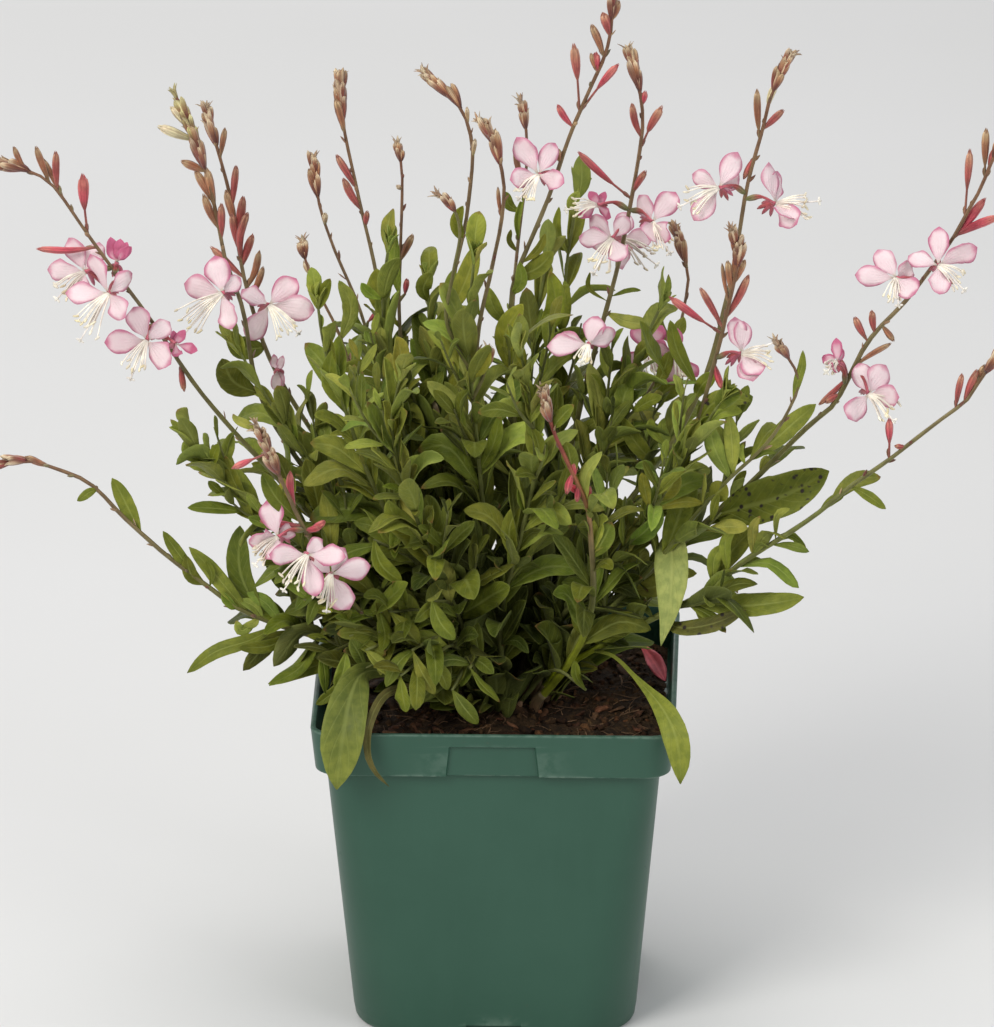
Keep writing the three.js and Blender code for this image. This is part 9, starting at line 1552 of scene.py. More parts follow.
def grow(s):
    """One grown piece: stem, leaves, buds and the tip of the spike."""
    idx = [q["name"] for q in STEMS].index(s["name"])
    g = np.random.default_rng(4000 + idx)
    sh = Shape()
    line, root = hosts[s["name"]]
    leafy = s["kind"] == "leafy"
    P = np.vstack([root[None], line.P[::3], line.P[-1:]])
    P = P[np.concatenate([[True], np.linalg.norm(np.diff(P, axis=0), axis=1) > 0.8])]
    n = len(P)
    u = np.linspace(0, 1, n)
    r = s["r0"] * 0.86 + (s["r1"] - s["r0"] * 0.86) * u ** 0.8
    r = r * (1 + 0.05 * np.sin(u * line.len / 3.1))
    tube(sh, P, r, 9, stem_tint("bright" if s["name"] in ("flower_stem_17", "flower_stem_21") else "red" if s["name"] == "flower_stem_20" else s["kind"]), g.random(), mat=1, ridges=0.05, ridge_n=3)
    # leaves that the solid model has too
    for q in LEAVES[s["name"]]:
        pts = np.array(q["pts"], float)
        base, T, _ = line.near(pts[0])
        own = q.get("own")
        hint = np.array(q["n"], float)
        if own:
            big = q["w"] > 9
            m = 26 if big else 16
            rest = list(pts[1:])
            hanging = q["w"] == 11.9
            if hanging:
                rest = HANG
                hint = A(-0.25, -0.93, 0.28)
            if q.get("late"):
                hint = A(-0.20, -0.80, 0.56)
            Pm = spline([base] + rest, m)
            # painted light: the hanging leaf gets the palest tone and a tint far above the other leaves', standing in
            # for light shining through it
            tone = 1.0 if hanging else 0.72 if q.get("late") else 0.44 if q["w"] == 17.3 else 0.55 if q["w"] in SPOTTED else 0.20 if q["w"] == 6.5 else g.uniform(0.50, 0.72)
            c = ramp(tone, [(0, LEAF_DARK), (0.5, LEAF_MID), (1, LEAF_LITE)])
            if hanging:
                c = A(0.36, 0.405, 0.120)
            if hanging:
                half = np.interp(np.linspace(0, 1, m), [0, .12, .22, .32, .44, .55, .66, .77, .87, .95, 1], [.10, .16, .34, .66, .95, 1.0, .86, .60, .34, .16, .02]) * 6.5
            if q["w"] == 6.5:
                c = mix(c, A(0.085, 0.060, 0.022), 0.55)
            if not hanging:
                half = late_half(m, q["w"]) if q.get("late") else leaf_half(m, q["w"], 0, late=0.66 if q["w"] == 17.3 else 0.85)
            # the tint pales towards the base, and its pale margins are a painted backlight rim
            blade(sh, Pm, hint, half, nc=11 if big else 7, thick=0.38, fold=0.30 if hanging else g.uniform(0.10, 0.22), curl=0.07, wave=0.12,
                  waves=2.0, phase=g.random() * TAU, tint=(lambda t, s_, c=c: mix(c, LEAF_LITE, 0.2 * s_ ** 2 + 0.15 * (1 - t))), rnd=g.random() * 0.7, mat=0,
                  spots=1.0 if q["w"] in SPOTTED or q["w"] == 6.5 else 0.0, twist=0.25 if hanging else 0.0, teeth=0.05, tooth_n=4.0)
        else:
            put_leaf(sh, base, pts[1], pts[2], hint, q["w"] * 1.12, g, n=12, nc=7, tone=g.normal(painted_shade_tone(pts[2]), 0.16))
    # leaves that stand out one by one
    for q in SINGLE.get(s["name"], ()):
        pts = np.array(q["pts"], float)
        base, T, _ = line.near(pts[0])
        d = unit(pts[2] - base)
        h = unit(FRONT * 0.9 + unit(T) * 0.25 + g.normal(0, 0.20, 3))
        put_leaf(sh, base, pts[1], pts[2], h, q["w"] * 1.04, g, n=13, nc=7, tone=q["tone"] + g.normal(0, 0.05), calm=0.5)
    # more leaves between them, and the small ones in their axils
    top = line.len if leafy else line.len * s["leaf_to"]
    step = 4.8 if leafy else 7.2
    k = 0
    x = 7.0
    next_branch = g.uniform(24, 40)
    while x < top:
        base, T = line.at(x)
        f = x / line.len
        side = unit(np.cross(UP, T)) if abs(T[2]) < 0.97 else A(1, 0, 0)
        other = np.cross(T, side)
        a = k * 2.39996 + s["seed"] * 1.7 + 0.6 + g.normal(0, 0.35)
        out = side * math.cos(a) + other * math.sin(a)
        near_tip = leafy and x > top - 14
        for j in range(1 if g.random() < 0.5 else 2):
            o = rot(out, T, g.normal(0, 0.5)) if j else out
            spread = g.uniform(0.14, 0.40) if near_tip else g.uniform(0.15, 0.50) if f > 0.66 else g.uniform(0.40, 1.0) - 0.25 * f
            d = unit(T * math.cos(spread) + o * math.sin(spread))
            L = np.interp(f, [0, 0.5, 0.8, 1], [34, 31, 23, 15]) * g.uniform(0.60, 1.16) * (0.60 if j else 1.0)
            if not leafy:
                L *= np.interp(x / top, [0, 0.6, 1], [1.0, 0.9, 0.55])
            w = L / (g.uniform(2.9, 4.2) if f < 0.7 else g.uniform(2.5, 3.5))
            mid = base + d * L * 0.52 + UP * L * g.uniform(0.0, 0.11) + o * L * 0.02
            tip = base + d * L + UP * L * (g.uniform(-0.36, 0.04) if f < 0.5 else g.uniform(-0.16, 0.06))
            if leaf_ok(base, mid, tip) and not over_sky(tip, g):
                h = unit(UP * 0.8 - o * 0.55) if T[2] < 0.75 else unit(T * 0.7 - o * 0.55)
                h = unit(h + FRONT * g.uniform(-0.2, 1.1) + g.normal(0, 0.22, 3))
                put_leaf(sh, base, mid, tip, h, w, g, n=11 if L > 23 else 9, nc=5, tone=g.normal(painted_shade_tone(tip), 0.20))
        if x > next_branch and x < top - 16:
            b = g.uniform(0.35, 0.7)
            e = unit(T * math.cos(b) + rot(out, T, 0.4) * math.sin(b))
            branchlet(sh, base, e, g.uniform(20, 38) * (1.0 if leafy else 0.8), g, f, painted_shade_tone(base) + 0.04)
            next_branch = x + (g.uniform(15, 27) if leafy else g.uniform(26, 46))
        k += 1
        x += step * g.uniform(0.8, 1.25)
    if leafy:
        # the tuft at the growing tip
        p, T = line.at(line.len)
        side = unit(np.cross(T, A(0.2, -1, 0.3)))
        for k in range(7):
            o = rot(side, T, k * 2.39996)
            a = 0.10 + 0.05 * k
            e = unit(T * math.cos(a) + o * math.sin(a))
            l = g.uniform(7, 12) * (1.1 if k > 3 else 0.8)
            put_leaf(sh, p - T * 0.8 * k * 0.5, p + e * l * 0.5, p + e * l + o * 0.6, unit(T * 0.5 - o), l / g.uniform(2.4, 3.4), g, n=9, nc=5, tone=g.normal(min(0.92, painted_shade_tone(p) + 0.2), 0.10))
    # bracts and spent-flower stubs up the bare part of a spike
    if not leafy:
        x = top + 4
        while x < line.len - s["cluster"]:
            base, T = line.at(x)
            a = g.random() * TAU
            side = unit(np.cross(T, A(0.2, -1, 0.3)))
            o = rot(side, T, a)
            d = unit(T * 0.86 + o * 0.5)
            L = g.uniform(2.2, 4.6)
            if g.random() < 0.55:
                blade(sh, spline([base, base + d * L * 0.5, base + d * L + T * 0.3], 6), -o, leaf_half(6, 1.5, 0, toothed=False), nc=3, thick=0.25, fold=0.3,
                      tint=mix(STEM_RED, TAN, g.random()), rnd=g.random(), mat=2)
            else:
                uu = np.linspace(0, 1, 6)
                tube(sh, spline([base, base + d * L * 0.5, base + d * L * 0.9], 6), 0.62 * np.sin(np.pi * (0.15 + 0.8 * uu)), 7, mix(STEM_OLIVE, BROWN_RED, g.random()), g.random(), mat=2, ridges=0.1)
            x += g.uniform(7, 14)
    for b in s["buds"]:
        base, T, _ = line.near(b["base"])
        bud(sh, base, np.array(b["tip"], float), b["w"] * 1.05, b["col"], g, b["stalk"])
    for b in SMALL_BUDS.get(s["name"], ()):
        pts = np.array(b["pts"], float)
        if len(pts) > 2:
            tube(sh, spline(pts[:-1], 4 * len(pts)), np.linspace(0.85, 0.5, 4 * len(pts)), 7, mix(STEM_OLIVE, STEM_GREEN, g.random()), g.random(), mat=1, ridges=0.06)
        if b["col"] == 9:
            cluster(sh, Line(pts), b["w"], g)
            continue
        bud(sh, pts[-2], pts[-1], b["w"], b["col"], g, 0.08)
    for f in HALF_HIDDEN.get(s["name"], ()):
        make_flower(sh, f, line)
    if s["cluster"] > 0:
        cluster(sh, line, {"flower_stem_19": 27.0, "flower_stem_02": 31.0, "flower_stem_05": 14.0, "flower_stem_20": 14.0}.get(s["name"], s["cluster"]), g, 1.0 if s["name"] == "flower_stem_02" else 0.5)
    return sh


for s in STEMS:
    grow(s).build(s["name"] + "_grown", PLANT_MATS, "leafy_shoot" if s["kind"] == "leafy" else "flower_spike", (s["name"],))
for f in FLOWERS:
    sh = Shape()
    make_flower(sh, f, hosts[f["stem"]][0])
    sh.build(f["name"] + "_open", PLANT_MATS, "petal", (f["name"],))


# ---------------------------------------------------------------- the crown
def noise2(x, y, scale, seed):
    """Smooth value noise."""
    g = np.random.default_rng(seed)
    lat = g.random((64, 64))
    u, v = x / scale + 20, y / scale + 20
    i, j = np.floor(u).astype(int), np.floor(v).astype(int)
    a, b = u - i, v - j
    a, b = a * a * (3 - 2 * a), b * b * (3 - 2 * b)
    i0, j0, i1, j1 = i % 64, j % 64, (i + 1) % 64, (j + 1) % 64
    return lat[i0, j0] * (1 - a) * (1 - b) + lat[i1, j0] * a * (1 - b) + lat[i0, j1] * (1 - a) * b + lat[i1, j1] * a * b


def soil_height(x, y):
    r = np.hypot(x, y)
    z = 111.2 + 2.6 * np.exp(-(r / 24) ** 2)
    z = z + 2.2 * (noise2(x, y, 16, 1) - 0.5) + 1.8 * (noise2(x, y, 6, 2) - 0.5) + 1.3 * (noise2(x, y, 2.6, 3) - 0.5) + 0.9 * (noise2(x, y, 1.2, 4) - 0.5)
    edge = np.maximum(np.abs(x), np.abs(y))
    return z - 1.6 * smooth(edge, 54, 61)


def crown():
    g = np.random.default_rng(77)
    sh = Shape()
    for q in LEAVES["root_crown"]:
        pts = np.array(q["pts"], float)
        hint = np.array(q["n"], float)
        base = pts[0].copy()
        base[2] = 111.5
        if q.get("own"):
            Pm = spline([base] + list(pts[1:]), 30)
            wide = q["w"] > 12
            c = A(0.104, 0.128, 0.022) if wide else A(0.105, 0.092, 0.024)
            half = late_half(30, q["w"]) if wide else leaf_half(30, q["w"], 0)
            # the wide leaves' pale margins are a painted backlight rim; the narrow ones' margins are darker
            blade(sh, Pm, hint, half, nc=11 if wide else 5, thick=0.42, fold=0.26 if wide else 0.5, curl=0.05,
                  wave=0.14, waves=2.4, phase=1.0, tint=(lambda t, s_, c=c: mix(mix(c, LEAF_LITE * 1.05, 0.36 * smooth(t, 0.72, 1.0) * (1 if wide else 0)), LEAF_LITE if wide else c * 0.6, 0.25 * s_ ** 2)), rnd=0.3, mat=0, teeth=0.05, tooth_n=4.0)
        else:
            put_leaf(sh, base, pts[1], pts[2], hint, q["w"] * 1.1, g, n=13, nc=7, tone=g.normal(0.38, 0.16))
    # thin side shoots that carry the low leaves over the rim
    for q in SINGLE["root_crown"]:
        pts = np.array(q["pts"], float)
        run = Line(pts[:3])
        tube(sh, spline(run.P, 14), np.linspace(0.95, 0.5, 14), 7, STEM_GREEN * g.uniform(0.8, 1.1), g.random(), mat=1, ridges=0.06)
        h = unit(UP * 0.55 + FRONT * 0.75 + g.normal(0, 0.22, 3))
        put_leaf(sh, pts[2], pts[3], pts[4], h, q["w"] * 1.04, g, n=13, nc=7, tone=q["tone"] + g.normal(0, 0.05), calm=0.6)
        x, k = run.len * 0.42, g.integers(0, 9)
        while x < run.len - 1:
            p, T = run.at(x)
            o = rot(unit(np.cross(UP, T)), T, k * 2.39996)
            a = g.uniform(0.45, 0.95)
            e = unit(T * math.cos(a) + o * math.sin(a))
            l = g.uniform(13, 22)
            mid = p + e * l * 0.52 + UP * l * 0.05
            end = p + e * l - UP * l * g.uniform(-0.04, 0.2)
            if leaf_ok(p, mid, end):
                put_leaf(sh, p, mid, end, unit(UP * 0.7 - o * 0.3 + FRONT * g.uniform(0.1, 0.9) + g.normal(0, 0.2, 3)), l / g.uniform(2.5, 3.5), g, n=9, nc=5, tone=g.normal(painted_shade_tone(end) + 0.04, 0.17))
            x += g.uniform(4.5, 8.0)
            k += 1
    # short woody bases of this year's and last year's stems
    for s in STEMS:
        p = np.array(s["pts"][0], float)
        q = np.array(s["pts"][1], float)
        d = unit(q - p)
        b = A(p[0] * 0.93, p[1] * 0.93, 108.5)
        tube(sh, spline([b, p + d * 1.5, p + d * 6.5], 8), np.linspace(2.1, s["r0"] * 0.98, 8), 9, (lambda t: ramp(t, [(0, A(0.10, 0.055, 0.03)), (0.6, A(0.16, 0.10, 0.05)), (1, STEM_OLIVE * 0.85)])), g.random(), mat=1, ridges=0.06, ridge_n=5)
    for k in range(16):
        a, r = g.random() * TAU, g.uniform(4, 21)
        b = A(r * math.cos(a), r * math.sin(a), 109.5)
        d = unit(A(math.cos(a) * 0.4, math.sin(a) * 0.4, 1) + g.normal(0, 0.2, 3))
        L = g.uniform(5, 11)
        tube(sh, spline([b, b + d * L * 0.6, b + d * L + g.normal(0, 0.5, 3)], 6), [1.5, 1.35, 1.2, 1.15, 1.1, 0.75], 8, A(0.17, 0.10, 0.055) * g.uniform(0.7, 1.3), g.random(), mat=1, ridges=0.07, ridge_n=5)
    # low leaves that fill the middle
    for k in range(110):
        a, r = g.random() * TAU, g.uniform(8, 22)
        base = A(r * math.cos(a), r * math.sin(a), 112.0)
        o = A(math.cos(a), math.sin(a), 0)
        L = g.uniform(18, 38)
        rise = g.uniform(0.35, 1.3)
        d = unit(o + UP * rise)
        mid = base + d * L * 0.5 + UP * L * 0.10
        tip = base + d * L - UP * L * g.uniform(0.02, 0.22)
        if leaf_ok(base, mid, tip):
            put_leaf(sh, base, mid, tip, unit(UP - o * 0.4 + FRONT * g.uniform(0, 0.6) + g.normal(0, 0.2, 3)), L / g.uniform(2.8, 3.9), g, n=10, nc=5, tone=g.normal(0.24, 0.15))
    return sh


crown().build("root_crown_grown", PLANT_MATS, "crown", ("root_crown",))

# the crimson leaf that has died back against the right wall
sh = Shape()
P = spline([A(49.4, 38.2, 122.3), A(53.2, 30.5, 120.2), A(57.4, 22.0, 117.6), A(61.0, 13.2, 114.4)], 22)
t = np.linspace(0, 1, 22)
half = np.interp(t, [0, .15, .35, .6, .8, .93, 1], [.10, .16, .50, 1, .85, .40, .03]) * 3.3
# the tint runs from dark at the base to bright crimson towards the lower end: own colour, partly painted light on the
# lit lower end
blade(sh, P, unit(A(-0.25, -0.75, 0.62)), half, nc=9, thick=0.3, fold=0.34, curl=0.10, wave=0.18, waves=2.0, twist=0.3,
      tint=lambda t, s: ramp(t + 0.12 * s ** 2, [(0, A(0.28, 0.055, 0.045)), (0.35, A(0.74, 0.110, 0.130)), (0.8, A(0.96, 0.215, 0.280)), (1.15, A(0.70, 0.090, 0.140))]), rnd=0.3, mat=0)
sh.build("fallen_red_leaf_curled", [herb_material("crimson_leaf", 18.0, (0.4, 0.55), 0.0002, 0.1)], "red_leaf", ("fallen_red_leaf",))


# -------------------------------------------------------------- the compost
def compost():
    n = 112
    sh = Shape()
    h, c = 61.2, 6.9
    u = np.linspace(-1, 1, n)
    X, Y = np.meshgrid(u * h, u * h, indexing="ij")
    # round the square's corners by pulling its grid in
    ax, ay = np.abs(X), np.abs(Y)
    over = np.clip(np.minimum(ax, ay) - (h - c), 0, None)
    k = np.maximum(ax, ay) - (h - c)
    ln = np.hypot(np.clip(ax - (h - c), 0, None), np.clip(ay - (h - c), 0, None))
    f = np.where((over > 0) & (ln > 0), np.clip(k, 0, None) / np.maximum(ln, 1e-6), 1.0)
    X = np.where(over > 0, np.sign(X) * ((h - c) + (ax - (h - c)) * f), X)
    Y = np.where(over > 0, np.sign(Y) * ((h - c) + (ay - (h - c)) * f), Y)
    Z = soil_height(X, Y)
    top = np.stack([X, Y, Z], 2).reshape(-1, 3)
    i, j = np.meshgrid(np.arange(n - 1), np.arange(n - 1), indexing="ij")
    a = (i * n + j).ravel()
    quads = [np.stack([a, a + n, a + n + 1, a + 1], 1)]
    ring = np.concatenate([np.arange(n) * n, (n - 1) * n + np.arange(1, n), np.arange(n - 2, -1, -1) * n + n - 1, np.arange(n - 2, 0, -1)])
    m = len(ring)
    rows = [top]
    prev = ring
    base = len(top)
    rx, ry = top[ring][:, 0], top[ring][:, 1]
    turn = np.arctan2(ry, rx)
    for hh, cc, z in ((60.4, 7.6, 108.8), (57.9, 10.4, 106.6), (49.6, 22.6, 10.0), (45.0, 21.0, 8.5)):
        # rounded square hh half wide with corner radius cc, met along each direction
        d = np.stack([np.cos(turn), np.sin(turn)], 1)
        ad = np.abs(d)
        flat = hh / ad.max(1)
        m0 = hh - cc
        bdot = m0 * ad.sum(1)
        corner = bdot + np.sqrt(np.maximum(bdot ** 2 - (2 * m0 * m0 - cc * cc), 0))
        lo = ad.min(1) * flat
        rr = np.where(lo > m0, np.minimum(corner, flat), flat)
        q = np.concatenate([d * rr[:, None], np.full((m, 1), z)], 1)
        rows.append(q)
        cur = base + np.arange(m)
        nx = np.roll(np.arange(m), -1)
        quads.append(np.stack([prev[nx], prev, cur, cur[nx]], 1)[:, ::-1])
        prev = cur
        base += m
    rows.append(A(0, 0, 8.5)[None])
    nx = np.roll(np.arange(m), -1)
    tris = np.stack([prev, prev[nx], np.full(m, base)], 1)[:, ::-1]
    v = np.concatenate(rows)
    shade = np.ones((len(v), 4))
    shade[: n * n, :3] = (0.75 + 0.6 * noise2(X, Y, 9, 12)).reshape(-1, 1)
    sh.add(v, shade, (0, 0, 0, 0), quads=np.concatenate(quads), tris=tris)
    return sh


compost().build("compost_surface", [M_SOIL], "soil", ("soil",))


def lump(sh, c, size, g, mat=0, shade=1.0, sides=7, rings=5, axis=None):
    """An irregular crumb or chip with broken faces."""
    d = unit(axis if axis is not None else g.normal(0, 1, 3) * A(1, 1, 0.3))
    L, W, H = size
    P = c + d * np.linspace(-L / 2, L / 2, rings)[:, None] + g.normal(0, 0.06 * W, (rings, 3))
    u = np.linspace(0, 1, rings)
    prof = np.clip(np.sin(np.pi * (0.10 + 0.8 * u)) ** 0.5 * g.uniform(0.8, 1.15, rings), 0.2, 1.2)
    T = d
    N = unit(UP - T * (T @ UP) + g.normal(0, 0.25, 3))
    N = unit(N - T * (T @ N))
    B = np.cross(T, N)
    a = np.arange(sides) * TAU / sides
    jag = g.uniform(0.78, 1.22, (rings, sides))
    ring = P[:, None] + N * (H / 2 * prof[:, None] * np.cos(a) * jag)[:, :, None] + B * (W / 2 * prof[:, None] * np.sin(a) * jag)[:, :, None]
    v = np.concatenate([ring.reshape(-1, 3), P[:1] - d * 0.1 * L * 0.5, P[-1:] + d * 0.1 * L * 0.5])
    i, k = np.meshgrid(np.arange(rings - 1), np.arange(sides), indexing="ij")
    i, k = i.ravel(), k.ravel()
    k2 = (k + 1) % sides
    q = np.stack([i * sides + k, i * sides + k2, (i + 1) * sides + k2, (i + 1) * sides + k], 1)
    k = np.arange(sides)
    k2 = (k + 1) % sides
    tr = np.vstack([np.stack([np.full(sides, rings * sides), k2, k], 1), np.stack([np.full(sides, rings * sides + 1), (rings - 1) * sides + k, (rings - 1) * sides + k2], 1)])
    t = np.full((len(v), 4), shade)
    hue = g.random()
    t[:, :3] *= g.uniform(0.9, 1.1, (len(v), 1)) * mix(A(1.15, 0.80, 0.70), A(1.1, 1.12, 1.0), hue)
    sh.add(v, t, (0.5, 0.5, g.random(), 0), quads=q, tris=tr, mat=mat)


def litter():
    g = np.random.default_rng(515)
    chips, crumbs, fibres = Shape(), Shape(), Shape()
    for k in range(170):
        x, y = g.uniform(-58, 58, 2)
        if math.hypot(x, y) < 15:
            continue
        z = float(soil_height(np.array([x]), np.array([y]))[0])
        L = g.gamma(4, 1.15) + 1.4
        d = unit(A(g.normal(), g.normal(), g.normal(0, 0.28)))
        if max(abs(x + d[0] * L / 2), abs(y + d[1] * L / 2)) > 60:
            continue
        lump(chips, A(x, y, z + 0.25), (L, L * g.uniform(0.28, 0.6), g.uniform(0.7, 1.9)), g, 0, g.uniform(1.5, 2.4) if g.random() < 0.07 else g.uniform(0.4, 1.15), 7, 5, d)
    for k in range(900):
        x, y = g.uniform(-60, 60, 2)
        z = float(soil_height(np.array([x]), np.array([y]))[0])
        s = g.gamma(2.2, 0.45) + 0.5
        lump(crumbs, A(x, y, z + 0.15 * s), (s * 1.2, s, s * 0.9), g, 0, g.uniform(0.5, 2.2), 5, 4)
    for k in range(170):
        x, y = g.uniform(-57, 57, 2)
        z = float(soil_height(np.array([x]), np.array([y]))[0])
        L = g.uniform(4, 15)
        a = g.random() * TAU
        d = A(math.cos(a), math.sin(a), 0)
        e = A(-d[1], d[0], 0)
        pts = [A(x, y, z + 0.3) + d * L * f + e * g.normal(0, 0.08 * L) for f in (-0.5, -0.17, 0.17, 0.5)]
        if max(np.abs(np.array(pts)[:, :2]).max(), 0) > 60:
            continue
        pts = [A(p[0], p[1], float(soil_height(np.array([p[0]]), np.array([p[1]]))[0]) + g.uniform(0.1, 1.1)) for p in pts]
        r = g.uniform(0.12, 0.38)
        c = g.uniform(0.5, 1.3)
        tube(fibres, spline(pts, 8), np.linspace(r, r * 0.5, 8), 4, A(c, c, c), g.random())
    chips.build("bark_chips", [M_BARK], "soil")
    crumbs.build("peat_crumbs", [M_SOIL], "soil")
    fibres.build("peat_fibres", [M_FIBRE], "soil")


litter()


# ------------------------------------------------------------------ the pot
def fine_pot():
    sh = Shape()
    K = 14
    NOTCH = 10.0
    zl, zt = 107.0, 119.0
    lab = lambda z: np.interp(z, [zl, zt], [16.6, 15.3])
    out, cols_kind = [], None

    def ring(h, c, z, off=0.0):
        pts = []
        for side in range(4):
            rc = h - c
            if side == 0:
                lx = float(lab(z))
                e = 0.32
                xs = [-rc, -rc * 0.75, -(lx + e) - 0.4 * (rc - lx), -(lx + e), -(lx - e), -NOTCH - 0.05, -NOTCH + 0.05, -3.5, 3.5, NOTCH - 0.05, NOTCH + 0.05, lx - e, lx + e, lx + e + 0.4 * (rc - lx), rc * 0.75, rc]
            else:
                xs = [-rc, -rc * 0.75, -rc * 0.5, -NOTCH - 0.05, -NOTCH + 0.05, -3.5, 3.5, NOTCH - 0.05, NOTCH + 0.05, rc * 0.5, rc * 0.75, rc]
            xs = sorted(xs)
            for x in xs:
                pts.append((side, x, -h, x))
            for k in range(1, K):
                a = -math.pi / 2 + k / K * math.pi / 2
                pts.append((side, rc + c * math.cos(a), -rc + c * math.sin(a), 99.0))
        P = []
        for side, x, y, key in pts:
            a = side * math.pi / 2
            P.append((x * math.cos(a) - y * math.sin(a), x * math.sin(a) + y * math.cos(a), z, side, key))
        return P

    def arc(h0, z0, h1, z1, ch, cz, n, c):
        return [(h, c, z) for h, z in zip(h0 + (h1 - h0) * np.linspace(0, 1, n), z0 + (z1 - z0) * np.linspace(0, 1, n))]

    rows = []
    # outside, foot to rim
    rows += [(30.0, 14.0, 0.0), (48.5, 23.0, 0.0), (49.8, 24.0, 0.12), (50.5, 24.6, 0.5), (50.9, 25.0, 1.2), (51.05, 25.0, 2.4)]
    body = lambda z: (51.0 + (60.2 - 51.0) * (z / 107.0), 25.0 + (11.0 - 25.0) * (z / 107.0))
    for z in (4.95, 5.05, 9, 16, 26, 38, 52, 66, 80, 92, 100, 105.4):
        h, c = body(z)
        rows.append((h, c, z))
    rows += [(60.25, 11.0, 106.5), (60.6, 10.6, 106.85), (61.2, 10.2, 107.0), (62.9, 9.6, 107.0), (63.5, 9.2, 107.12), (63.85, 9.1, 107.45)]
    col = lambda z: 63.9 + (65.5 - 63.9) * (z - 107.5) / 16.0
    for z in (107.85, 108.52, 111, 113.6, 116.2, 118.68, 119.32, 121.2, 122.6):
        rows.append((col(z), 9.1 + (8.7 - 9.1) * (z - 107) / 17, z))
    rows += [(65.55, 8.7, 123.2), (65.5, 8.65, 123.6), (65.3, 8.5, 123.87), (64.95, 8.2, 124.0), (64.1, 7.5, 124.0), (63.75, 7.2, 123.85), (63.5, 7.0, 123.5)]
    outer_rows = len(rows)
    # inside, rim to floor
    rows += [(62.9, 7.2, 117.0), (62.1, 7.5, 109.6), (61.5, 7.9, 108.9), (59.2, 9.0, 108.5), (58.7, 9.4, 107.6), (57.6, 10.6, 95.0), (50.2, 22.5, 9.0), (45.5, 20.0, 7.0), (45.2, 20.0, 2.0), (20.0, 9.0, 1.8)]
    R = [ring(h, c, z) for h, c, z in rows]
    n = len(R[0])
    V = np.array([[p[:3] for p in r] for r in R], float)
    keys = np.array([[p[4] for p in r] for r in R], float)
    side = np.array([[p[3] for p in r] for r in R], int)
    ny = {0: A(0, 1, 0), 1: A(-1, 0, 0), 2: A(0, -1, 0), 3: A(1, 0, 0)}
    for i, (h, c, z) in enumerate(rows):
        for k in range(n):
            x = keys[i, k]
            if x > 90:
                continue
            if i < outer_rows and side[i, k] == 0 and abs(x) <= float(lab(z)) - 0.2 and 106.9 < z < 119.0 and h > 62.5:
                V[i, k] += A(0, 1.3, 0)
            if i < outer_rows and abs(x) <= NOTCH and z < 5.0 and h > 45:
                V[i, k] += ny[side[i, k]] * 4.2
                if z < 0.6:
                    V[i, k][2] = 0.0
    verts = np.concatenate([V.reshape(-1, 3), A(0, 0, 0)[None], A(0, 0, 1.8)[None]])
    i, k = np.meshgrid(np.arange(len(rows) - 1), np.arange(n), indexing="ij")
    i, k = i.ravel(), k.ravel()
    k2 = (k + 1) % n
    q = np.stack([i * n + k, i * n + k2, (i + 1) * n + k2, (i + 1) * n + k], 1)
    k = np.arange(n)
    k2 = (k + 1) % n
    c0, c1 = len(rows) * n, len(rows) * n + 1
    tr = np.vstack([np.stack([np.full(n, c0), k2, k], 1), np.stack([np.full(n, c1), (len(rows) - 1) * n + k, (len(rows) - 1) * n + k2], 1)])
    sh.add(verts, (1, 1, 1, 1), (0, 0, 0, 0), quads=q, tris=tr)
    return sh


fine_pot().build("nursery_pot", [M_POT], "pot", ("pot",), smooth_angle=28)

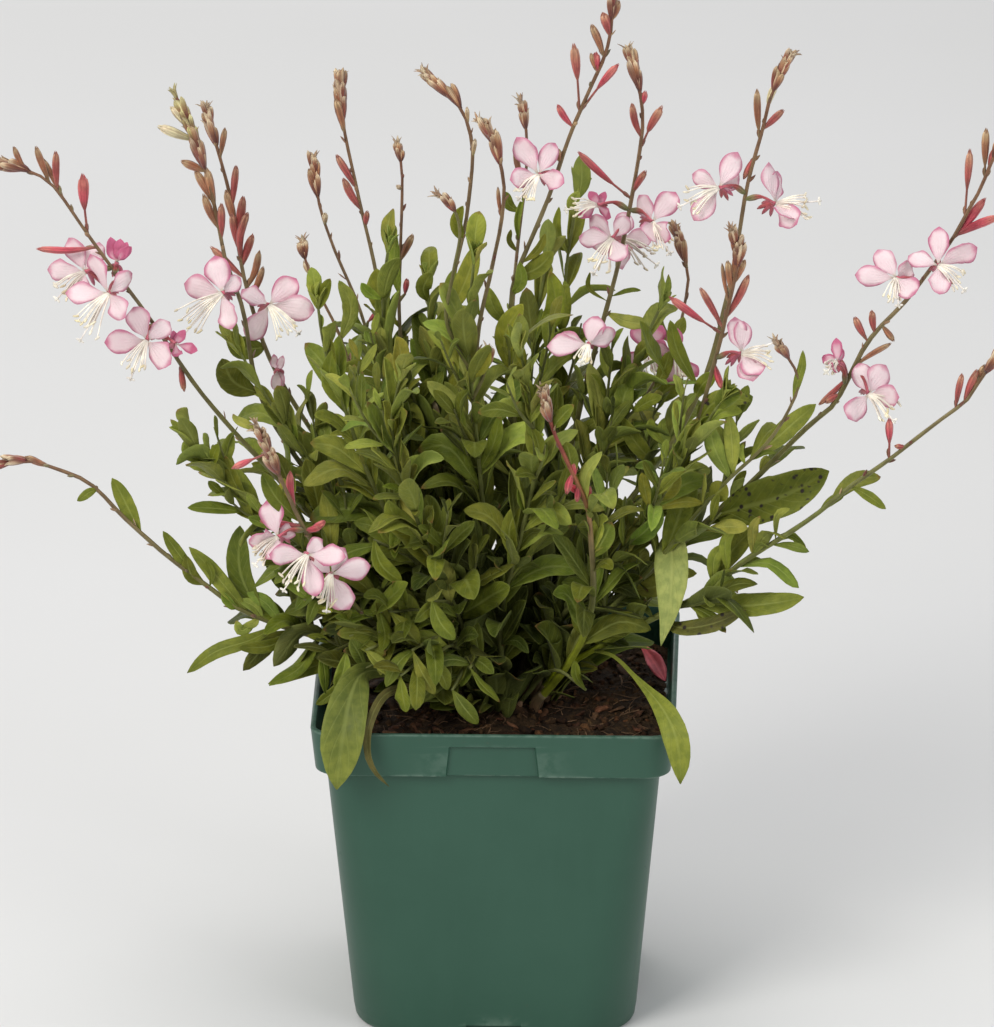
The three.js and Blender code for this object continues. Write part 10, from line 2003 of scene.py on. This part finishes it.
# --------------------------------------------------------- floor and lights
me = bpy.data.meshes.new("studio_floor")
me.from_pydata([(-6, -6, 0), (6, -6, 0), (6, 6, 0), (-6, 6, 0)], [], [(0, 1, 2, 3)])
floor = bpy.data.objects.new("studio_floor", me)
bpy.context.scene.collection.objects.link(floor)
fm, fnt, fb = new_material("studio_paper")
FN = Nodes(fnt)
fc = FN.mix(FN.range(FN.noise(3.0, 3.0, 0.5, FN.object_coord()), 0.3, 0.7), (0.74, 0.735, 0.72), (0.76, 0.755, 0.745))
fnt.links.new(fc, fb.inputs["Base Color"])
setp(fb, Roughness=0.85, Specular_IOR_Level=0.2)
me.materials.append(fm)

world = bpy.data.worlds.new("studio")
bpy.context.scene.world = world
world.use_nodes = True
bg = world.node_tree.nodes["Background"]
bg.inputs[0].default_value = (0.93, 0.95, 1.0, 1)
bg.inputs[1].default_value = WORLD_LIGHT


def softbox(name, place, target, size, power, colour=(1, 1, 1)):
    li = bpy.data.lights.new(name, "AREA")
    li.shape = "RECTANGLE"
    li.size, li.size_y = size
    li.energy = power
    li.color = colour
    ob = bpy.data.objects.new(name, li)
    bpy.context.scene.collection.objects.link(ob)
    p, q = Vector(place), Vector(target)
    ob.location = p
    ob.rotation_euler = (q - p).to_track_quat("-Z", "Y").to_euler()


softbox("key", (-0.95, -1.35, 1.45), (0, 0, 0.17), (0.9, 0.9), KEY, (1.0, 0.985, 0.955))
softbox("fill", (1.35, -1.2, 0.75), (0, 0, 0.17), (1.0, 0.9), FILL, (0.96, 0.98, 1.0))
softbox("back", (-0.7, 1.7, 1.1), (0, 0, 0.18), (1.1, 1.0), BACKL, (1.0, 0.99, 0.97))
softbox("top", (0.1, 0.25, 1.9), (0, 0, 0.15), (1.1, 1.1), TOPL, (1.0, 1.0, 0.99))

cam = bpy.data.cameras.new("camera")
cam.sensor_width = 36.0
cam.lens = 485.1
cam.clip_start, cam.clip_end = 0.1, 60.0
camera = bpy.data.objects.new("camera", cam)
bpy.context.scene.collection.objects.link(camera)
el, az, dist = math.radians(21.0), math.radians(1.5), 5.0
back = Vector((math.sin(az) * math.cos(el), -math.cos(az) * math.cos(el), math.sin(el)))
right = Vector((math.cos(az), math.sin(az), 0))
up = back.cross(right)
camera.matrix_world = Matrix((
    (right.x, up.x, back.x, back.x * dist),
    (right.y, up.y, back.y, back.y * dist),
    (right.z, up.z, back.z, back.z * dist + 0.1842),
    (0, 0, 0, 1)))
bpy.context.scene.camera = camera
bpy.context.scene.view_settings.view_transform = "Standard"
bpy.context.scene.view_settings.look = "None"
